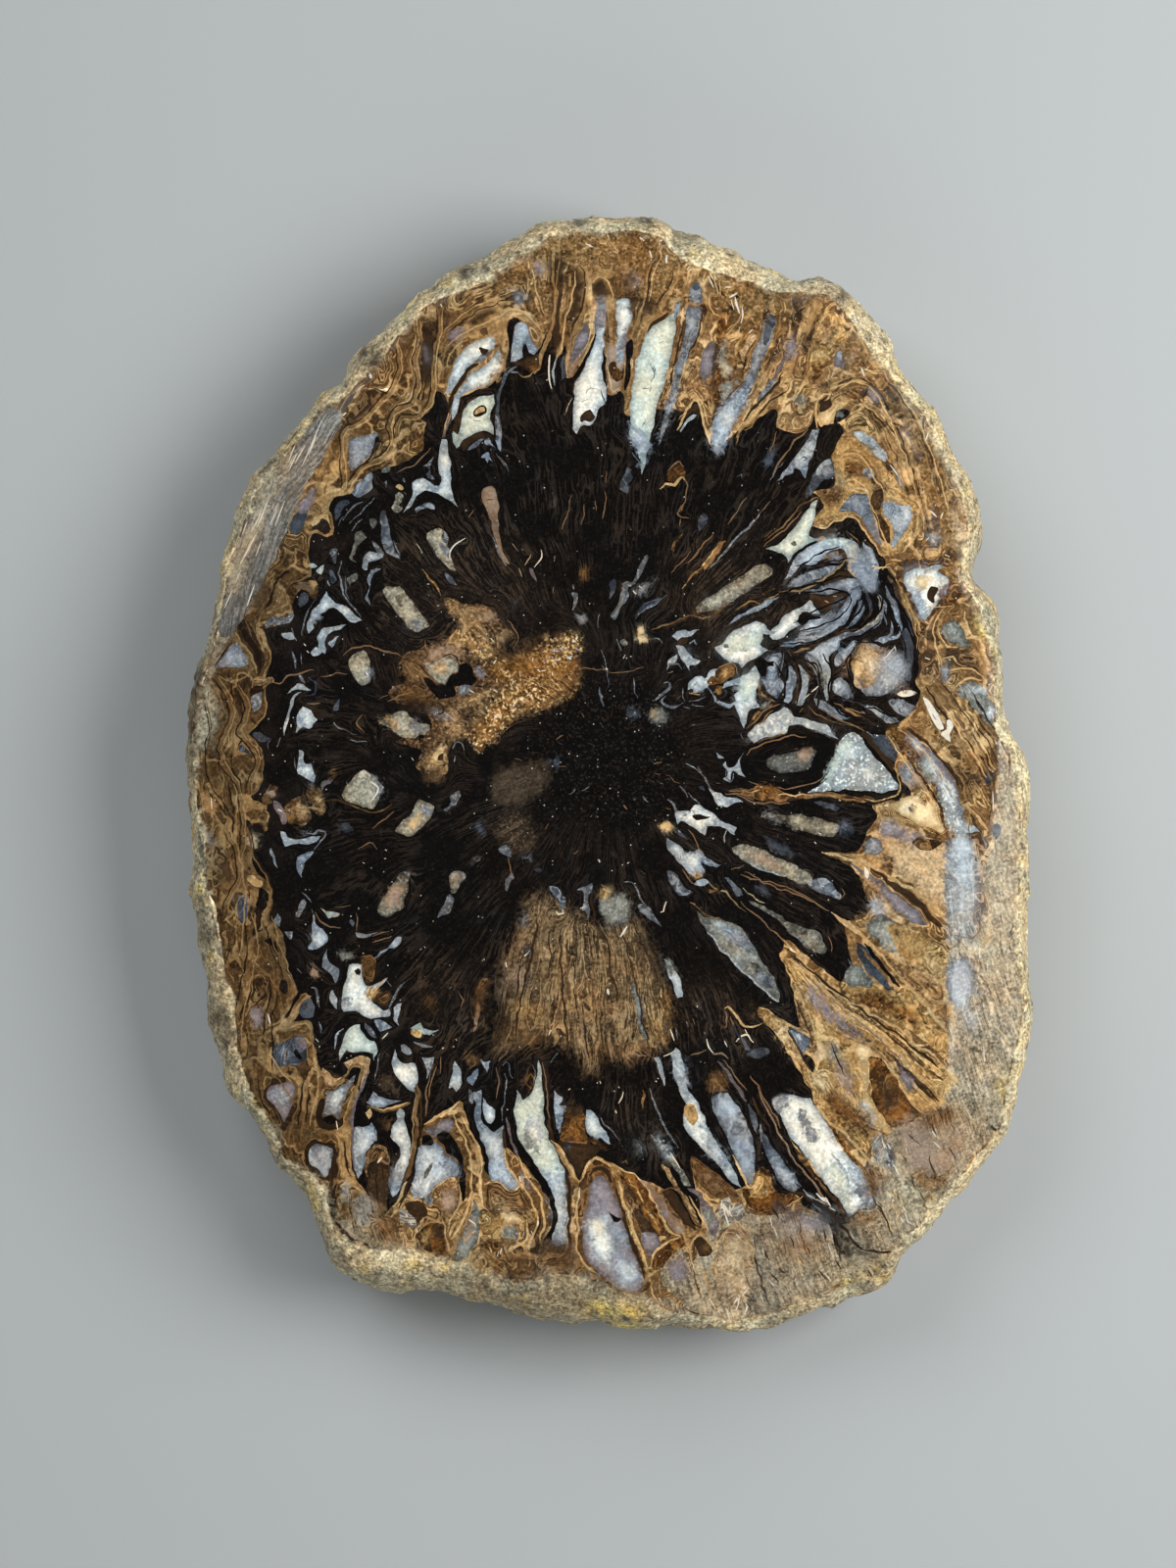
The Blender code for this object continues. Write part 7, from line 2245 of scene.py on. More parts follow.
p n 311,1172 318,1164 330,1165 341,1168 345,1180 344,1200 342,1220 340,1245 334,1240 334,1222 336,1206 324,1200 314,1192 310,1182
p bl 315,1173 321,1168 330,1169 338,1171 339,1181 337,1191 333,1200 326,1196 318,1190 314,1182
b wg 4 322,1172 334,1174 332,1188 322,1186
s rd 4 341,1196 342,1215 342,1235
s t 1.6 344,1180 345,1200 343,1222
s n 2.4 352,1165 354,1185 358,1202
s t 1.8 357,1150 356,1170 359,1190 364,1204
s T 2 349,1150 352,1140 356,1126 361,1114
s t 2.4 331,1092 334,1100 337,1107 343,1106 350,1099 356,1092 362,1088 367,1088 369,1094 367,1102 363,1112 359,1122 355,1132 352,1142
p pk 330,1091 336,1095 343,1101 349,1098 355,1091 351,1086 358,1081 370,1077 377,1081 376,1092 372,1104 367,1112 370,1098 370,1089 364,1086 357,1089 350,1097 344,1104 338,1108 333,1103
s vi 3 375,1092 372,1104 366,1116 361,1128 358,1142 359,1158 361,1178 365,1198
p wg 332,1118 333,1113 341,1112 350,1107 357,1101 364,1096! 361,1103 356,1112 352,1121 349,1130 347,1138 345,1142! 341,1138 335,1137 330,1141! 331,1130 333,1122
b w 3 338,1116 350,1112 348,1126 340,1130
p n 328,1120 332,1122 330,1140 336,1138 346,1142 350,1138 350,1148 340,1152 326,1150 322,1138
p k 329,1143! 336,1138 345,1143 338,1147
p kb 386,1080 391,1073 397,1076 401,1086 404,1096 410,1105 417,1112 412,1119 400,1121 388,1119 381,1112 382,1096
b br 4 389,1096 398,1096 402,1110 394,1113 387,1108
s wg 1.6 381,1102 384,1088 389,1076
p wb 378,1120! 381,1114 385,1119 395,1122 409,1124! 400,1127 390,1130 380,1130 377,1126
s t 3.4 376,1128 382,1132 392,1133 402,1131 412,1128 419,1126
s T 1.6 380,1131 392,1132 404,1129 416,1125
p k 365,1130 372,1128 373,1136 370,1142 378,1142 388,1138 398,1135 404,1137 404,1145 398,1148 396,1160 400,1165 406,1170 405,1180 402,1190 398,1180 390,1168 384,1160 382,1148 372,1150 364,1148 363,1140
p cr 373,1134! 378,1131 380,1138 375,1142!
p wb 361,1150 370,1150 380,1146! 383,1152 384,1163 378,1168 374,1176 372,1188 370,1198 366,1203! 363,1190 361,1175 360,1160
p w 405,1135! 409,1131 414,1134 413,1145 416,1155 419,1165 418,1180 414,1195 411,1205 406,1215 400,1222! 398,1215 401,1205 402,1195 406,1185 408,1175 404,1167 399,1160 399,1152 404,1145
b wg 5 402,1190 410,1190 406,1212 400,1216
b bw 4 392,1142 402,1142 398,1152 392,1152
p rd 378,1176 386,1172 394,1178 397,1192 396,1215 392,1240 384,1245 378,1225 375,1200
s og 3.6 374,1200 374,1186 377,1176 383,1170 390,1170 395,1178 397,1188
s n 2 384,1190 384,1212 388,1236
s n 2 390,1186 392,1206
s cr 4 416,1206 411,1216 405,1227 402,1231
s n 3 420,1200 414,1216 408,1232
s t 4 425,1106 427,1120 424,1135 426,1150 424,1165 421,1180 417,1195 413,1207
s T 1.6 423,1110 424,1126 421,1144 422,1162 418,1182
s n 1.6 429,1112 430,1132 430,1152 427,1172 422,1192
s T 3 433,1147 440,1143 447,1139 454,1135 462,1131 467,1125
s t 5 468,1124 472,1136 476,1148 480,1160
p vi 436,1151 443,1149 450,1145 458,1141 462,1144 463,1152 458,1154 452,1153 447,1157 443,1162! 440,1158 435,1155
p k 432,1158 438,1158 443,1164 441,1169 432,1170
p k 445,1158 450,1154 453,1153 460,1157 464,1163 468,1170 472,1180 474,1190 476,1210 472,1228 470,1210 468,1186 462,1180 456,1176 452,1168 446,1162
p wb 428,1170 440,1170 444,1165! 449,1170 455,1178 462,1184 468,1190 470,1198 464,1202 455,1203 447,1207 441,1214 436,1221 428,1223 422,1225! 421,1212 422,1200 425,1185
b bl 5 452,1178 466,1188 470,1198 456,1200
s gg 5 434,1202 437,1193 441,1187
p og 442,1215 448,1208 455,1204 464,1204 469,1208 469,1220 468,1232 462,1240 456,1243 452,1240 449,1230 446,1222 441,1220
b tg 4 450,1216 464,1214 464,1232 456,1236
s cr 1.8 469,1207 470,1220 468,1232 463,1240 459,1247 457,1257
s gd 2.4 470,1236 465,1246 460,1256 460,1264
p wg 434,1222 439,1220 442,1226 438,1231
p n 425,1226 432,1228 436,1236 430,1245 424,1250 418,1240 414,1228
p hz 408,1232 416,1236 422,1243 425,1252 416,1253 408,1246
s h 3.4 414,1239 416,1242
s h 2.8 425,1254 426,1257
s h 1.8 418,1247 421,1250
p am 425,1262 432,1252 442,1247 451,1250 453,1262 456,1275 459,1286 450,1286 440,1280 430,1273
b n 4 442,1252 452,1254 452,1266 444,1264
b gd 4 427,1262 436,1258 436,1268 430,1270
s cr 1.8 452,1244 454,1256 457,1268 461,1281
p r 462,1135 478,1150 486,1165 490,1180 491,1195 490,1210 492,1225 486,1222 482,1215 481,1195 480,1178 474,1163 468,1150
s T 2.2 462,1137 468,1150 474,1163 479,1175 481,1190 481,1205 481,1220 477,1235 472,1246 466,1256 461,1264
s T 2.2 470,1138 478,1152 486,1165 490,1180 491,1195 490,1210 492,1225 497,1236
s t 1.6 468,1140 476,1156 483,1170 486,1186 486,1204
p gg 484,1222! 489,1232 490,1246 488,1262 482,1275 476,1285 468,1288 463,1284 466,1272 472,1258 478,1244 482,1232
b tg 4 480,1240 486,1250 476,1272 472,1268
s h 2 478,1244 486,1250
s h 2.4 484,1250 486,1252
p bw 498,1207 507,1207 515,1214 525,1215 533,1218 539,1228 538,1240 530,1238 520,1236 510,1240 500,1238 496,1225
b og 4 500,1222 520,1226 534,1232 520,1234 502,1234
p gd 492,1237 505,1240 520,1236 532,1239 537,1250 532,1262 516,1264 500,1262 490,1252
b cr 3 512,1238 526,1238 530,1244 516,1246
b gg 4 514,1250 526,1252 526,1264 514,1264
s h 3 496,1243 498,1245
s cr 2 526,1240 532,1246 535,1255 532,1262
s wg 2 524,1250 528,1258 527,1268
s wg 2 532,1252 535,1258 533,1264
s T 2.4 537,1245 539,1256 538,1264 533,1270 526,1272 521,1275 522,1281 529,1283
p n 524,1275 532,1272 534,1278 528,1281
p bw 490,1270 498,1264 510,1266 516,1276 520,1286 525,1300 531,1313 520,1311 508,1301 500,1303 496,1292 491,1280
b am 3 494,1268 506,1266 510,1276 498,1278
s og 2.4 512,1268 518,1280 524,1296 531,1312
p kb 500,1298 507,1302 510,1308 504,1313 499,1306
p vi 524,1284 536,1284 544,1290 542,1302 532,1304 524,1296
s h 3.6 513,1311 517,1318
s h 4 540,1312 541,1318
s h 2 542,1256 544,1260
s n 3 513,1150 514,1165 517,1180
s k 4 523,1140 524,1158 528,1174 534,1184
s vi 3.4 517,1140 519,1155 523,1168 528,1182
p r 516,1172 527,1180 534,1190 541,1202 549,1216 555,1232 555,1247 551,1262 548,1280 547,1300 539,1300 539,1284 543,1266 547,1250 545,1234 538,1220 530,1208 521,1196 516,1185
b vi 3 530,1192 540,1206 546,1220 540,1216 532,1204
s T 2.2 514,1172 516,1185 521,1195 528,1205 535,1213 541,1223 546,1235 548,1248 546,1258 541,1268 540,1280
s T 2.2 528,1180 532,1190 537,1200 545,1212 551,1222 555,1235 555,1247 552,1258 550,1270 548,1285 547,1300
s h 3 530,1200 531,1206
s h 2.4 549,1245 549,1251
s n 2 551,1236 550,1250 545,1264
s k 5 529,1172 535,1180 543,1190 551,1202 559,1215 564,1228 566,1242 562,1258 557,1270
s n 3.4 559,1140 561,1155 566,1169 573,1180 578,1195 581,1215 581,1240 581,1262 580,1282 578,1296
s t 5 564,1165 570,1172 576,1180 581,1190 586,1200 591,1210
s T 1.8 562,1162 568,1169 575,1177 580,1187 586,1198 591,1207
s t 1.6 566,1172 574,1182 580,1193 588,1206
p n 570,1165 600,1168 612,1172 604,1180 596,1188 590,1198 584,1186 578,1176
b bd 3 578,1164 584,1166 582,1174 578,1172
p og 590,1206 597,1196 601,1204 599,1216 596,1230 592,1240 589,1228
b am 3 594,1200 602,1196 600,1212 594,1218
# ---- pod K and its neighbours
p bw 590,1208 596,1196 602,1188 610,1180 618,1185 626,1194 631,1206 636,1222 642,1244 650,1268 658,1292 663,1310 655,1318 640,1320 628,1315 610,1304 596,1290 589,1272 589,1250 590,1230
p vi 602,1212 607,1202 613,1200 620,1203 624,1210 628,1222 633,1236 638,1250 643,1268 648,1285 653,1300 656,1312 648,1318 638,1318 630,1315 624,1306 614,1300 604,1291 598,1283 595,1272 594,1258 595,1245 598,1235 601,1225
b w 9 600,1245 618,1242 626,1270 622,1292 606,1280
b bl 6 626,1248 638,1254 642,1272 634,1274 626,1262
b wb 7 626,1285 644,1286 652,1308 640,1314 628,1302
b cr 3 608,1246 616,1250 614,1260 608,1256
s h 2.4 609,1248 613,1254
p kb 618,1231! 622,1238 626,1241 636,1243! 630,1246 626,1247 623,1241
s gd 3.4 590,1207 595,1197 601,1188 608,1181 616,1185 623,1191 628,1200 632,1214 637,1230 642,1246 648,1262 653,1278 659,1294 664,1310
s T 1.8 592,1204 598,1192 606,1183 614,1184 622,1190
s T 2.4 630,1204 634,1216 639,1232 644,1248 650,1264 654,1278 660,1294
s n 3 628,1212 633,1228 638,1244 644,1262 649,1280 655,1296 658,1306
s n 4 602,1200 606,1193 613,1192 620,1197 625,1206
s cr 2.2 591,1212 590,1222 589,1235 590,1247 591,1255 588,1262 588,1272 592,1282 598,1290 606,1297 613,1303
b bw 6 596,1295 612,1302 628,1312 612,1312 598,1304
p am 633,1196 642,1197 652,1202 660,1210 668,1224 674,1238 680,1250 690,1258 676,1262 664,1262 656,1254 648,1236 640,1220 634,1208
p rd 635,1206 642,1213 650,1226 657,1240 665,1252 672,1262 664,1270 658,1266 652,1250 644,1232 637,1218
p vi 654,1258 662,1258 672,1262 673,1272 667,1279 661,1284 656,1272
s T 2.4 632,1190 640,1196 650,1200 658,1208 664,1219 670,1232 677,1246 684,1256 694,1261
s gd 2 640,1203 650,1214 658,1228 666,1244 674,1256
p tg 654,1203 664,1208 674,1220 684,1234 692,1246 700,1254 696,1260 686,1254 678,1242 670,1228 662,1214
b vi 3 668,1216 678,1228 686,1242 680,1242 672,1230
p am 664,1291 668,1281 676,1271 686,1265 697,1263 699,1268 690,1276 680,1287 673,1296
s T 2 663,1292 666,1282 674,1272 684,1265 695,1262
p n 675,1216 687,1215 695,1228 705,1244 710,1256 701,1251 692,1240 684,1228
s t 1.8 673,1215 680,1214 686,1212 691,1214 698,1227 706,1241 714,1254
s og 4 676,1188 686,1204 696,1219 706,1235 716,1252
s T 1.6 703,1220 710,1232 718,1246 724,1256
p gg 664,1158 672,1162 680,1172 688,1183 694,1192 700,1200 705,1210! 699,1210 693,1200 686,1190 678,1178 669,1168
b w 3 672,1162 680,1170 686,1182 680,1180
s h 1.6 684,1176 694,1192
p vi 702,1212 710,1220 716,1233 720,1246 727,1259 731,1262! 734,1250 730,1240 724,1229 716,1219 708,1213
b gg 4 716,1228 728,1238 730,1252 722,1250
p bw 706,1180 716,1185 728,1195 740,1205 750,1214 756,1226 745,1226 735,1223 722,1216 712,1206 705,1194
b hb 3 714,1190 726,1200 736,1212 724,1210
p hz 734,1226 742,1221 748,1229 756,1227 761,1240 753,1248 742,1247 736,1241
s h 3 738,1228 740,1240
s h 1.8 746,1236 750,1228
s h 1.8 752,1240 757,1234
p pk 728,1285 735,1275 740,1262 745,1250 750,1247 756,1250 762,1258 767,1270 770,1285 768,1300 765,1310 758,1318 745,1322 735,1318 730,1305 726,1295
b am 4 736,1270 744,1256 752,1250 752,1262 742,1274 734,1284
b rl 6 758,1270 768,1280 768,1306 760,1310 758,1290
b tg 6 734,1300 748,1304 756,1316 742,1322 734,1314
b vi 4 738,1278 748,1280 746,1292 738,1290
s cr 3 752,1249 760,1258 766,1270 770,1286
s cr 1.6 770,1290 774,1302 778,1314 782,1322
p n 709,1266 716,1262 723,1268 727,1275 722,1281 714,1281 710,1273
b am 2 718,1266 724,1270 722,1276
s cr 2.4 707,1292 705,1277 708,1265 714,1260 722,1265 729,1274 732,1284
p gb 674,1296 684,1284 696,1275 702,1282 706,1300 706,1322 696,1326 684,1318 676,1308
b vi 4 682,1290 696,1284 700,1304 686,1306
s h 3 686,1309 688,1313
s cr 2.2 712,1290 718,1300 722,1312 726,1326
s og 2.4 706,1294 711,1308 716,1324
s T 1.8 663,1312 668,1322 674,1334
s n 1.8 640,1322 655,1327 668,1334 682,1340 696,1348
s n 1.8 700,1335 710,1340 722,1346
s h 1.8 706,1288 708,1292
s h 1.8 748,1306 754,1316
s h 2 764,1318 758,1326 752,1334
s T 2 728,1322 732,1334 736,1342
b cy 5 625,1335 640,1337 650,1344 646,1352 628,1350
b cd 6 640,1322 668,1326 664,1336 642,1332
b cc 6 600,1330 616,1332 616,1346 600,1346
# ---- brown ground between the pods and the crust at the bottom left
f r 340,1230 352,1262 380,1285
b gb 10 340,1240 350,1260 380,1275 400,1280 380,1262 356,1246
b hz 4 350,1210 357,1209 357,1225 361,1232 353,1228
b hz 6 362,1224 374,1219 379,1234 376,1250 366,1250
b bw 8 380,1240 400,1240 410,1262 395,1275 382,1262
s hb 1.6 384,1252 392,1264 402,1276
s hb 1.6 410,1258 414,1270 412,1284
s cr 3 336,1250 345,1262 356,1270 368,1274
s n 4 342,1246 350,1258 362,1266 376,1272 386,1278
s T 2 333,1218 330,1230 332,1244
s T 1.8 334,1222 336,1216
b co 12 300,1196 330,1222 336,1250 328,1246 312,1216 296,1204
b cc 10 336,1262 370,1282 410,1300 440,1300 460,1298 470,1310 430,1314 380,1306 344,1285
b cy 8 430,1296 460,1290 490,1300 500,1318 460,1312
s n 3.4 424,1268 434,1281 442,1292 445,1301
s n 2 384,1280 387,1292 388,1303
b og 9 410,1284 440,1284 452,1292 430,1296 412,1296
b co 5 274,1146 284,1150 286,1170 280,1178 275,1164
b cd 4 276,1148 284,1152 283,1172 276,1166
b cy 5 256,1130 266,1136 274,1152 268,1154 260,1142
b og 10 470,1284 492,1284 498,1300 482,1304 470,1296
b gb 8 548,1290 566,1296 590,1300 590,1310 560,1312
# ---- tone of the ground facets
b tg 12 915,1150 950,1140 985,1155 970,1195 935,1200
b rl 9 938,1150 968,1146 984,1166 960,1188 940,1176
b gb 12 975,1120 1010,1125 1005,1165 980,1160
b gb 14 870,1240 910,1230 930,1260 890,1290 860,1280
b tg 10 790,1245 830,1250 835,1290 800,1300
b gb 12 730,1310 780,1300 800,1330 750,1340
b cc 7 850,1290 890,1285 905,1296 870,1306
b cc 6 940,1225 960,1212 975,1215 955,1238
b co 9 905,1205 935,1200 950,1220 920,1240
b bd 6 840,1225 855,1235 845,1250 835,1240
b gb 10 1000,1060 1030,1070 1025,1110 1000,1105
s h 1.2 985,1130 992,1142
s h 1.2 905,1215 912,1226
s h 1.2 925,1245 932,1250
s h 1.2 868,1256 872,1268
s h 1.2 845,1268 849,1280
s h 1.2 812,1262 816,1276
s h 1.2 778,1270 780,1284
s h 1.2 956,1168 964,1176
s n 1.8 893,1226 905,1245 912,1262
s n 2 948,1180 955,1200 950,1215
s n 1.6 815,1245 820,1270 828,1292
s n 1.6 770,1262 772,1290 780,1312
s n 1.8 1035,1082 1040,1096 1034,1108
# ---- later touches: the haze and scratches of the left bevel
p hz 350,422 340,446 328,470 314,492 304,512 294,536 286,556 278,574 269,592 257,612 247,632 236,648 226,650 222,628 228,598 234,574 239,552 246,530 253,512 262,494 274,476 288,460 302,446 318,430 336,416
b gr 7 230,590 250,540 262,500 290,462 300,470 284,500 268,540 252,580 240,610
b co 4 262,492 280,474 290,480 276,500 262,512
s tg 0.9 309.1,487.8 315.3,473.3
s tg 1.1 237.6,574.9 250.8,544.1
s h 1.2 313.9,463.3 328.2,429.0
s tg 1.2 297.8,511.0 306.9,494.4
s h 0.9 293.8,476.9 299.7,465.5
s h 1.4 245.2,576.0 262.7,542.5
s h 0.9 264.0,526.7 267.9,516.2
s h 1.0 279.3,522.9 284.1,513.1
s tg 1.0 244.0,575.6 256.2,548.8
s tg 1.2 230.6,629.6 244.1,597.7
s h 1.3 251.7,619.0 259.8,596.4
s tg 1.0 257.2,534.2 264.7,519.9
s tg 1.2 307.2,479.8 312.8,466.3
s h 1.0 239.6,596.0 245.9,581.6
s wg 1.3 286.2,510.9 294.3,490.8
s h 1.2 261.0,567.5 266.7,552.0
s h 1.2 280.6,536.4 290.4,511.3
s h 1.4 315.2,464.0 322.8,444.9
s h 1.4 301.0,472.8 311.3,454.5
s tg 1.3 251.8,573.9 263.6,545.1
s wg 1.0 267.2,541.5 274.0,525.4
s h 1.3 293.9,472.5 302.3,450.5
s h 1.2 275.6,535.5 282.3,521.3
s h 1.2 308.1,475.6 321.4,446.8
s h 1.3 262.3,538.7 275.2,506.3
s wg 1.2 260.3,573.8 265.3,563.1
s h 1.0 228.9,620.9 237.0,602.4
s tg 1.0 251.0,593.6 260.4,568.2
s h 1.3 239.0,561.9 252.5,532.1
s wg 1.0 271.2,511.1 280.2,486.4
s h 1.2 296.9,476.2 302.9,463.3
s h 1.3 294.3,481.4 302.3,463.2
s tg 1.1 280.3,508.3 286.3,487.3
s h 1.3 256.0,543.1 265.7,525.6
# ---- the right bevel
b hz 5 964,876 972,862 984,862 990,900 992,940 984,960 968,960 964,930
s h 1.2 986,868 992,900 994,940
s rl 1.6 970,952 980,956 992,958 1000,948 1000,930
s rl 1.4 976,960 986,968 996,984
s tg 1.2 1006.0,1072.7 1008.6,1090.9
s tg 1.0 1007.1,1057.7 1010.1,1089.1
s tg 1.3 1013.6,850.1 1016.6,877.8
s h 1.2 1003.8,1066.0 1004.5,1083.9
s n 0.8 969.4,1005.7 970.7,1022.4
s wg 1.2 971.9,982.5 971.3,1014.1
s n 1.0 968.0,980.9 968.3,992.0
s n 1.3 988.8,861.1 990.1,873.1
s h 0.8 1007.8,979.8 1007.5,990.6
s tg 1.0 969.1,1063.6 969.4,1091.1
s wg 1.1 969.9,902.1 970.5,933.7
s n 1.2 1001.2,922.0 999.6,950.4
s tg 1.1 1013.5,970.1 1013.9,986.8
s rd 1.3 1032.6,941.3 1033.5,966.9
s wg 1.2 1003.5,842.9 1005.1,864.3
s h 1.2 1012.8,805.4 1013.9,828.0
s rd 1.1 989.0,851.6 991.4,880.0
s h 1.0 977.8,970.4 974.7,992.1
s n 1.2 988.2,914.8 988.7,930.8
s h 0.9 999.4,963.5 999.5,977.8
s wg 0.9 968.6,993.8 970.4,1015.1
s n 1.2 1011.2,811.5 1010.5,843.6
s wg 1.2 988.2,1020.4 987.6,1045.9
s n 1.3 988.8,840.3 989.6,852.8
s rd 0.9 1020.5,926.7 1022.8,947.7
s n 1.1 1028.6,801.0 1028.2,809.3
# ---- the ground at the bottom right
s n 3.4 806,1214 822,1222 838,1232 850,1242 862,1254 872,1268 882,1275
s n 1.8 880,1274 898,1278 918,1277
s n 1.8 846,1240 853,1254 855,1270 858,1288
b am 4 873,1234 884,1238 897,1234 896,1246 884,1251 874,1246
b og 3 931,1196 946,1192 962,1200 966,1210 950,1217 934,1214
s n 1.4 929,1195 932,1206 934,1214
b cy 4 860,1306 880,1300 904,1292 912,1296 900,1312 880,1325 862,1318
b pk 5 738,1262 752,1258 764,1272 768,1296 772,1318 758,1324 742,1320 732,1300 734,1278
b og 4 742,1284 756,1290 764,1310 750,1318 738,1304
s rl 2.6 732,1300 729,1286 731,1272 737,1258 746,1252 757,1256 766,1266 771,1282
s T 1.2 737,1268 742,1258 750,1257
s n 1.6 771,1280 775,1300 781,1320 786,1334
b bw 6 790,1262 812,1256 836,1262 838,1280 815,1290 795,1284
b gb 8 790,1290 840,1288 850,1320 815,1340 785,1330
b rd 4 800,1238 815,1234 822,1246 812,1254
b bw 6 872,1200 890,1190 905,1204 900,1222 880,1226
b bw 5 940,1140 965,1128 980,1140 960,1156 942,1156
s h 2.0 952.6,1164.7 962.2,1173.7
s n 2.1 788.0,1232.1 794.8,1243.8
s h 2.1 924.2,1171.8 928.5,1179.8
s n 2.1 894.5,1231.7 902.1,1241.3
s tg 1.5 908.2,1186.4 913.4,1193.0
s n 1.7 955.9,1231.8 963.0,1237.4
s h 1.6 899.9,1162.0 903.0,1172.4
s gg 1.8 811.4,1299.1 810.5,1309.6
s T 2.1 907.0,1245.3 911.6,1255.1
s n 1.7 729.3,1277.4 734.0,1287.6
s h 1.8 823.5,1327.7 826.1,1335.9
s tg 2.0 819.9,1295.2 827.3,1302.3
s T 1.8 920.7,1204.1 927.4,1205.7
s rl 2.0 792.8,1313.8 797.3,1320.7
s tg 2.2 939.1,1244.4 938.3,1255.3
s n 2.3 795.2,1293.5 801.4,1299.8
s gg 2.6 856.6,1269.5 859.7,1275.6
s n 2.4 823.0,1271.2 827.4,1279.2
s tg 1.9 925.9,1173.5 929.6,1180.5
s tg 2.5 727.4,1337.1 726.6,1348.6
s T 1.5 721.7,1329.2 724.1,1337.8
s n 2.3 851.7,1284.9 859.4,1295.2
s rl 2.2 948.0,1218.4 950.9,1224.5
s bw 2.3 814.5,1282.0 820.2,1289.9
s T 2.2 782.1,1342.1 786.3,1351.4
s h 2.2 785.1,1306.3 790.4,1312.3
s h 1.7 751.2,1259.0 756.3,1264.8
s h 1.8 841.8,1299.1 848.4,1307.3
s T 1.8 911.6,1214.9 914.4,1220.9
s T 2.2 756.7,1314.2 761.7,1327.3
s h 2.5 885.2,1291.6 893.7,1303.3
s h 1.8 920.6,1230.8 925.4,1237.2
s gg 2.3 818.3,1297.2 826.0,1303.9
s h 2.1 776.3,1320.4 779.2,1328.1
s T 2.5 750.5,1243.4 752.5,1254.3
s T 2.3 760.3,1248.6 765.8,1257.3
s n 2.4 820.7,1334.6 824.4,1339.5
s n 2.5 805.7,1335.6 810.9,1342.2
s n 1.9 841.4,1254.3 843.1,1268.1
s n 2.2 967.2,1171.5 975.5,1181.9
s h 2.4 918.9,1241.5 922.4,1247.9
s bw 2.0 787.0,1301.0 795.1,1307.1
s T 1.7 760.5,1343.5 764.6,1354.7
s h 2.2 811.5,1300.8 817.7,1307.9
s bw 1.6 937.7,1214.9 944.1,1227.1
s tg 2.1 809.9,1297.8 817.4,1308.4
s T 1.9 960.2,1167.8 963.8,1177.8
s gg 1.9 869.4,1253.8 876.8,1261.6
s rl 2.3 968.3,1194.4 969.1,1205.1
s gg 2.5 858.2,1256.0 861.5,1264.5
s n 1.8 797.8,1229.3 801.0,1235.7
s n 2.2 761.9,1329.5 767.1,1338.3
s tg 2.5 909.7,1221.7 909.9,1228.3
s h 2.4 951.3,1153.8 955.0,1160.0
s rl 2.4 835.3,1268.4 839.0,1274.1
s h 1.6 785.9,1241.9 788.2,1253.5
s n 2.0 950.7,1147.7 956.3,1158.7
s T 2.6 904.6,1215.7 910.6,1221.6
s h 2.4 781.3,1343.5 785.7,1353.7
s gg 2.4 869.4,1256.3 874.4,1262.8
s n 2.4 760.6,1320.3 768.1,1326.8
s n 2.6 884.1,1295.7 891.7,1305.3
s rl 1.7 844.7,1266.0 850.9,1270.3
s bw 2.0 927.2,1156.9 937.7,1164.2
s h 1.6 923.6,1237.1 926.8,1247.7
s n 1.6 935.5,1164.0 939.9,1168.7
s rl 1.7 963.3,1217.8 968.4,1228.0
s bw 2.5 962.4,1202.1 967.4,1208.2
s h 2.2 724.3,1325.7 730.3,1335.4
s gg 2.1 788.0,1342.3 794.7,1353.2
s n 1.8 828.5,1322.9 831.2,1330.5
s rl 2.5 853.4,1258.0 856.3,1267.6
s gg 1.6 777.2,1293.9 782.4,1304.0
s bw 1.9 919.8,1258.3 924.0,1265.1
s tg 1.8 923.1,1181.5 930.6,1193.4
s h 1.8 789.0,1251.2 793.2,1261.6
s n 2.1 835.8,1297.2 843.8,1305.9
s h 2.1 741.8,1335.9 745.3,1348.8
s n 1.8 760.3,1300.7 765.7,1314.7
s T 1.8 756.8,1236.1 760.2,1245.8
s tg 2.2 832.4,1262.0 837.1,1266.3
s T 1.6 813.1,1281.4 821.2,1293.4
s gg 2.1 882.2,1245.2 888.2,1254.0
s n 1.8 801.0,1270.7 802.9,1277.8
s gg 1.8 890.1,1253.6 895.9,1265.6
s bw 2.2 831.3,1252.2 833.3,1259.6
s rl 2.6 958.2,1193.3 960.7,1203.2
s n 2.0 806.9,1260.7 811.6,1274.9
s T 2.6 738.2,1296.7 751.2,1303.2
s n 1.9 971.1,1148.1 975.1,1153.0
s T 2.0 749.6,1243.2 757.5,1251.5
s bw 2.4 779.1,1274.0 786.4,1286.0
s bw 2.0 775.4,1253.7 782.2,1266.4
s tg 1.9 780.4,1266.8 784.3,1276.9
s bw 1.9 910.4,1176.5 912.9,1182.3
s n 1.8 919.5,1177.7 924.5,1186.9
s h 2.0 737.0,1224.7 735.7,1233.8
s h 2.9 740.1,1239.2 743.6,1250.0
s h 2.6 744.8,1229.9 745.0,1238.2
s h 2.2 740.1,1230.3 743.6,1240.7
s h 2.9 741.5,1233.6 747.2,1241.6
s h 2.9 735.4,1228.1 738.7,1234.6
s h 2.6 739.5,1229.7 742.1,1237.1
s h 2.1 833.1,1223.4 841.6,1228.6
s h 2.5 832.9,1217.5 840.7,1225.9
s h 2.5 846.0,1231.9 852.5,1235.4
s h 1.9 838.6,1221.8 844.6,1224.3
s h 1.7 837.4,1221.7 846.1,1227.9
s h 1.9 824.4,1219.0 831.3,1222.3
s h 2.2 842.2,1221.7 847.7,1231.5
s h 1.7 825.2,1219.3 833.8,1225.0
s h 2.2 764.3,1314.0 757.8,1322.1
s h 2.5 753.5,1324.2 749.1,1329.8
s h 1.7 753.9,1330.4 750.7,1337.9
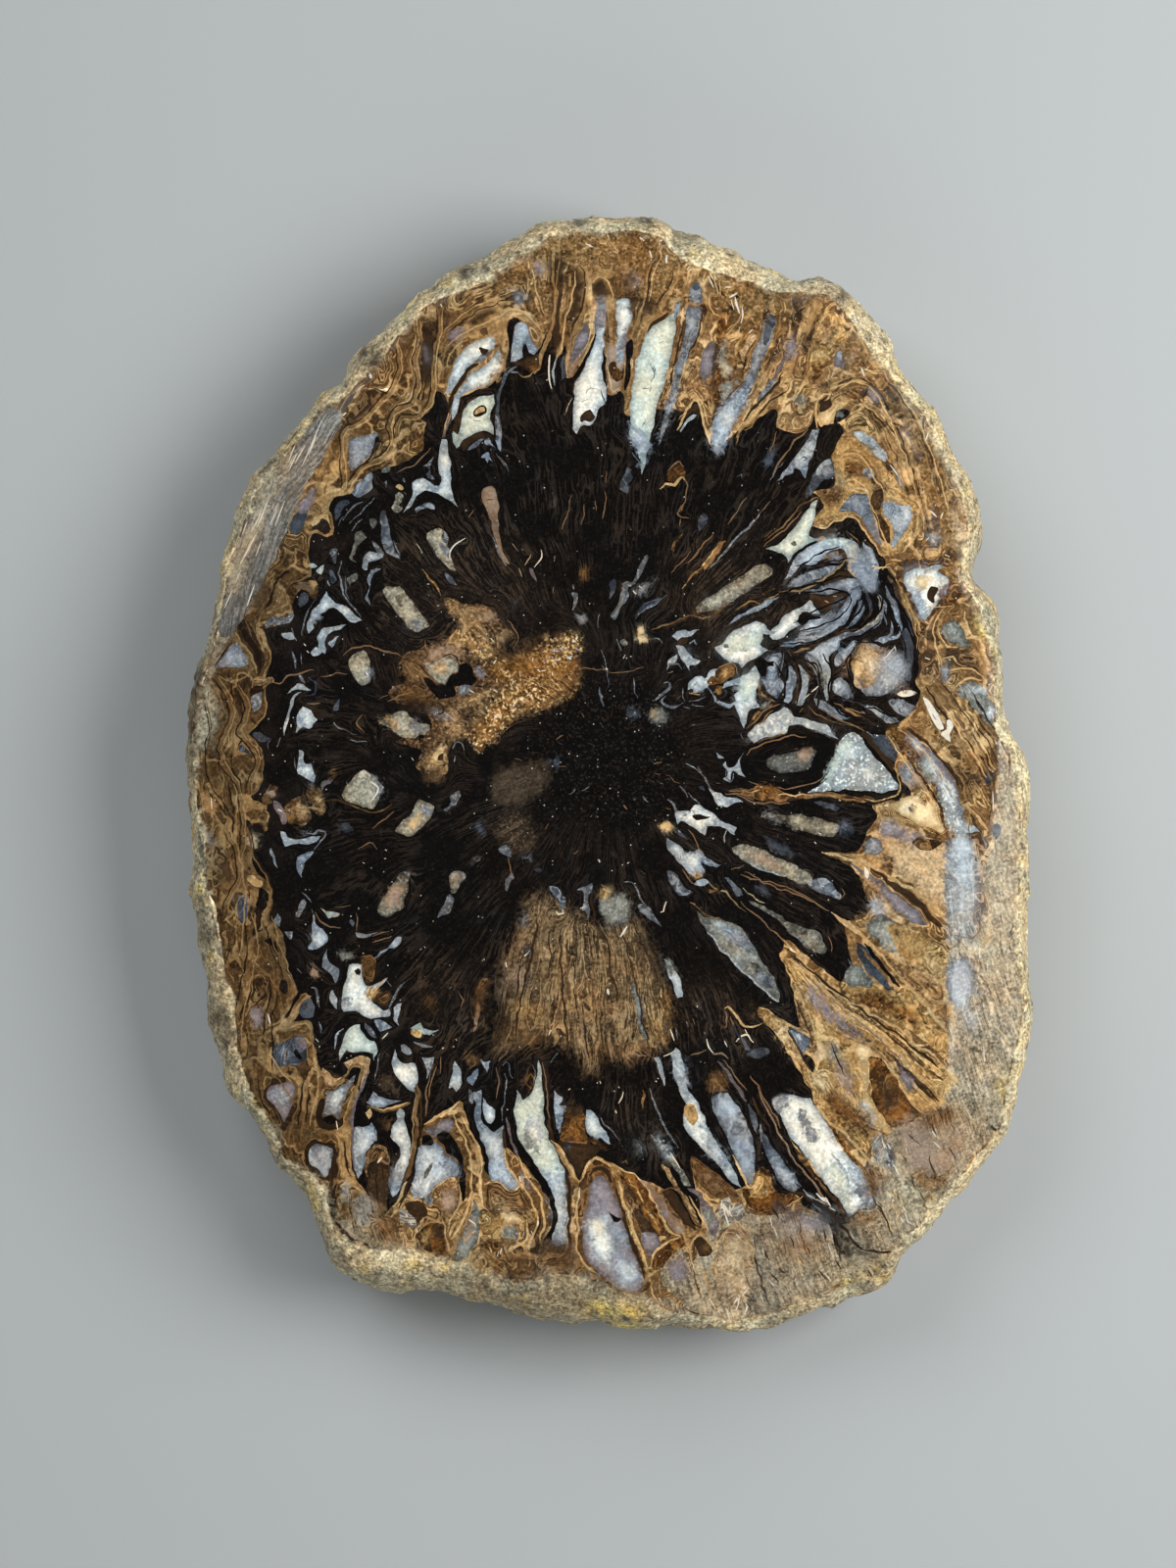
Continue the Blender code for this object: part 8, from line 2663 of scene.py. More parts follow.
s h 2.5 762.5,1332.2 761.3,1338.1
s h 2.3 754.7,1322.4 753.2,1333.3
s h 2.0 762.8,1335.8 759.5,1341.4
s w 2.6 901.9,1179.5 903.9,1184.4
s w 3.3 902.6,1176.4 906.6,1183.8
s w 3.2 906.2,1186.1 907.5,1193.8
s w 2.8 904.8,1180.2 907.5,1184.9
s w 2.6 901.3,1179.1 906.3,1184.3
s w 2.9 896.3,1155.1 900.9,1162.3
s w 3.5 909.1,1183.2 911.9,1191.0
s h 2.2 905.6,1166.9 908.6,1172.6
s w 3.5 903.3,1175.0 904.8,1181.0
s w 2.4 900.9,1188.4 907.0,1194.9
# ---- columns of the top rind
b rb 7 500,262 540,246 590,240 640,238 690,262 700,280 684,300 655,300 640,275 600,268 560,262 530,290 505,300
b rb 6 640,262 668,255 690,268 690,292 672,312 655,305 646,290
b rb 6 726,280 760,290 785,300 780,330 764,340 752,330 736,318
b rb 6 545,262 560,300 562,330 552,345 548,318 540,290
b n 5 560,262 575,262 574,300 571,340 564,360 560,330 563,300
b n 4 585,276 596,280 594,310 584,330 580,345 578,330 584,304
b n 4 604,292 612,284 618,292 618,304 606,304
b n 3 664,262 672,258 678,270 676,288 668,290 664,276
b vi 3 644,276 652,272 655,286 648,294
b vi 3 546,268 552,268 554,280 548,282
b wg 3 524,296 536,298 536,308 526,310
s rl 2.6 540,266 541,284 546,302 553,320 556,334
s T 1.4 543,270 545,286 550,304 556,322
s t 2.6 563,246 565,262 564,280 566,300 566,320 561,342 552,366 546,382
s t 1.6 570,246 571,266 568,290 568,312 566,332
s rl 2.2 580,262 576,280 574,304 572,330
s T 1.6 587,278 586,296 580,316 575,338 571,358
s t 1.8 599,274 600,292 596,312 588,332 582,350
s n 1.6 592,270 597,280 597,300 590,322 583,340
s rl 3 603,262 602,280 603,300 604,320
s T 1.6 605,288 611,282 619,286 624,298 626,310
s n 1.6 607,294 612,288 618,294
s t 2.2 672,246 668,262 662,280 658,300 655,314 650,326 646,338
s n 1.6 668,266 663,284 660,300 656,314
s T 1.4 676,250 673,264 668,278 664,296 661,308
s t 2 692,262 692,282 684,300 674,314 664,326 656,340
s n 1.6 688,276 684,292 676,304 668,314
s rl 2.2 640,262 634,272 628,284 627,296
s t 1.6 655,262 650,272 646,282
s T 2 700,290 702,280 708,274 716,272 724,278 730,288
s t 1.8 733,276 740,288 748,296
s n 2 726,284 734,296 742,304
s T 2.3 508.8,254.5 516.5,256.3
s T 2.4 608.1,243.9 602.7,242.0
s T 2.8 721.0,271.8 721.5,278.9
s rl 2.1 733.7,277.2 735.4,283.0
s h 1.9 532.5,244.8 528.3,248.5
s h 2.6 703.6,271.9 701.1,275.1
s T 1.8 516.5,268.9 518.5,276.1
s T 2.6 507.9,267.4 508.4,273.6
s h 2.9 751.7,299.5 744.1,303.6
s T 2.3 737.1,287.6 744.5,287.1
s h 2.9 652.7,242.2 657.3,245.9
s T 2.4 612.8,247.9 618.5,248.3
s rl 2.1 700.3,268.2 701.6,272.7
s h 1.9 597.7,248.6 604.9,252.0
s rl 2.9 558.2,245.6 559.8,250.9
s T 3.1 713.4,276.0 712.0,281.0
s h 2.7 672.8,246.6 678.4,239.9
s h 3.2 709.4,263.9 706.2,268.9
s cr 1.9 532.9,268.0 528.4,270.4
s rl 2.8 612.6,232.1 616.0,238.2
s h 2.7 523.6,265.4 522.8,269.5
s cr 2.1 622.1,245.3 626.5,249.9
s h 3.2 619.3,236.7 621.0,241.4
s cr 3.2 566.2,238.6 561.1,242.1
s rl 3.1 540.1,255.1 541.3,262.6
s T 2.3 712.7,270.2 712.1,276.2
s h 3.4 680.3,259.9 679.8,268.7
s cr 2.9 620.4,231.8 623.7,234.9
s cr 2.9 626.5,255.3 632.1,258.2
s rl 2.7 766.2,305.2 760.4,310.5
s h 2.0 507.8,263.8 516.5,262.2
s cr 2.4 517.3,256.0 523.6,256.2
s h 2.5 662.8,255.8 665.0,262.7
s cr 2.1 673.7,243.8 673.2,252.7
s T 2.3 719.5,279.3 716.6,287.5
s T 1.8 700.8,264.0 705.2,267.0
s cr 2.1 595.2,253.0 602.5,250.4
s T 3.1 705.0,271.8 709.0,272.3
s h 3.1 612.5,234.6 619.0,231.2
s rl 2.4 747.3,294.6 754.9,297.6
s h 3.1 599.7,249.8 603.9,251.6
s h 2.2 739.6,292.9 746.5,293.1
s T 2.7 653.2,243.0 657.4,244.7
s cr 2.7 594.6,226.3 597.6,233.2
s T 3.4 612.0,231.6 614.8,238.7
s cr 2.2 556.1,243.5 558.6,247.7
s h 1.8 726.7,274.2 729.8,282.5
s T 2.1 729.8,287.6 732.4,298.8
s h 1.7 722.8,281.8 728.1,293.5
s T 1.7 734.6,287.8 734.8,299.1
s h 2.1 721.6,270.2 726.4,278.7
s T 2.0 725.8,271.0 729.5,277.0
s T 2.5 729.9,280.0 731.0,287.9
s T 1.9 724.6,274.5 727.5,283.9
s h 2.6 750,303 752,312 755,320
s h 1.6 746,306 749,316
s h 1.6 757,312 758,322 756,330
s h 2 764,340 768,336
s h 2 766,345 770,342
s T 1.6 742,318 740,332
s T 1.2 756,334 752,346
# ---- laminae at the top right
b rb 6 862,352 880,350 884,372 870,382 860,370
b tg 4 864,358 876,356 878,370 868,374
b rb 8 905,400 940,440 965,500 980,545 968,560 950,540 936,480 915,430 900,412
s rl 3 847,389 867,381 891,386 908,410 921,437 935,477 945,511 952,545
s rd 1.4 850,393 868,386 889,391 904,413 917,440 931,479 941,512 948,544
s T 1.4 846,397 866,390 886,394 902,416 914,442 927,478 937,508 944,540
s rl 2.4 840,410 860,396 877,403 894,420 908,440 921,470 931,501 938,512
s rd 1.2 842,415 860,402 874,408 890,424 904,445 917,474 927,502
s t 1.8 845,420 862,408 874,413 888,428 901,449 914,478 925,503 938,518 940,545
s t 1.6 854,464 874,457 889,468 898,484 906,497 921,508 934,520
s T 1.4 852,470 872,463 885,474 893,489 902,502
s t 1.6 895,380 915,404 930,432 946,470 956,505 962,545
s rd 1.4 900,382 920,406 936,434 951,472 960,505
s T 1.2 915,396 934,424 950,462 962,500 970,540
p w 872,440! 878,439 888,447 897,456 904,466 905,472! 898,469 889,460 880,451 873,446
b gg 3 880,446 890,452 896,462 888,460
s h 1.8 947.3,441.4 944.6,449.3
s T 2.5 995.9,555.8 992.5,565.1
s rl 2.7 991.2,578.9 998.1,585.8
s h 1.6 987.1,560.2 987.9,566.3
s T 2.0 984.0,565.1 992.4,569.2
s h 2.5 995.6,566.8 998.7,572.1
s h 2.1 886.1,374.2 883.7,377.6
s rl 1.6 973.7,567.1 982.0,565.0
s n 2.6 872.6,339.8 873.0,344.7
s T 1.9 906.2,402.3 905.9,407.9
s h 2.1 962.2,522.7 959.9,529.1
s h 2.7 1008.8,551.3 1005.0,556.3
s h 1.9 991.4,589.0 997.5,596.4
s rl 2.2 885.7,357.7 885.3,362.2
s h 2.7 879.0,375.0 882.0,383.9
s rl 1.9 1005.9,569.0 1002.1,577.1
s T 2.1 902.7,414.5 903.4,418.6
s n 2.8 941.6,428.0 942.1,437.7
s n 2.6 884.9,398.0 881.1,405.3
s n 1.8 863.2,347.4 866.3,352.0
s h 2.5 949.3,521.0 955.8,527.4
s rl 2.0 963.3,491.1 966.0,497.5
s n 1.7 911.3,424.5 920.5,427.5
s T 1.9 969.6,536.6 973.0,544.5
s T 2.6 979.6,534.3 988.8,537.9
s rl 1.7 984.2,499.2 980.9,508.1
# ---- the gold by the pith
b am 6 500,672 530,664 560,664 590,672 592,690 586,706 566,716 540,704 520,690 500,690
b bw 5 530,672 552,668 560,680 548,694 532,690
b bw 4 570,690 586,688 588,700 574,704
b gs 3.5 484,760 479,752 488,740 500,728 512,716 524,706 536,702 548,706 556,712 548,722 530,724 518,730 508,742 498,756 490,766
b gs 3 560,668 574,660 588,650 594,660 584,668 578,680 566,680
b gs 3 498,664 510,672 524,684 536,700 526,702 512,690 500,678
b og 4 456,614 470,616 486,628 500,650 506,668 494,668 480,650 466,634
b gs 3 478,652 488,656 496,668 488,672 480,662
s og 1.1 555.3,696.9 580.3,708.1
s og 1.1 556.7,696.9 562.0,704.2
s gs 0.9 535.0,695.2 540.7,703.5
s T 1.1 547.3,692.5 558.5,706.0
s n 1.0 550.0,697.9 564.2,705.9
s gs 1.4 539.7,687.6 562.3,702.5
s T 1.5 534.8,690.0 549.7,698.9
s n 1.1 568.6,693.9 587.0,706.3
s og 1.0 569.0,686.0 585.5,695.3
s am 1.0 555.3,692.6 568.7,700.3
s T 1.1 553.0,700.9 567.3,712.7
s og 1.2 538.3,689.6 554.5,698.5
s T 1.5 559.0,688.4 573.3,704.3
s n 1.4 539.2,703.6 553.8,716.5
s am 1.3 543.8,696.0 555.9,709.9
s am 1.3 555.0,685.0 566.3,695.2
s n 1.4 544.9,695.9 566.5,703.9
s am 1.1 562.8,694.7 575.3,700.6
s gs 1.2 550.3,701.4 566.6,712.3
s og 1.2 543.8,693.2 558.1,701.3
s cr 3.0 533.4,719.3 536.0,715.8
s T 3.9 493.8,744.1 494.7,747.7
s T 2.5 535.1,712.7 538.9,715.4
s T 3.4 488.4,755.1 490.3,758.0
s cr 3.2 506.0,732.4 508.6,729.9
s n 3.8 514.4,719.4 516.3,722.3
s cr 3.6 531.3,712.4 530.7,715.7
s cr 4.0 538.2,713.2 539.7,717.2
s T 4.0 523.3,722.0 522.5,726.1
s cr 2.8 519.5,721.8 524.3,722.9
s h 3.9 508.4,728.9 510.7,732.6
s cr 4.0 511.9,723.3 515.3,722.8
s cr 3.2 528.8,723.7 532.8,725.8
s n 2.9 535.6,711.8 539.2,711.5
s h 4.0 505.5,730.2 504.5,734.2
s cr 3.2 502.2,740.0 505.8,740.1
s cr 4.1 523.0,724.1 522.5,719.7
s n 4.1 517.3,722.2 520.8,724.1
s h 3.8 541.8,710.2 544.1,714.1
s n 3.7 518.0,725.0 519.6,728.1
s T 4.1 503.5,738.7 504.9,734.3
s cr 3.7 529.8,711.3 529.7,715.2
s n 3.8 531.5,721.9 534.9,722.3
s h 2.9 530.9,713.8 534.3,715.5
s n 3.8 538.5,713.9 541.5,713.3
s h 3.3 523.0,725.0 526.8,723.1
s h 3.8 525.6,716.3 523.9,720.7
s cr 3.1 511.9,722.9 516.7,723.4
s T 2.7 489.7,752.2 493.8,749.8
s h 3.0 506.3,732.9 508.0,728.7
s h 3.9 584.7,652.4 587.1,655.2
s w 2.6 578.4,673.7 581.0,671.4
s w 2.8 571.2,659.5 574.0,664.2
s w 4.5 579.1,671.7 583.7,669.6
s cr 4.6 589.7,660.8 593.3,662.9
s w 3.3 566.6,661.3 563.8,664.4
s w 4.5 566.1,663.9 570.5,663.1
s w 2.8 558.0,671.8 562.4,670.6
s h 3.4 589.1,649.6 587.7,653.4
s cr 3.6 566.9,669.8 569.1,673.7
s w 4.3 566.4,674.3 571.2,673.8
s h 3.5 578.5,670.7 582.9,672.5
s cr 2.6 578.3,661.4 577.2,665.3
s w 4.1 587.0,660.1 590.9,662.4
s n 3.2 512.4,708.1 512.5,712.1
s h 3.3 506.1,674.0 503.4,677.0
s h 2.5 489.9,663.3 490.6,666.4
s h 2.3 500.7,651.3 503.7,654.8
s n 3.0 478.2,642.3 481.4,644.8
s n 2.4 481.7,709.0 479.3,712.1
s h 2.5 523.7,695.0 523.0,698.2
s T 2.3 483.3,732.1 486.2,733.5
s hb 2.6 488.3,725.7 489.6,728.4
s h 2.7 479.5,704.5 483.6,706.7
s T 3.2 507.8,692.6 507.5,696.3
s n 2.9 485.9,725.6 488.7,722.5
s n 3.2 491.7,714.2 495.0,715.1
s T 3.3 500.7,666.8 498.2,670.3
s T 3.0 479.0,715.4 482.4,713.7
s hb 2.0 508.9,696.3 509.8,699.2
s n 3.4 499.9,677.9 498.1,681.1
s n 2.4 494.9,675.3 491.4,675.2
s T 2.2 473.2,644.1 475.5,641.4
s n 3.1 488.1,650.1 491.2,649.8
s h 2.2 503.9,704.0 507.5,706.1
s T 2.8 496.1,675.8 493.9,678.8
s hb 2.9 512.2,701.5 509.3,702.4
s hb 3.1 516.3,698.2 514.3,702.0
s T 3.3 513.0,673.0 516.0,674.3
s h 3.1 563.5,686.0 563.9,689.3
s T 2.1 547.1,678.4 545.2,681.0
s n 2.4 525.6,675.3 529.4,676.1
s n 2.4 548.1,700.4 549.6,704.2
s T 2.3 575.6,681.3 577.5,678.2
s h 2.4 544.1,671.1 543.3,674.4
s h 2.5 552.4,684.7 556.6,684.2
s T 2.0 522.8,688.9 526.1,685.6
s T 2.5 569.0,691.8 569.8,695.4
s n 3.4 577.2,690.2 580.6,692.3
s h 3.3 548.5,683.2 551.5,685.5
s T 2.2 530.2,690.7 530.6,685.9
s T 2.3 565.8,677.8 565.5,681.0
s T 3.1 525.6,677.5 529.7,677.5
s n 3.4 538.1,660.3 539.3,663.9
s T 2.1 544.0,668.5 548.3,667.1
s h 2.9 543.6,704.1 547.1,704.3
s n 3.4 522.1,684.2 520.6,687.9
s n 3.2 536.9,699.8 537.7,703.0
s T 2.5 513.7,684.1 517.7,685.4
s n 3.0 517.2,677.7 520.7,679.5
s n 2.0 572.4,675.1 574.0,678.8
s n 2.5 557.3,710.4 561.8,708.4
s T 2.2 545.2,679.4 549.9,680.9
s n 2.7 532.2,667.8 534.0,663.4
# ---- short threads round the pith
s bd 0.8 665.5,746.8 668.3,741.9
s gg 1.0 672.9,798.8 676.7,800.1
s br 1.4 620.9,742.6 619.6,738.9
s br 0.8 607.8,725.5 607.0,720.4
s n 0.9 722.5,799.4 730.9,800.6
s br 1.0 529.8,782.0 521.0,781.8
s br 1.2 593.4,717.3 590.6,714.3
s n 1.1 574.2,869.4 571.3,874.6
s bd 1.1 695.7,829.4 701.1,831.9
s br 1.0 709.7,789.6 713.1,793.3
s bd 1.0 661.5,793.4 667.6,797.9
s gg 1.3 625.4,829.7 623.8,833.1
s hb 1.1 574.7,751.4 567.7,754.7
s hb 1.1 693.3,870.5 696.1,877.1
s br 1.1 581.2,881.9 577.9,888.7
s hb 1.1 577.7,781.2 570.7,780.8
s br 0.8 625.4,869.3 625.0,873.6
s br 0.8 635.7,827.2 631.0,834.9
s br 0.9 541.3,797.0 535.9,794.2
s bd 0.8 650.5,732.6 653.8,728.9
s br 1.1 590.9,735.6 585.7,735.2
s br 1.3 549.7,768.5 542.3,767.9
s br 1.3 660.7,736.3 667.9,731.9
s br 1.3 624.6,743.5 623.5,740.0
s hb 1.1 679.5,823.7 684.9,826.1
s gg 0.9 681.8,778.7 685.0,779.1
s hb 1.3 617.1,685.0 613.6,680.1
s br 1.4 663.2,841.6 664.5,845.9
s bd 1.3 673.5,807.7 676.4,812.4
s hb 1.0 695.9,833.1 702.0,833.5
s br 1.4 584.9,806.4 584.1,809.7
s br 1.3 601.2,807.0 597.7,807.2
s bd 0.9 590.0,771.7 585.6,771.6
s gg 0.8 570.5,858.9 570.1,863.1
s gg 1.3 705.8,826.8 711.0,831.3
s bd 0.8 664.4,777.1 667.6,778.4
s gg 1.0 652.5,889.4 657.6,891.5
s br 1.0 612.2,866.3 612.4,873.9
s br 0.9 618.8,706.3 620.2,702.3
s hb 1.2 591.4,867.3 586.0,872.0
s br 1.0 596.1,709.6 593.5,704.8
s gg 1.4 731.1,799.0 734.3,798.3
s br 0.9 602.3,827.6 599.2,833.5
s hb 1.3 690.2,712.0 694.0,708.7
s br 1.3 635.6,722.8 635.9,716.2
s bd 1.2 615.2,743.2 611.9,737.2
s br 1.4 607.2,761.9 601.3,757.9
s gg 0.9 704.3,740.6 709.0,738.9
s n 0.8 587.0,715.1 584.3,708.6
s gg 1.3 615.2,743.8 613.8,740.6
s hb 1.2 558.9,840.3 556.5,844.6
s hb 1.4 596.1,732.1 594.0,727.9
s n 1.2 581.7,674.6 585.0,667.2
s br 1.1 564.2,784.2 556.7,784.7
s br 0.9 565.8,805.7 561.7,808.9
s n 0.9 615.7,738.0 613.1,730.2
s hb 1.3 531.8,775.6 525.8,773.9
s bd 0.9 654.9,733.7 659.7,729.3
s hb 1.2 665.5,779.1 674.2,776.8
s bd 1.0 574.2,759.3 568.5,755.6
s n 1.4 622.9,731.6 624.4,723.3
s hb 0.8 666.6,787.7 673.1,789.7
s gg 0.9 631.6,669.9 632.7,666.8
s br 1.0 650.1,825.1 650.3,833.4
s gg 0.9 576.3,785.5 572.0,784.9
s br 1.1 692.8,694.0 700.2,690.2
s bd 0.8 607.6,830.7 606.6,834.0
s bd 0.8 676.6,795.4 684.3,796.1
s br 0.9 631.2,667.6 632.3,659.2
s bd 1.0 627.1,806.8 626.0,810.4
# ---- flecks in the rind
s T 2.7 465.9,1236.8 470.4,1241.4
s T 2.3 450.9,1216.3 447.6,1220.4
s h 1.9 420.3,1207.0 425.2,1211.9
s h 1.8 343.1,1143.9 344.7,1152.7
s n 2.8 489.6,1268.6 494.9,1269.4
s h 2.8 389.6,1181.2 385.3,1186.5
s T 1.8 551.3,1291.6 552.0,1298.5
s T 2.9 485.1,1255.0 482.1,1258.9
s n 2.1 527.3,1305.3 530.0,1311.6
s n 2.6 601.4,1307.7 609.5,1307.7
s T 2.1 431.0,1241.8 431.6,1248.5
s T 2.3 584.1,1288.4 587.5,1292.5
s rl 2.1 565.9,1325.9 566.8,1330.9
s h 2.5 558.9,1318.0 561.2,1323.9
s T 2.0 437.4,1243.1 435.3,1247.6
s rl 2.5 427.5,1201.9 428.5,1205.9
s n 2.2 382.7,1152.7 381.3,1157.6
s T 2.0 463.4,1239.9 466.7,1242.2
s T 2.1 623.8,1327.6 632.1,1327.9
s T 2.6 498.8,1271.5 501.7,1278.1
s h 1.9 508.8,1277.3 507.4,1282.1
s h 1.7 512.1,1273.3 510.3,1279.8
s rl 2.3 531.6,1276.0 533.8,1284.2
s T 2.8 609.4,1306.8 607.2,1310.5
s n 2.7 596.1,1313.9 600.9,1317.3
s rl 2.5 470.7,1234.2 471.2,1239.7
s rd 2.4 238.1,783.2 238.1,789.4
s rl 1.6 294.6,1090.4 294.4,1096.7
s T 1.7 248.1,1005.0 254.3,1014.9
s rd 2.6 294.7,1069.9 291.0,1080.2
s rl 2.5 275.6,1020.7 274.8,1029.4
s n 2.1 253.4,906.8 253.8,918.2
s rd 2.4 229.0,921.4 227.8,928.8
s n 2.2 234.2,968.2 233.0,977.3
s T 2.2 249.3,1007.0 252.1,1017.2
s rl 1.8 211.5,706.0 211.5,713.8
s T 2.5 236.4,925.0 238.1,932.2
s n 1.8 241.2,796.5 239.6,803.0
s h 2.3 273.4,1034.7 275.8,1044.7
s rd 2.2 226.1,737.8 225.5,744.2
s T 1.5 206.6,708.7 207.6,719.1
s rd 2.3 223.3,906.3 222.8,916.0
s h 2.4 246.7,830.2 248.1,835.1
s T 1.6 233.9,735.1 236.5,744.1
s n 1.8 278.4,1030.4 282.3,1041.0
s h 1.7 215.5,814.1 216.2,825.8
s T 1.9 283.8,1056.5 284.9,1066.0
s T 1.6 223.9,750.9 226.8,757.6
s n 1.8 281.5,1057.1 279.9,1067.5
s rd 2.5 237.7,870.8 234.5,879.2
s T 1.5 240.3,945.1 240.3,951.7
s rl 1.9 216.2,824.0 218.7,835.0
# ---- dark lines through the swirl
s k 2 760,614 779,609 808,601 840,593 866,588 880,594 883,610 872,630 850,649 824,658 802,662
s k 1.8 808,636 830,623 856,614 869,604
s k 2 779,668 798,658 824,655 853,646 882,636 898,623 901,604
s k 2 802,665 814,681 816,700 811,722
s k 2 821,671 834,681 837,703 834,726
s k 2.2 840,668 848,684 846,710 856,726 888,735 914,742
s k 2.2 910,604 926,630 934,652 936,684 933,700
s k 1.8 898,633 885,646 872,655
s k 1.8 808,585 834,566 856,559
s k 1.6 811,578 840,575 866,570 894,578
s k 1.8 800,610 830,604 856,602 868,610 860,626 836,638 812,646
s k 1.8 872,660 864,676 868,694 880,708
s k 2 866,720 892,724 915,732
s k 1.6 905,612 918,640 924,668 922,690
s k 1.6 790,676 800,694 800,714
b bl 4 866,556 880,560 894,588 894,604 882,602 868,578
b pk 5 876,664 890,660 900,674 896,690 886,702 877,688
b wg 5 896,668 918,666 926,688 912,706 899,702
b rd 3 872,662 884,656 896,658 886,664 876,668
s k 2.6 872,656 890,655 906,658 918,652
s k 2.6 868,668 867,684 872,700 884,711 900,713
s h 1.2 901,674 908,666 913,660
# ---- the strap and the fibres at the right
b am 4 906,744 920,741 931,752 927,766 913,760
b bw 3 918,752 934,760 944,774 936,778 924,766
b gg 4 940,768 956,786 952,800 938,784
b su 4 955,792 972,815 986,848 972,852 960,822
s am 3 910,748 926,774 942,796 958,822 965,847
s T 1.4 908,752 922,776 938,798 954,824 961,848
s T 1.2 916,744 932,756 948,774 962,794 976,820
s h 1.8 962,806 966,814
s h 2 970,818 973,826
s h 1.8 976,834 979,842
s h 1.6 952,786 956,792
s rd 1.4 953,721 960,730
s rd 1.2 962,738 968,742
s t 1.7 975.0,751.2 991.9,778.2
s rd 1.9 993.3,776.1 1004.3,794.1
s T 2.0 962.3,718.7 978.9,747.7 996.4,774.7 1006.6,792.7
s rl 1.4 982.7,745.7 999.0,772.7 1009.1,790.7 1014.8,812.7
s n 1.3 1001.1,771.3 1010.9,789.3
s t 1.6 985.8,743.7 1001.8,770.7 1012.0,788.7
s rd 1.8 987.3,742.0 1004.0,769.0 1013.6,787.0
s T 1.6 990.0,740.8 1005.8,767.8 1016.3,785.8
s rl 2.2 1008.4,765.9 1018.7,783.9
s n 1.3 995.3,736.8 1011.7,763.8 1021.8,781.8
s t 1.3 997.8,736.1 1012.6,763.1 1022.6,781.1 1028.5,803.1
s rd 1.2 982.2,705.2 999.2,734.2 1015.8,761.2 1025.3,779.2
s T 1.6 1019.1,759.0 1029.0,777.0 1030.0,799.0
s rl 1.4 1021.8,757.3 1030.0,775.3
s n 1.3 987.9,700.6 1005.5,729.6 1022.3,756.6 1030.0,774.6 1030.0,796.6
s t 1.7 1009.4,727.7 1024.1,754.7
s rd 1.4 1012.0,725.6 1028.5,752.6 1030.0,770.6 1030.0,792.6
# ---- fine laminae at the lower left
s t 1.8 251,934 258,968 251,999 244,1036 241,1063
s T 1.4 256,930 263,966 256,1000 249,1036 246,1066
s n 1.6 247,936 253,968 247,998 240,1030
s t 1.8 258,982 271,992 285,1012 288,1036
s T 1.4 278,934 285,961 299,1002
s t 1.6 272,936 279,962 292,1000 296,1024
s n 1.4 268,940 275,964 286,996
s rl 2 236,880 242,910 240,940 236,970
s T 1.4 244,880 250,908 248,940 244,975
s t 1.6 228,800 234,830 232,860 236,880
s T 1.4 236,790 242,822 240,850 244,876
s n 1.6 232,795 238,828 236,856
s t 1.8 262,1060 276,1090 290,1110 300,1130
s T 1.4 268,1056 282,1086 298,1106
s t 1.8 233.8,775.6 233.7,789.3 232.1,803.0
s t 1.8 255.0,711.8 253.1,726.0 254.7,740.1
s rd 1.5 236.9,766.1 235.9,775.6 236.7,785.0
s t 1.8 241.0,714.2 239.9,721.9 241.7,729.7
s t 1.6 236.4,741.5 238.6,756.4 234.8,771.3
s n 1.6 235.9,692.1 236.4,706.1 239.4,720.1
s n 1.2 248.3,692.0 249.4,705.4 247.1,718.8
s t 1.7 239.2,864.9 241.2,877.5 240.6,890.2
s rl 1.7 246.6,731.7 245.3,740.6 247.0,749.6
s rl 1.4 234.3,745.2 232.0,761.9 232.9,778.7
s rd 1.7 242.1,696.1 239.9,705.3 240.5,714.4
s rl 1.5 241.9,736.0 239.9,751.7 239.1,767.5
s t 1.8 251.4,749.7 252.5,759.1 249.0,768.5
s T 1.4 226.7,806.7 227.0,816.3 227.1,825.8
s t 1.3 246.1,837.2 243.9,853.7 246.2,870.1
s t 1.6 236.3,753.6 236.5,761.9 233.5,770.3
s rd 1.4 234.0,681.7 233.4,688.8 237.2,695.9
s n 1.3 225.7,771.7 223.7,782.2 227.7,792.8
s t 1.6 223.9,888.6 226.5,898.7 224.6,908.8
s T 1.5 227.5,854.8 229.0,862.5 230.9,870.1
s rl 1.4 241.9,799.6 241.3,815.3 243.8,831.0
s t 1.5 222.3,838.0 221.6,852.0 225.7,866.1
s t 1.5 239.3,678.3 240.1,690.7 239.6,703.1
s t 1.3 256.0,852.8 254.1,866.6 253.8,880.4
s t 1.5 254.7,668.7 255.8,682.9 254.1,697.1
s T 1.3 226.0,786.6 228.4,798.3 224.6,810.0
# ---- bundles of laminae in the rind
s t 2.2 426.0,326.0 429.0,347.0 423.0,367.0 426.0,393.0 420.0,411.0 402.0,420.0 397.0,434.0 400.0,454.0 391.0,466.0 367.0,478.0 356.0,495.0
s n 1.3 423.4,326.4 426.4,346.8 420.4,366.8 423.4,392.8 418.1,409.3 400.2,418.2 394.4,433.8 397.4,453.5 389.5,463.9 365.3,476.0 353.8,493.6
s T 1.3 428.6,325.6 431.6,347.2 425.6,367.2 428.6,393.2 421.9,412.7 403.8,421.8 399.6,434.2 402.6,454.5 392.5,468.1 368.7,480.0 358.2,496.4
s t 2.2 448.0,315.0 448.0,341.0 443.0,361.0 442.0,387.0 439.0,411.0 426.0,425.0 411.0,424.0 404.0,436.0 406.0,452.0
s n 1.3 445.4,315.0 445.4,340.7 440.4,360.7 439.4,386.8 436.6,410.0 424.9,422.6 409.8,421.7 401.4,435.5 403.4,452.3
s T 1.3 450.6,315.0 450.6,341.3 445.6,361.3 444.6,387.2 441.4,412.0 427.1,427.4 412.2,426.3 406.6,436.5 408.6,451.7
s t 2.2 405.0,352.0 408.0,376.0 400.0,396.0 382.0,417.0 367.0,431.0 350.0,440.0 349.0,460.0 351.0,481.0 351.0,500.0
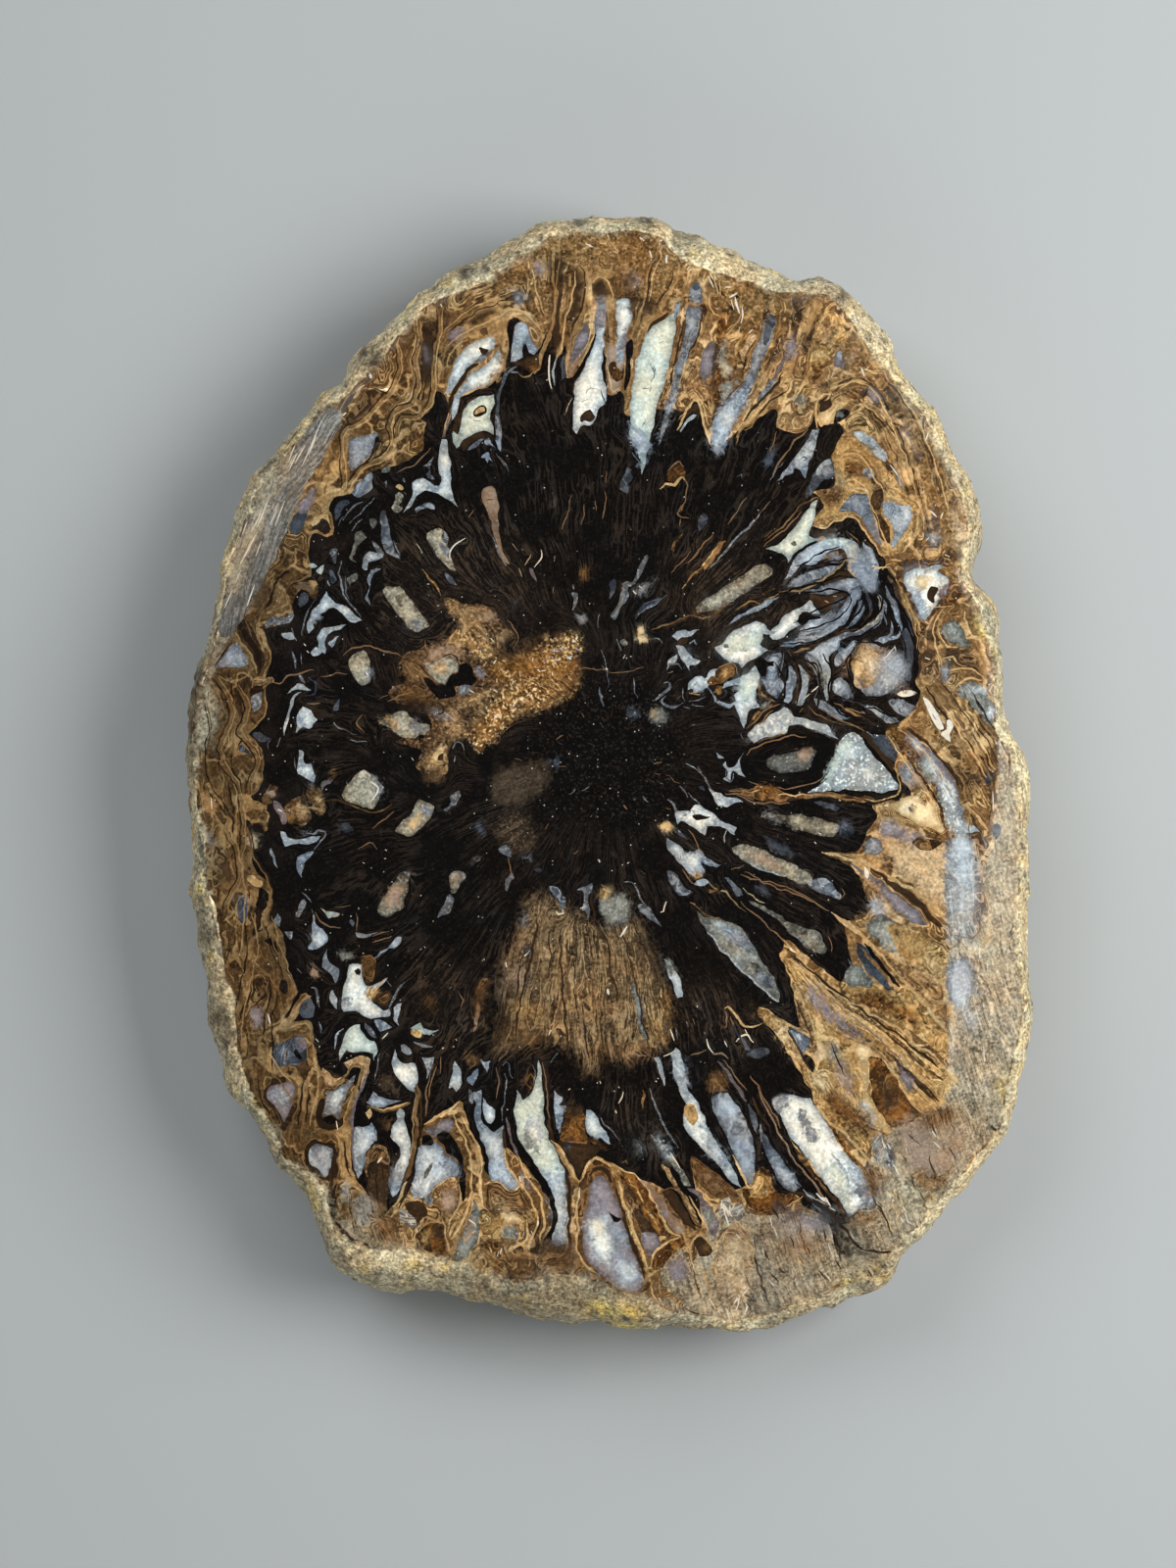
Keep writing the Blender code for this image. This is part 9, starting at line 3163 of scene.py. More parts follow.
s n 1.3 402.4,352.3 405.4,375.7 397.8,394.6 380.1,415.2 365.5,428.9 347.8,438.6 346.4,460.1 348.4,481.1 348.4,500.0
s T 1.3 407.6,351.7 410.6,376.3 402.2,397.4 383.9,418.8 368.5,433.1 352.2,441.4 351.6,459.9 353.6,480.9 353.6,500.0
s t 2.2 455.0,338.0 478.0,320.0 502.0,309.0 528.0,297.0
s n 1.3 456.6,340.0 479.4,322.2 503.1,311.4 529.1,299.4
s T 1.3 453.4,336.0 476.6,317.8 500.9,306.6 526.9,294.6
s t 2.0 455.0,358.0 472.0,344.0 496.0,332.0 513.0,323.0 528.0,317.0 542.0,329.0 551.0,341.0
s T 1.2 453.3,356.0 470.6,341.8 494.8,329.7 511.9,320.6 528.5,314.5 543.9,327.2 553.1,339.4
s t 2.2 221.0,694.0 234.0,713.0 236.0,736.0 225.0,758.0 228.0,780.0 241.0,799.0 247.0,825.0 248.0,850.0 245.0,876.0
s n 1.3 218.9,695.5 231.6,713.9 233.5,735.5 222.4,757.5 225.6,780.9 238.6,800.0 244.4,825.4 245.4,849.9 242.4,875.7
s T 1.3 223.1,692.5 236.4,712.1 238.5,736.5 227.6,758.5 230.4,779.1 243.4,798.0 249.6,824.6 250.6,850.1 247.6,876.3
s t 2.2 241.0,700.0 253.0,720.0 248.0,736.0 244.0,748.0 256.0,761.0 263.0,777.0 256.0,793.0 253.0,812.0
s n 1.3 238.8,701.3 250.4,720.5 245.5,735.2 241.5,748.8 253.8,762.4 260.4,777.0 253.5,792.3 250.4,811.6
s T 1.3 243.2,698.7 255.6,719.5 250.5,736.8 246.5,747.2 258.2,759.6 265.6,777.0 258.5,793.7 255.6,812.4
s t 1.8 212.0,718.0 215.0,745.0 211.0,774.0 217.0,799.0 229.0,818.0 241.0,837.0
s n 1.3 209.4,718.3 212.4,745.0 208.4,774.1 214.6,800.0 226.8,819.4 238.8,838.4
s t 2.2 231.0,844.0 241.0,869.0 244.0,895.0 234.0,914.0 228.0,936.0
s n 1.3 228.6,845.0 238.5,869.6 241.4,894.6 231.6,913.1 225.5,935.3
s T 1.3 233.4,843.0 243.5,868.4 246.6,895.4 236.4,914.9 230.5,936.7
s t 1.8 253.0,844.0 256.0,869.0 266.0,885.0 275.0,904.0 275.0,927.0
s n 1.3 255.6,843.7 258.5,868.2 268.3,883.8 277.5,903.5 277.6,927.0
b n 4 432,340 440,345 440,375 436,398 430,390 431,362
b vi 3 433,352 438,356 437,372 433,370
b rd 5 548,1266 582,1268 584,1298 548,1296
b bw 4 518,1278 546,1280 545,1308 518,1308
b wb 5 968,858 984,854 996,870 997,905 993,938 982,954 969,950 966,905
b wb 4 972,872 982,868 986,890 982,915 974,910
b wg 5 968,984 984,976 995,990 990,1014 976,1028 966,1014
b rd 3 992,870 1000,880 1002,930 994,955 990,940 996,905
"""

# the weathered crust round the rim: a place on the outline, and how pale it is
# there (0 olive grey, 1 cream)
CRUST_PLACES = [
    (300, 440, .5), (270, 520, .6), (205, 690, .4), (200, 860, .8),
    (209, 953, .2), (215, 1000, .6), (222, 1070, .3), (240, 1110, .8),
    (275, 1165, .2), (300, 1205, .4), (325, 1245, .3), (350, 1285, .7),
    (430, 1318, .7), (500, 1325, .5), (560, 1340, .3), (600, 1345, .7),
    (638, 1348, 1.), (680, 1345, .3), (720, 1340, .5), (800, 1330, .4),
    (900, 1290, .5), (955, 1240, .9), (1000, 1195, .5), (1028, 1140, .7),
    (1040, 1080, .8), (1052, 1020, .6), (1045, 930, .9), (1048, 840, .8),
    (1030, 760, .8), (1010, 680, .8), (1000, 630, .4), (960, 460, .7),
    (900, 340, .9), (850, 295, .2), (760, 275, .9), (700, 265, .6),
    (600, 230, .6), (500, 240, .6), (400, 330, .6)]


# --------------------------------------------------------------- the painter
def crumple(p):
    """The drawn edges made uneven, in the same way where two marks touch."""
    return p + 2.3 * np.column_stack([fbm(p, 7.5, 2, 301), fbm(p, 7.5, 2, 311)])


AGATE = ("w", "wb", "wg", "gw", "gg", "bl", "sd", "sl", "sg", "cr", "vi")


class Sheet:
    """One flat face of the slab: a fitted triangle mesh and its finish."""

    def __init__(self, ring, marks, step, detail, smallest=0.0):
        self.ring = ring
        n = len(ring)
        rr = np.hypot(*to_xy(ring).T)
        ra = np.unwrap(np.arctan2(*to_xy(ring).T[::-1]))
        if ra[-1] < ra[0]:
            ra, rr = ra[::-1], rr[::-1]
        t = 2 * math.pi
        a3, r3 = np.concatenate([ra - t, ra, ra + t]), np.tile(rr, 3)

        def limit(p, gap):
            q = to_xy(p)
            r = np.hypot(q[:, 0], q[:, 1])
            a = np.arctan2(q[:, 1], q[:, 0])
            m = np.interp((a - ra[0]) % t + ra[0], a3, r3) - gap
            k = np.minimum(1.0, m / np.maximum(r, 1e-9))
            return from_xy(q * k[:, None]), r <= m

        pts = [ring]
        edges = [(i, (i + 1) % n) for i in range(n)]
        count = n
        self.polys = []
        for kind, finish, size, p, sharp in marks:
            if kind == "f":
                self.polys.append(None)
                continue
            if kind == "s":
                line = open_curve(p, detail)
                poly = ribbon(line, size)
            else:
                per = np.hypot(*(np.roll(p, -1, 0) - p).T).sum()
                st = min(max(per / 16.0, 1.8), detail) if detail < 6 else detail
                poly = closed_curve(p, sharp, st)
            poly, _ = limit(poly if finish == "h" else crumple(poly), 2.2)
            self.polys.append(poly)
            if kind == "b":
                continue
            if smallest:
                x, y = poly[:, 0], poly[:, 1]
                area = 0.5 * abs(np.dot(x, np.roll(y, -1)) - np.dot(y, np.roll(x, -1)))
                if area < smallest:
                    continue
            m = len(poly)
            pts.append(poly)
            edges += [(count + i, count + (i + 1) % m) for i in range(m)]
            count += m
        fixed = np.vstack(pts)
        fixed = fixed + 0.0

        # plain vertices where nothing is drawn
        gx = np.arange(170, 1080, step)
        gy = np.arange(205, 1385, step * 0.866)
        X, Y = np.meshgrid(gx, gy)
        X = X + (np.arange(len(gy)) % 2)[:, None] * step * 0.5
        rng = np.random.default_rng(5)
        fill = np.column_stack([X.ravel(), Y.ravel()])
        fill = fill + rng.uniform(-0.18, 0.18, fill.shape) * step
        _, ok = limit(fill, step * 0.55)
        fill = fill[ok]
        cell = step * 0.42
        taken = set()
        q = np.floor(fixed / cell).astype(int)
        for dx in (-1, 0, 1):
            for dy in (-1, 0, 1):
                taken.update(map(tuple, (q + (dx, dy)).tolist()))
        keep = np.array([tuple(c) not in taken
                         for c in np.floor(fill / cell).astype(int).tolist()])
        fill = fill[keep]

        allp = np.vstack([fixed, fill])
        res = delaunay_2d_cdt([Vector(p) for p in allp.tolist()], edges, [], 0,
                              1e-4, True)
        v = np.array([tuple(p) for p in res[0]])
        f = np.array([tuple(t) for t in res[2]])
        home = {}
        for i, src in enumerate(res[3]):
            for s in src:
                if s < n:
                    home[s] = i
        self.ring_index = np.array([home[i] for i in range(n)])
        c = v[f].mean(1)
        _, ok = limit(c, 0.0)
        # keep only what lies inside the ring
        e0, e1 = v[f[:, 1]] - v[f[:, 0]], v[f[:, 2]] - v[f[:, 0]]
        area = e0[:, 0] * e1[:, 1] - e0[:, 1] * e1[:, 0]
        ok = inside(c, ring)
        f = f[ok]
        self.v, self.f = v, f
        self.centre = c[ok]
        self.marks = marks

    def paint(self, base):
        """Colours and numbers at each corner of each triangle."""
        v, f, c = self.v, self.f, self.centre
        region = np.full(len(f), -1)
        self.faint = {}
        for i, (mark, poly) in enumerate(zip(self.marks, self.polys)):
            if mark[0] not in "ps":
                continue
            lo, hi = poly.min(0), poly.max(0)
            sel = np.nonzero((c[:, 0] >= lo[0]) & (c[:, 0] <= hi[0])
                             & (c[:, 1] >= lo[1]) & (c[:, 1] <= hi[1]))[0]
            if len(sel):
                hit = sel[inside(c[sel], poly)]
                if mark[0] == "s" and len(hit) and mark[1] in ("t", "T"):
                    below = region[hit]
                    self.faint[i] = np.mean([b >= 0 and self.marks[b][1][0] == "k"
                                             for b in below]) > 0.6
                region[hit] = i
        nf = len(f)
        tint = np.zeros((nf, 3, 3))
        line = np.zeros((nf, 3, 3))
        num = np.zeros((nf, 3, F_NUM.shape[1]))
        over = np.zeros((nf, 3, 3))
        over_d = np.full((nf, 3), -9.0)
        rim = np.full((nf, 3), 30.0)
        blobs = [(i, KEYS[m[1]], m[2], p, p.min(0) - 3 * m[2] - 2,
                  p.max(0) + 3 * m[2] + 2)
                 for i, (m, p) in enumerate(zip(self.marks, self.polys))
                 if m[0] == "b"]
        where = np.full(len(v), -1)
        for i in np.unique(region):
            fs = np.nonzero(region == i)[0]
            vs = np.unique(f[fs])
            where[vs] = np.arange(len(vs))
            loc = where[f[fs]]
            p = v[vs]
            if i < 0:
                k = KEYS[base]
                d = np.full(len(vs), 30.0)
            else:
                k = KEYS[self.marks[i][1]]
                d = distance(p, self.polys[i])
            mix = ease(0, F_SPAN[k], d)[:, None]
            t = F_EDGE[k] + (F_CORE[k] - F_EDGE[k]) * mix
            ln = np.tile(F_LINE[k], (len(vs), 1))
            if i >= 0 and self.marks[i][1] in AGATE:
                t = t * (0.70 + 0.30 * ease(0, 3.0, d))[:, None]
            if self.faint.get(i):
                t, ln = t * 0.42, ln * 0.5
            nm = np.tile(F_NUM[k], (len(vs), 1))
            wsum = np.zeros(len(vs))
            ov = np.zeros((len(vs), 3))
            ovl = np.zeros((len(vs), 3))
            ovn = np.zeros((len(vs), F_NUM.shape[1]))
            od = np.full(len(vs), -9.0)
            for j, kk, soft, poly, lo, hi in blobs:
                if j < i:
                    continue
                sel = np.nonzero(((p >= lo) & (p <= hi)).all(1))[0]
                if not len(sel):
                    continue
                q = p[sel]
                sd = distance(q, poly) * np.where(inside(q, poly), 1, -1) / soft
                wt = np.exp(np.clip(sd, -4, 4) * 1.6)
                cmix = ease(0, F_SPAN[kk], sd * soft)[:, None]
                ov[sel] += wt[:, None] * (F_EDGE[kk] + (F_CORE[kk] - F_EDGE[kk]) * cmix)
                ovl[sel] += wt[:, None] * F_LINE[kk]
                ovn[sel] += wt[:, None] * F_NUM[kk]
                wsum[sel] += wt
                od[sel] = np.maximum(od[sel], sd)
            has = wsum > 0
            ov[has] /= wsum[has, None]
            ovl[has] /= wsum[has, None]
            ovn[has] /= wsum[has, None]
            m = (ease(-1, 1, od) * has)[:, None]
            ln = ln + (ovl - ln) * m
            nm = nm + (ovn - nm) * m
            tint[fs], line[fs], num[fs] = t[loc], ln[loc], nm[loc]
            over[fs], over_d[fs] = ov[loc], od[loc]
            rim[fs] = d[loc]
        return dict(tint=tint, line=line, num=num, over=over, over_d=over_d,
                    rim=rim, region=region)


# -------------------------------------------------------------- the surface
marks = read_drawing(DRAWING)
ang = even_angles(GIRTH, ROUND)
rg = radius_by_angle(GIRTH)(ang)
rc = np.minimum(radius_by_angle(CRUST_EDGE)(ang), rg - 3.7)
rf = np.minimum(radius_by_angle(FLAT_EDGE)(ang), rc - 4.5)
ca, sa = np.cos(ang), np.sin(ang)
jag = fbm(np.column_stack([rc * ca, rc * sa]), 9.0, 3, seed=3)
rc = np.minimum(rc + 1.6 * jag, rg - 2.5)
T = THICK / UNIT
GZ = T * GIRTH_Z
VH = VIEW_HEIGHT / UNIT
slope = np.full_like(ang, 0.25)
for value, mid, half, soft in ((0.42, 146, 22, 8), (0.26, -20, 22, 8),
                               (0.62, -63, 20, 8), (0.40, -108, 20, 10)):
    slope += (value - 0.25) * sector(ang, mid, half, soft)
zc = T - slope * (rc - rf)
turn = 2 * math.pi
ang3 = np.concatenate([ang - turn, ang, ang + turn])


def at_angle(table, a):
    return np.interp((a - ang[0]) % turn + ang[0], ang3, np.tile(table, 3))


def depth_at(p):
    """Distance inward from the silhouette, in units."""
    q = to_xy(p)
    return at_angle(rg, np.arctan2(q[:, 1], q[:, 0])) - np.hypot(q[:, 0], q[:, 1])


def rough_share(a):
    return np.clip(sector(a, -63, 22, 8) + sector(a, -108, 24, 10), 0, 1)


def top_height(p):
    """Height of the cut surfaces above the sawn back, in units."""
    q = to_xy(p)
    a, r = np.arctan2(q[:, 1], q[:, 0]), np.hypot(q[:, 0], q[:, 1])
    f_, c_, s_ = at_angle(rf, a), at_angle(rc, a), at_angle(slope, a)
    out = np.maximum(0, r - f_)
    z = T - s_ * out
    k = ease(0, 14, out) * ease(0, 10, c_ - r)
    z = z + k * rough_share(a) * (5.5 * fbm(p, 26, 4, 21) + 2.0 * fbm(p, 9, 2, 8))
    z = z + k * (1 - rough_share(a)) * 0.35 * fbm(p, 16, 2, 31)
    return z


def as_seen(q, z):
    return q * (1 + (T - z) / VH)[:, None]


ring_top = from_xy(np.column_stack([rc * ca, rc * sa]))
top = Sheet(ring_top, marks, TOP_STEP, 3.6)
paint_top = top.paint("r")

# the wall, from the edge of the cut face over the girth to the sawn back
rcw = rc * (1 + (T - zc) / VH)
rgw = np.maximum(rg * (1 + (T - GZ) / VH), rcw + 3.7)


def lumps(angle, z, seed):
    rng = np.random.default_rng(seed)
    v = np.zeros_like(angle)
    for k, (freq, amp) in enumerate(((9, 0.30), (21, 0.30), (43, 0.22),
                                     (71, 0.18))):
        for _ in range(3):
            f = freq + rng.integers(-3, 4)
            ph, zf = rng.random() * 6.283, rng.normal() * (180 + 110 * k)
            v += amp / 3 * np.sin(f * angle + ph + zf * z * UNIT) * 1.7
    return v


rbw = rgw - BACK_INSET / UNIT * (1 + 0.35 * lumps(ang, np.zeros_like(ang), 5))
wall = []
n_up = WALL_RINGS // 2
for k in range(1, n_up + 1):
    t_ = k / n_up * math.pi / 2
    z = GZ + (zc - GZ) * math.cos(t_) ** 0.9 if k < n_up else np.full_like(ang, GZ)
    r = rcw + (rgw - rcw) * math.sin(t_)
    r = r + lumps(ang, z, 11) * 3.6 * (k / n_up)
    wall.append([r, z, min(1.0, k / 3.0)])
n_down = WALL_RINGS - n_up
for k in range(1, n_down + 1):
    s = k / n_down
    z = np.full_like(ang, GZ * (1 - s))
    r = rgw + (rbw - rgw) * s ** 1.8 + lumps(ang, z, 11) * 3.6 * (1 - s)
    wall.append([r, z, min(1.0, (n_down - k) / 2.0)])
for row in wall:
    r, z, k = row
    p = np.column_stack([r * ca, r * sa, z])
    d = 3.2 * fbm(p, 24, 2, 41) + 2.2 * fbm(p, 9, 2, 51) + 1.3 * fbm(p, 4, 2, 61)
    row[0] = np.minimum(r + k * (d - 1.0), rgw + 4)
    row[1] = np.maximum(z + (k * 1.5 * fbm(p, 8, 2, 71) if 0 < row[2] else 0), 0)
wall[-1][1] = np.zeros_like(ang)

ring_back = from_xy(np.column_stack([wall[-1][0] * ca, wall[-1][0] * sa]))
back_marks = []
for kind, finish, size, p, sharp in marks:
    q = p + 9 * np.column_stack([fbm(p, 140, 2, 81), fbm(p, 140, 2, 91)])
    back_marks.append((kind, finish, size, q, sharp))
back_marks = [m for m in back_marks if m[0] in "pb"]
back = Sheet(ring_back, back_marks, BACK_STEP, 8.0, smallest=320.0)
paint_back = back.paint("r")

# ------------------------------------------------------------- one closed mesh
zt = top_height(top.v)
qt = to_xy(top.v)
# the rim of the face is pulled to the wall's first ring
zt[top.ring_index] = zc
vt = np.column_stack([as_seen(qt, zt), zt])
verts = [vt]
rows = [top.ring_index]
count = len(vt)
for r, z, k in wall:
    verts.append(np.column_stack([r * ca, r * sa, z]))
    rows.append(count + np.arange(ROUND))
    count += ROUND
qb = to_xy(back.v)
isring = np.full(len(qb), -1)
isring[back.ring_index] = np.arange(ROUND)
newid = np.where(isring >= 0, rows[-1][0] + isring, -1)
inner = np.nonzero(isring < 0)[0]
newid[inner] = count + np.arange(len(inner))
verts.append(np.column_stack([qb[inner], np.zeros(len(inner))]))
verts = np.vstack(verts)

top_f = top.f.copy()
e0 = vt[top_f[:, 1], :2] - vt[top_f[:, 0], :2]
e1 = vt[top_f[:, 2], :2] - vt[top_f[:, 0], :2]
flip_top = (e0[:, 0] * e1[:, 1] - e0[:, 1] * e1[:, 0]) < 0
back_f = back.f.copy()
e0 = qb[back_f[:, 1]] - qb[back_f[:, 0]]
e1 = qb[back_f[:, 2]] - qb[back_f[:, 0]]
flip_back = (e0[:, 0] * e1[:, 1] - e0[:, 1] * e1[:, 0]) > 0
wall_f = []
i0 = np.arange(ROUND)
i1 = (i0 + 1) % ROUND
for up, lo in zip(rows, rows[1:]):
    wall_f.append(np.column_stack([up[i0], lo[i0], lo[i1]]))
    wall_f.append(np.column_stack([up[i0], lo[i1], up[i1]]))
wall_f = np.vstack(wall_f)
faces = np.vstack([top_f, wall_f, newid[back_f]])
flip = np.concatenate([flip_top, np.zeros(len(wall_f), bool), flip_back])
n_top, n_wall, n_back = len(top_f), len(wall_f), len(back_f)


# dark and yellow places on the crust: where, how large, finish, how strong
CRUST_SPOTS = ((495, 1304, 34, "cd", 0.6), (550, 1312, 38, "cd", 0.7),
               (605, 1320, 34, "cd", 0.7), (660, 1332, 34, "cd", 0.6),
               (705, 1340, 26, "cd", 0.5), (612, 1340, 13, "cy", 1.2),
               (640, 1349, 15, "cy", 1.4), (374, 359, 11, "cd", 1.3),
               (382, 369, 9, "cd", 1.3), (475, 275, 10, "cd", 1.2),
               (330, 421, 9, "cd", 1.3), (288, 476, 10, "cd", 1.1),
               (210, 953, 10, "cd", 1.2), (224, 1041, 12, "cd", 1.2),
               (700, 240, 14, "cd", 0.9), (860, 300, 10, "cd", 1.0),
               (660, 222, 10, "cd", 1.0), (590, 226, 8, "cd", 1.0),
               (203, 700, 24, "rd", 1.1), (206, 740, 26, "rd", 1.1),
               (210, 780, 24, "rd", 1.0))


def crust_finish(p):
    """Finish of the weathered wall by place: cream, olive, dark flecks."""
    q3 = np.column_stack([to_xy(p[:, :2]), p[:, 2]])
    n1, n2, n3 = fbm(q3, 60, 3, 7), fbm(q3, 14, 3, 9), fbm(q3, 30, 2, 13)
    cream, olive = F_CORE[KEYS["cc"]], F_CORE[KEYS["co"]]
    dark, brown = F_CORE[KEYS["cd"]], F_CORE[KEYS["r"]]
    yellow = F_CORE[KEYS["cy"]]
    w_c = np.full(len(p), 0.0)
    tot = np.full(len(p), 1e-6)
    for x, y, amount in CRUST_PLACES:
        d = np.hypot(p[:, 0] - x, p[:, 1] - y)
        wt = np.exp(-(d / 55.0) ** 2)
        w_c += wt * amount
        tot += wt
    m = np.clip(w_c / tot + 0.55 * n1 + 0.45 * n2, 0, 1)[:, None]
    t = olive + (cream - olive) * m
    low = ease(0.55, 0.1, p[:, 2] / T)[:, None]
    t = t + (brown * 1.15 - t) * (0.55 * low * (0.5 + 0.5 * n3[:, None]))
    n4 = fbm(q3, 8, 2, 17)
    t = t + (dark - t) * 0.8 * ease(0.26, 0.55, -0.6 * n2 - 0.7 * n4 + 0.3 * n3)[:, None]
    t = t + (yellow - t) * (0.5 * ease(0.25, 0.6, n3 * n2 * 4)[:, None])
    for x, y, size, key, amount in CRUST_SPOTS:
        d = np.hypot(p[:, 0] - x, p[:, 1] - y)
        w = np.minimum(amount * np.exp(-(d / size) ** 2) * ease(-0.6, 0.1, n2 + n4), 1)
        t = t + (F_CORE[KEYS[key]] - t) * w[:, None]
    return t


wv = np.vstack([vt[top.ring_index]] + [np.column_stack([r * ca, r * sa, z])
                                       for r, z, k in wall])
wall_pos = np.column_stack([from_xy(wv[:, :2]), wv[:, 2]])
wall_tint = crust_finish(wall_pos)
wall_local = np.empty(count + len(inner), int)
for j, rr in enumerate(rows):
    wall_local[rr] = j * ROUND + np.arange(ROUND)
wl = wall_local[wall_f]

# the crust creeps over the rim of the face in a frayed edge
flat = top.v[top.f].reshape(-1, 2)
q = to_xy(flat)
gap = at_angle(rc, np.arctan2(q[:, 1], q[:, 0])) - np.hypot(q[:, 0], q[:, 1])
creep = (1.0 + 5.5 * fbm(flat, 30, 2, 401) + 5.0 * fbm(flat, 9, 2, 411) - gap) / 2.0
od = paint_top["over_d"].reshape(-1)
hit = np.nonzero(creep > np.maximum(od, -2.0))[0]
od[hit] = creep[hit]
paint_top["over"].reshape(-1, 3)[hit] = crust_finish(
    np.column_stack([flat[hit], np.full(len(hit), T)]))
m = ease(-1, 1, creep[hit])[:, None]
nm = paint_top["num"].reshape(-1, F_NUM.shape[1])
nm[hit] = nm[hit] + (F_NUM[KEYS["cc"]] - nm[hit]) * m

# round the pith there is no grain, only fine specks
isblack = np.array([i >= 0 and marks[i][1][0] == "k" for i in range(-1, len(marks))])
core = ease(110, 45, np.hypot(flat[:, 0] - 622, flat[:, 1] - 770))
core = core * np.repeat(isblack[paint_top["region"] + 1], 3)
nm[:, 0] *= 1 - core
nm[:, 1] *= 1 - core
nm[:, 2] += 0.3 * core
nm[:, 5] += 0.12 * core

# the rind is darker to the left and the lower left: painted shade on the side away from the light
dark = ease(440, 300, flat[:, 0]) * ease(470, 600, flat[:, 1])
dark = dark * (1 - 0.12 * ease(900, 1050, flat[:, 1]))
dark = np.maximum(dark, 0.5 * ease(640, 440, flat[:, 0]) * ease(640, 470, flat[:, 1]))
isrind = np.array([i < 0 or marks[i][1] in ("r", "rd", "rl", "t", "T", "n", "bw", "tg",
                                            "og", "gd", "am", "hz")
                   for i in range(-1, len(marks))])[paint_top["region"] + 1]
dark = (1 - 0.56 * dark * np.repeat(isrind, 3))[:, None]
paint_top["tint"].reshape(-1, 3)[:] *= dark
paint_top["line"].reshape(-1, 3)[:] *= dark

tint = np.concatenate([paint_top["tint"], wall_tint[wl], paint_back["tint"]])
line = np.concatenate([paint_top["line"],
                       np.clip(wall_tint[wl] * 1.7 + 0.03, 0, 0.85),
                       paint_back["line"]])
num = np.concatenate([paint_top["num"],
                      np.tile(F_NUM[KEYS["cc"]], (n_wall, 3, 1)),
                      paint_back["num"]])
# the sawn back is matt and carries less colour than the polish brings out
num[n_top + n_wall:, :, 3] = 0.55
num[n_top + n_wall:, :, 4] = 0.25
over = np.concatenate([paint_top["over"], np.zeros((n_wall, 3, 3)),
                       paint_back["over"]])
over_d = np.concatenate([paint_top["over_d"], np.full((n_wall, 3), -9.0),
                         paint_back["over_d"]])
dull = np.array([0.20, 0.17, 0.13])
tint[n_top + n_wall:] = tint[n_top + n_wall:] * 0.62 + dull * 0.22
over[n_top + n_wall:] = over[n_top + n_wall:] * 0.62 + dull * 0.22
line[n_top + n_wall:] = line[n_top + n_wall:] * 0.7 + dull * 0.2

lines = []
for (kind, finish, size, p, sharp), poly in zip(marks, top.polys):
    if kind in "sf":
        lines.append(open_curve(p, 2.0))
    elif kind == "p" and finish not in ("k", "r", "kk"):
        lines.append(poly)
grain = solve_grain(lines, depth_at)
draw_xy = np.vstack([top.v] + [from_xy(np.column_stack([r * ca, r * sa]))
                               for r, z, k in wall] + [back.v[inner]])
dep = depth_at(draw_xy)
flow = flow_vector(draw_xy, grain, dep)

# In the rind the laminae lie along the edges of the scales and of each other:
# their grain is the distance from the nearest drawn edge. On the ground facets
# the scratches run along the rim.
RIND = ("r", "rd", "rl", "t", "T", "n", "tg", "bw")
FLATS = ("hz",)
GROUND = ("gr", "gb")
reg = paint_top["region"]
group = np.array([0 if i < 0 or marks[i][1] in RIND else
                  2 if marks[i][1] in FLATS else
                  3 if marks[i][1] in GROUND else 1 for i in range(-1, len(marks))])
group = group[reg + 1]
tf, nt = top.f, len(top.f)
pair = np.sort(np.vstack([tf[:, [0, 1]], tf[:, [1, 2]], tf[:, [2, 0]]]), 1)
key = pair[:, 0].astype(np.int64) * len(top.v) + pair[:, 1]
order = np.argsort(key, kind="stable")
same = np.nonzero(key[order][1:] == key[order][:-1])[0]
fa, fb = order[same] % nt, order[same + 1] % nt
cut = (group[fa] == 1) != (group[fb] == 1)
ends = top.v[pair[order[same[cut]]]]
src = [ends[:, 0] * (1 - t_) + ends[:, 1] * t_ for t_ in (0.0, 0.33, 0.67)]
for (kind, finish, size, p, sharp) in marks:
    if kind == "f" and finish == "r" or kind == "s" and finish in RIND:
        src.append(crumple(open_curve(p, 1.5)))
src = np.vstack(src)
tree = KDTree(len(src))
for i, s in enumerate(src.tolist()):
    tree.insert((s[0], s[1], 0.0), i)
tree.balance()
near = np.array([tree.find((a, b, 0.0))[2] for a, b in top.v.tolist()])
flow_c = flow[faces]
xy = top.v[tf]
lam_flow = np.concatenate([0.08 * xy, near[tf][..., None]], 2)
rim_flow = np.concatenate([0.05 * xy, 1.8 * depth_at(top.v)[tf][..., None]], 2)
steep = np.stack([0.12 * (0.30 * xy[..., 0] + 0.95 * xy[..., 1]),
                  1.3 * (0.95 * xy[..., 0] - 0.30 * xy[..., 1]), 0 * xy[..., 0]], 2)
flow_c[:n_top] = np.where((group == 0)[:, None, None], lam_flow,
                          np.where((group == 2)[:, None, None], rim_flow,
                                   np.where((group == 3)[:, None, None], steep,
                                            flow_c[:n_top])))

rot = np.where(flip)[0]
faces[rot] = faces[rot][:, ::-1]
for arr in (tint, line, num, over, over_d, flow_c):
    arr[rot] = arr[rot][:, ::-1]

mesh = bpy.data.meshes.new("cone_slice_stone")
mesh.vertices.add(len(verts))
mesh.vertices.foreach_set("co", (verts * UNIT).astype(np.float32).ravel())
nf = len(faces)
mesh.loops.add(nf * 3)
mesh.loops.foreach_set("vertex_index", faces.astype(np.int32).ravel())
mesh.polygons.add(nf)
mesh.polygons.foreach_set("loop_start", np.arange(0, nf * 3, 3, dtype=np.int32))
mesh.polygons.foreach_set("loop_total", np.full(nf, 3, dtype=np.int32))
mesh.update(calc_edges=True)
mesh.validate(verbose=False)


def corner_color(name, data):
    at = mesh.attributes.new(name, "FLOAT_COLOR", "CORNER")
    buf = np.ones((nf * 3, 4), np.float32)
    buf[:, :3] = data.reshape(-1, 3)
    at.data.foreach_set("color", buf.ravel())


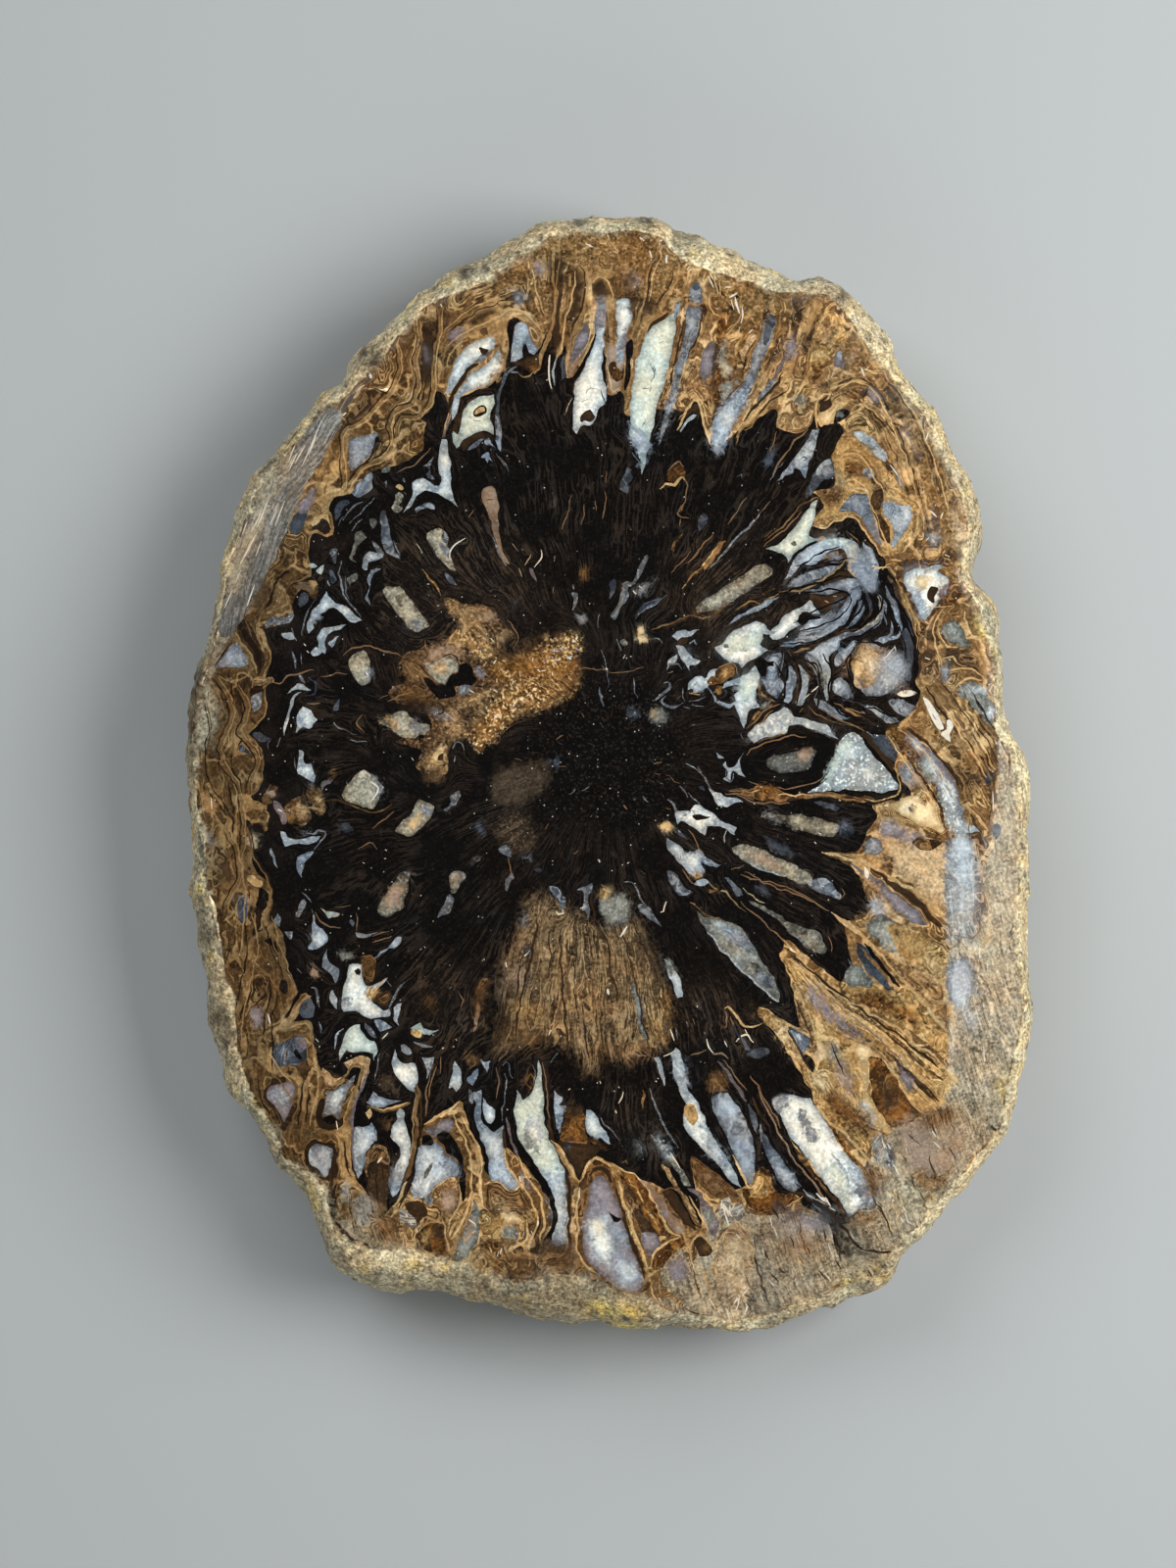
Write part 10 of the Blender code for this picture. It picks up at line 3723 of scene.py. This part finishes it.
def corner_vector(name, data):
    at = mesh.attributes.new(name, "FLOAT_VECTOR", "CORNER")
    at.data.foreach_set("vector", data.reshape(-1, 3).astype(np.float32).ravel())


corner_color("tint", tint)
corner_color("streak_tint", line)
corner_color("over_tint", over)
corner_vector("pattern", num[:, :, 0:3])
corner_vector("surface", num[:, :, 3:6])
at = mesh.attributes.new("over_depth", "FLOAT", "CORNER")
at.data.foreach_set("value", over_d.astype(np.float32).ravel())
corner_vector("grain_flow", flow_c)

# a map of its own: the polished face large, the wall and the back beside it
uv = np.zeros((nf, 3, 2))
co = verts[faces]
tx, ty = co[..., 0] / 1150.0 + 0.385, co[..., 1] / 1190.0 + 0.5
uv[..., 0], uv[..., 1] = tx, ty
is_back = np.zeros(nf, bool)
is_back[n_top + n_wall:] = True
uv[is_back, :, 0] = co[is_back][..., 0] / 4200.0 + 0.885
uv[is_back, :, 1] = co[is_back][..., 1] / 4200.0 + 0.86
w_idx = np.arange(n_top, n_top + n_wall)
wa = np.arctan2(co[w_idx][..., 1], co[w_idx][..., 0]) % turn
first = wa[:, :1]
wa = first + (wa - first + math.pi) % turn - math.pi
strip = np.clip(np.floor(wa.mean(1) / (turn / 4)), 0, 3)
ring_no = wl // ROUND
ring_no = ring_no / WALL_RINGS
uv[w_idx, :, 0] = 0.775 + 0.054 * strip[:, None] + 0.048 * (1 - ring_no)
uv[w_idx, :, 1] = 0.01 + 0.70 * np.clip(wa / (turn / 4) - strip[:, None], -0.02, 1.02)
layer = mesh.uv_layers.new(name="OFBake")
layer.data.foreach_set("uv", uv.reshape(-1, 2).astype(np.float32).ravel())

mesh.shade_smooth()
mesh.set_sharp_from_angle(angle=math.radians(34))
stone = bpy.data.objects.new("petrified_cone_slice", mesh)
bpy.context.scene.collection.objects.link(stone)
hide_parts("cone_slice")
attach(stone, "root")
print("triangles", nf, "top", n_top, "wall", n_wall, "back", n_back, flush=True)


# ------------------------------------------------------------- the material
class Net:
    """A few short words for building a node material."""

    def __init__(self, tree):
        self.t = tree

    def _put(self, socket, value):
        if isinstance(value, bpy.types.NodeSocket):
            self.t.links.new(value, socket)
        else:
            socket.default_value = value

    def node(self, kind, **props):
        n = self.t.nodes.new(kind)
        for k, v in props.items():
            setattr(n, k, v)
        return n

    def attr(self, name, out="Color"):
        n = self.node("ShaderNodeAttribute", attribute_type="GEOMETRY",
                      attribute_name=name)
        return n.outputs[out]

    def math(self, op, a, b=0.0, c=0.0, clamp=False):
        n = self.node("ShaderNodeMath", operation=op, use_clamp=clamp)
        self._put(n.inputs[0], a)
        self._put(n.inputs[1], b)
        self._put(n.inputs[2], c)
        return n.outputs[0]

    def vec(self, op, a, b=(0, 0, 0), scale=None):
        n = self.node("ShaderNodeVectorMath", operation=op)
        self._put(n.inputs[0], a)
        if op == "SCALE":
            self._put(n.inputs["Scale"], scale)
        else:
            self._put(n.inputs[1], b)
        return n.outputs[0]

    def xyz(self, v):
        n = self.node("ShaderNodeSeparateXYZ")
        self._put(n.inputs[0], v)
        return n.outputs

    def noise(self, v, scale, detail=2.0, rough=0.5, out="Fac"):
        n = self.node("ShaderNodeTexNoise", noise_dimensions="3D")
        self._put(n.inputs["Vector"], v)
        n.inputs["Scale"].default_value = scale
        n.inputs["Detail"].default_value = detail
        n.inputs["Roughness"].default_value = rough
        return n.outputs[out]

    def cells(self, v, scale, out="Distance", feature="F1"):
        n = self.node("ShaderNodeTexVoronoi", voronoi_dimensions="3D",
                      feature=feature)
        self._put(n.inputs["Vector"], v)
        n.inputs["Scale"].default_value = scale
        return n.outputs[out]

    def step(self, v, lo, hi, to_lo=0.0, to_hi=1.0):
        n = self.node("ShaderNodeMapRange", interpolation_type="SMOOTHSTEP",
                      clamp=True)
        self._put(n.inputs["Value"], v)
        self._put(n.inputs["From Min"], lo)
        self._put(n.inputs["From Max"], hi)
        self._put(n.inputs["To Min"], to_lo)
        self._put(n.inputs["To Max"], to_hi)
        return n.outputs[0]

    def mix(self, fac, a, b, blend="MIX"):
        n = self.node("ShaderNodeMix", data_type="RGBA", blend_type=blend,
                      clamp_factor=True)
        self._put(n.inputs["Factor"], fac)
        self._put(n.inputs[6], a)
        self._put(n.inputs[7], b)
        return n.outputs[2]

    def shade(self, col, k):
        n = self.node("ShaderNodeVectorMath", operation="SCALE")
        self._put(n.inputs[0], col)
        self._put(n.inputs["Scale"], k)
        return n.outputs[0]


def stone_material():
    mat = bpy.data.materials.new("petrified_cone")
    mat.use_nodes = True
    tree = mat.node_tree
    g = Net(tree)
    bsdf = tree.nodes["Principled BSDF"]
    obj = g.node("ShaderNodeTexCoord").outputs["Object"]
    pos = g.vec("SCALE", obj, scale=1.0 / UNIT)
    flow = g.attr("grain_flow", "Vector")
    tint, streak_tint, over = g.attr("tint"), g.attr("streak_tint"), g.attr("over_tint")
    depth = g.attr("over_depth", "Fac")
    pat = g.xyz(g.attr("pattern", "Vector"))
    srf = g.xyz(g.attr("surface", "Vector"))

    # the grain wanders a little
    wob = g.noise(pos, 1 / 30.0, 2.0, 0.5, "Color")
    wob = g.vec("SCALE", g.vec("SUBTRACT", wob, (0.5, 0.5, 0.5)), scale=5.5)
    fl = g.vec("ADD", flow, wob)
    n1 = g.noise(fl, 1 / 5.0, 2.0, 0.5)
    n2 = g.noise(fl, 1 / 13.0, 1.0, 0.5)
    n3 = g.noise(fl, 1 / 2.4, 1.0, 0.5)
    blend = g.math("ADD", g.math("MULTIPLY", n1, 0.45),
                   g.math("ADD", g.math("MULTIPLY", n2, 0.30),
                          g.math("MULTIPLY", n3, 0.25)))
    # soft streaks: how much they cover moves the threshold
    edge = g.math("SUBTRACT", 0.68, g.math("MULTIPLY", pat[0], 0.36))
    streak = g.step(blend, edge, g.math("ADD", edge, 0.13))
    broad = g.xyz(g.noise(pos, 1 / 40.0, 2.0, 0.6, "Color"))
    patch = g.step(broad[0], 0.36, 0.60, 0.35, 1.0)
    streak = g.math("MULTIPLY", streak, patch)
    # laminae: thin bright lines where the grain noise passes its middle
    ridge = g.math("ABSOLUTE", g.math("SUBTRACT", n1, 0.5))
    ridge = g.step(ridge, 0.046, 0.012)
    ridge2 = g.math("ABSOLUTE", g.math("SUBTRACT", n2, 0.5))
    ridge2 = g.step(ridge2, 0.024, 0.006)
    lam = g.math("MAXIMUM", ridge, ridge2)
    bare = g.step(broad[2], 0.40, 0.58, g.math("MULTIPLY", pat[0], 1.3, clamp=True), 1.0)
    lam = g.math("MULTIPLY", g.math("MULTIPLY", lam, pat[1]), bare)
    # and dark ones between them
    gap = g.math("ABSOLUTE", g.math("SUBTRACT", n1, 0.435))
    gap = g.math("MULTIPLY", g.step(gap, 0.040, 0.012), pat[1])
    fib = g.math("MAXIMUM", g.math("MULTIPLY", streak, 0.7), lam, clamp=True)

    # frayed patches
    fray = g.noise(g.vec("ADD", pos, g.vec("SCALE", flow, scale=0.2)), 1 / 6.0, 3.0, 0.62)
    fray = g.math("MULTIPLY", g.math("SUBTRACT", fray, 0.5), 4.2)
    m_over = g.step(g.math("ADD", depth, fray), -0.55, 0.55)
    base = g.mix(m_over, tint, over)
    base = g.shade(base, g.math("MULTIPLY_ADD", gap, -0.62, 1.0))
    base = g.mix(fib, base, streak_tint)
    hue = g.mix(g.step(broad[1], 0.36, 0.64), (1.07, 0.98, 0.89, 1.0), (0.95, 1.0, 1.05, 1.0))
    base = g.vec("MULTIPLY", base, hue)

    # mottle and fine grain
    m1 = g.noise(pos, 1 / 11.0, 3.0, 0.6)
    m2 = g.noise(pos, 1 / 3.0, 2.0, 0.6)
    mott = g.math("ADD", g.math("MULTIPLY", g.math("SUBTRACT", m1, 0.5), 1.9),
                  g.math("MULTIPLY", g.math("SUBTRACT", m2, 0.5), 1.9))
    mott = g.math("MULTIPLY_ADD", mott, pat[2], 1.0)
    base = g.shade(base, g.math("MAXIMUM", mott, 0.05))

    # a fine grain of the streak colour, and small bright specks: painted glints, mixed into the base colour
    grit = g.math("MULTIPLY", g.math("MULTIPLY", srf[2], 2.6, clamp=True),
                  g.step(m2, 0.54, 0.68))
    base = g.mix(grit, base, streak_tint)
    vor = g.node("ShaderNodeTexVoronoi", voronoi_dimensions="3D", feature="F1")
    g._put(vor.inputs["Vector"], pos)
    vor.inputs["Scale"].default_value = 1 / 4.2
    dist, rnd = vor.outputs["Distance"], g.xyz(vor.outputs["Color"])[0]
    painted_glint = g.math("MULTIPLY", g.step(dist, 0.22, 0.06),
                   g.step(rnd, g.math("SUBTRACT", 1.0, srf[2]), 1.0))
    base = g.mix(painted_glint, base, (0.62, 0.59, 0.52, 1.0))

    # sandy, pitted crust
    rough_amt = g.step(srf[1], 0.3, 1.0)
    c1 = g.noise(pos, 1 / 6.0, 3.0, 0.75)
    c2 = g.cells(pos, 1 / 6.5)
    pits = g.step(c2, 0.02, 0.42)
    crust = g.math("MULTIPLY", g.step(c1, 0.28, 0.68, 0.60, 1.45),
                   g.math("MULTIPLY_ADD", pits, 0.35, 0.72))
    crust = g.math("MULTIPLY_ADD", g.math("SUBTRACT", crust, 1.0), rough_amt, 1.0)
    base = g.shade(base, crust)
    tree.links.new(base, bsdf.inputs["Base Color"])

    rgh = g.math("MULTIPLY_ADD", g.math("SUBTRACT", m1, 0.5), 0.18, srf[0])
    rgh = g.math("MULTIPLY_ADD", painted_glint, 0.2, rgh, clamp=True)
    tree.links.new(rgh, bsdf.inputs["Roughness"])

    # relief: nothing on the polish, grit and pits by how uneven the finish is, most on the crust
    h = g.math("ADD", g.math("MULTIPLY", c1, 0.6), g.math("MULTIPLY", pits, 0.7))
    h = g.math("MULTIPLY", h, srf[1])
    bump = g.node("ShaderNodeBump")
    bump.inputs["Strength"].default_value = 0.9
    bump.inputs["Distance"].default_value = 1.6 * UNIT
    tree.links.new(h, bump.inputs["Height"])
    tree.links.new(bump.outputs["Normal"], bsdf.inputs["Normal"])
    bsdf.inputs["Specular IOR Level"].default_value = 0.2
    bsdf.inputs["IOR"].default_value = 1.54
    return mat


mesh.materials.append(stone_material())

# -------------------------------------------------------- floor, light, camera
floor_mesh = bpy.data.meshes.new("floor")
floor_mesh.from_pydata([(-2, -2, 0), (2, -2, 0), (2, 2, 0), (-2, 2, 0)], [],
                       [(0, 1, 2, 3)])
floor = bpy.data.objects.new("floor", floor_mesh)
floor.location.z = -0.00006
bpy.context.scene.collection.objects.link(floor)
fm = bpy.data.materials.new("floor")
fm.use_nodes = True
fb = fm.node_tree.nodes["Principled BSDF"]
fb.inputs["Base Color"].default_value = (0.385, 0.41, 0.418, 1)
fb.inputs["Roughness"].default_value = 0.85
fb.inputs["Specular IOR Level"].default_value = 0.1
floor_mesh.materials.append(fm)

world = bpy.data.worlds.new("studio")
world.use_nodes = True
bg = world.node_tree.nodes["Background"]
bg.inputs["Color"].default_value = (0.92, 0.96, 1.0, 1)
bg.inputs["Strength"].default_value = 0.12
bpy.context.scene.world = world


def softbox(name, where, at, size, power, tone):
    data = bpy.data.lights.new(name, "AREA")
    data.shape = "RECTANGLE"
    data.size, data.size_y = size
    data.energy = power
    data.color = tone
    ob = bpy.data.objects.new(name, data)
    ob.location = where
    ob.rotation_euler = (Vector(at) - Vector(where)).to_track_quat("-Z", "Y").to_euler()
    bpy.context.scene.collection.objects.link(ob)


softbox("key", (0.200, 0.040, 0.215), (0, 0, 0.011), (0.18, 0.18), 1.0, (1.0, 0.985, 0.96))
softbox("fill", (-0.26, 0.36, 0.42), (0, 0, 0), (0.45, 0.35), 1.9, (0.98, 0.99, 1.0))
softbox("low", (-0.05, -0.42, 0.26), (0, 0, 0), (0.40, 0.25), 0.6, (1.0, 0.99, 0.97))

cam_data = bpy.data.cameras.new("camera")
cam_data.lens = 100.0
cam_data.sensor_width = 36.0
cam_data.clip_start = 0.005
cam = bpy.data.objects.new("camera", cam_data)
# the frame is 1600 units tall at the polished face
height = 1600 * UNIT * cam_data.lens / cam_data.sensor_width
cam.location = ((600 - CENTRE[0]) * UNIT, (CENTRE[1] - 800) * UNIT, THICK + height)
bpy.context.scene.collection.objects.link(cam)
bpy.context.scene.camera = cam
bpy.context.scene.view_settings.view_transform = "Standard"
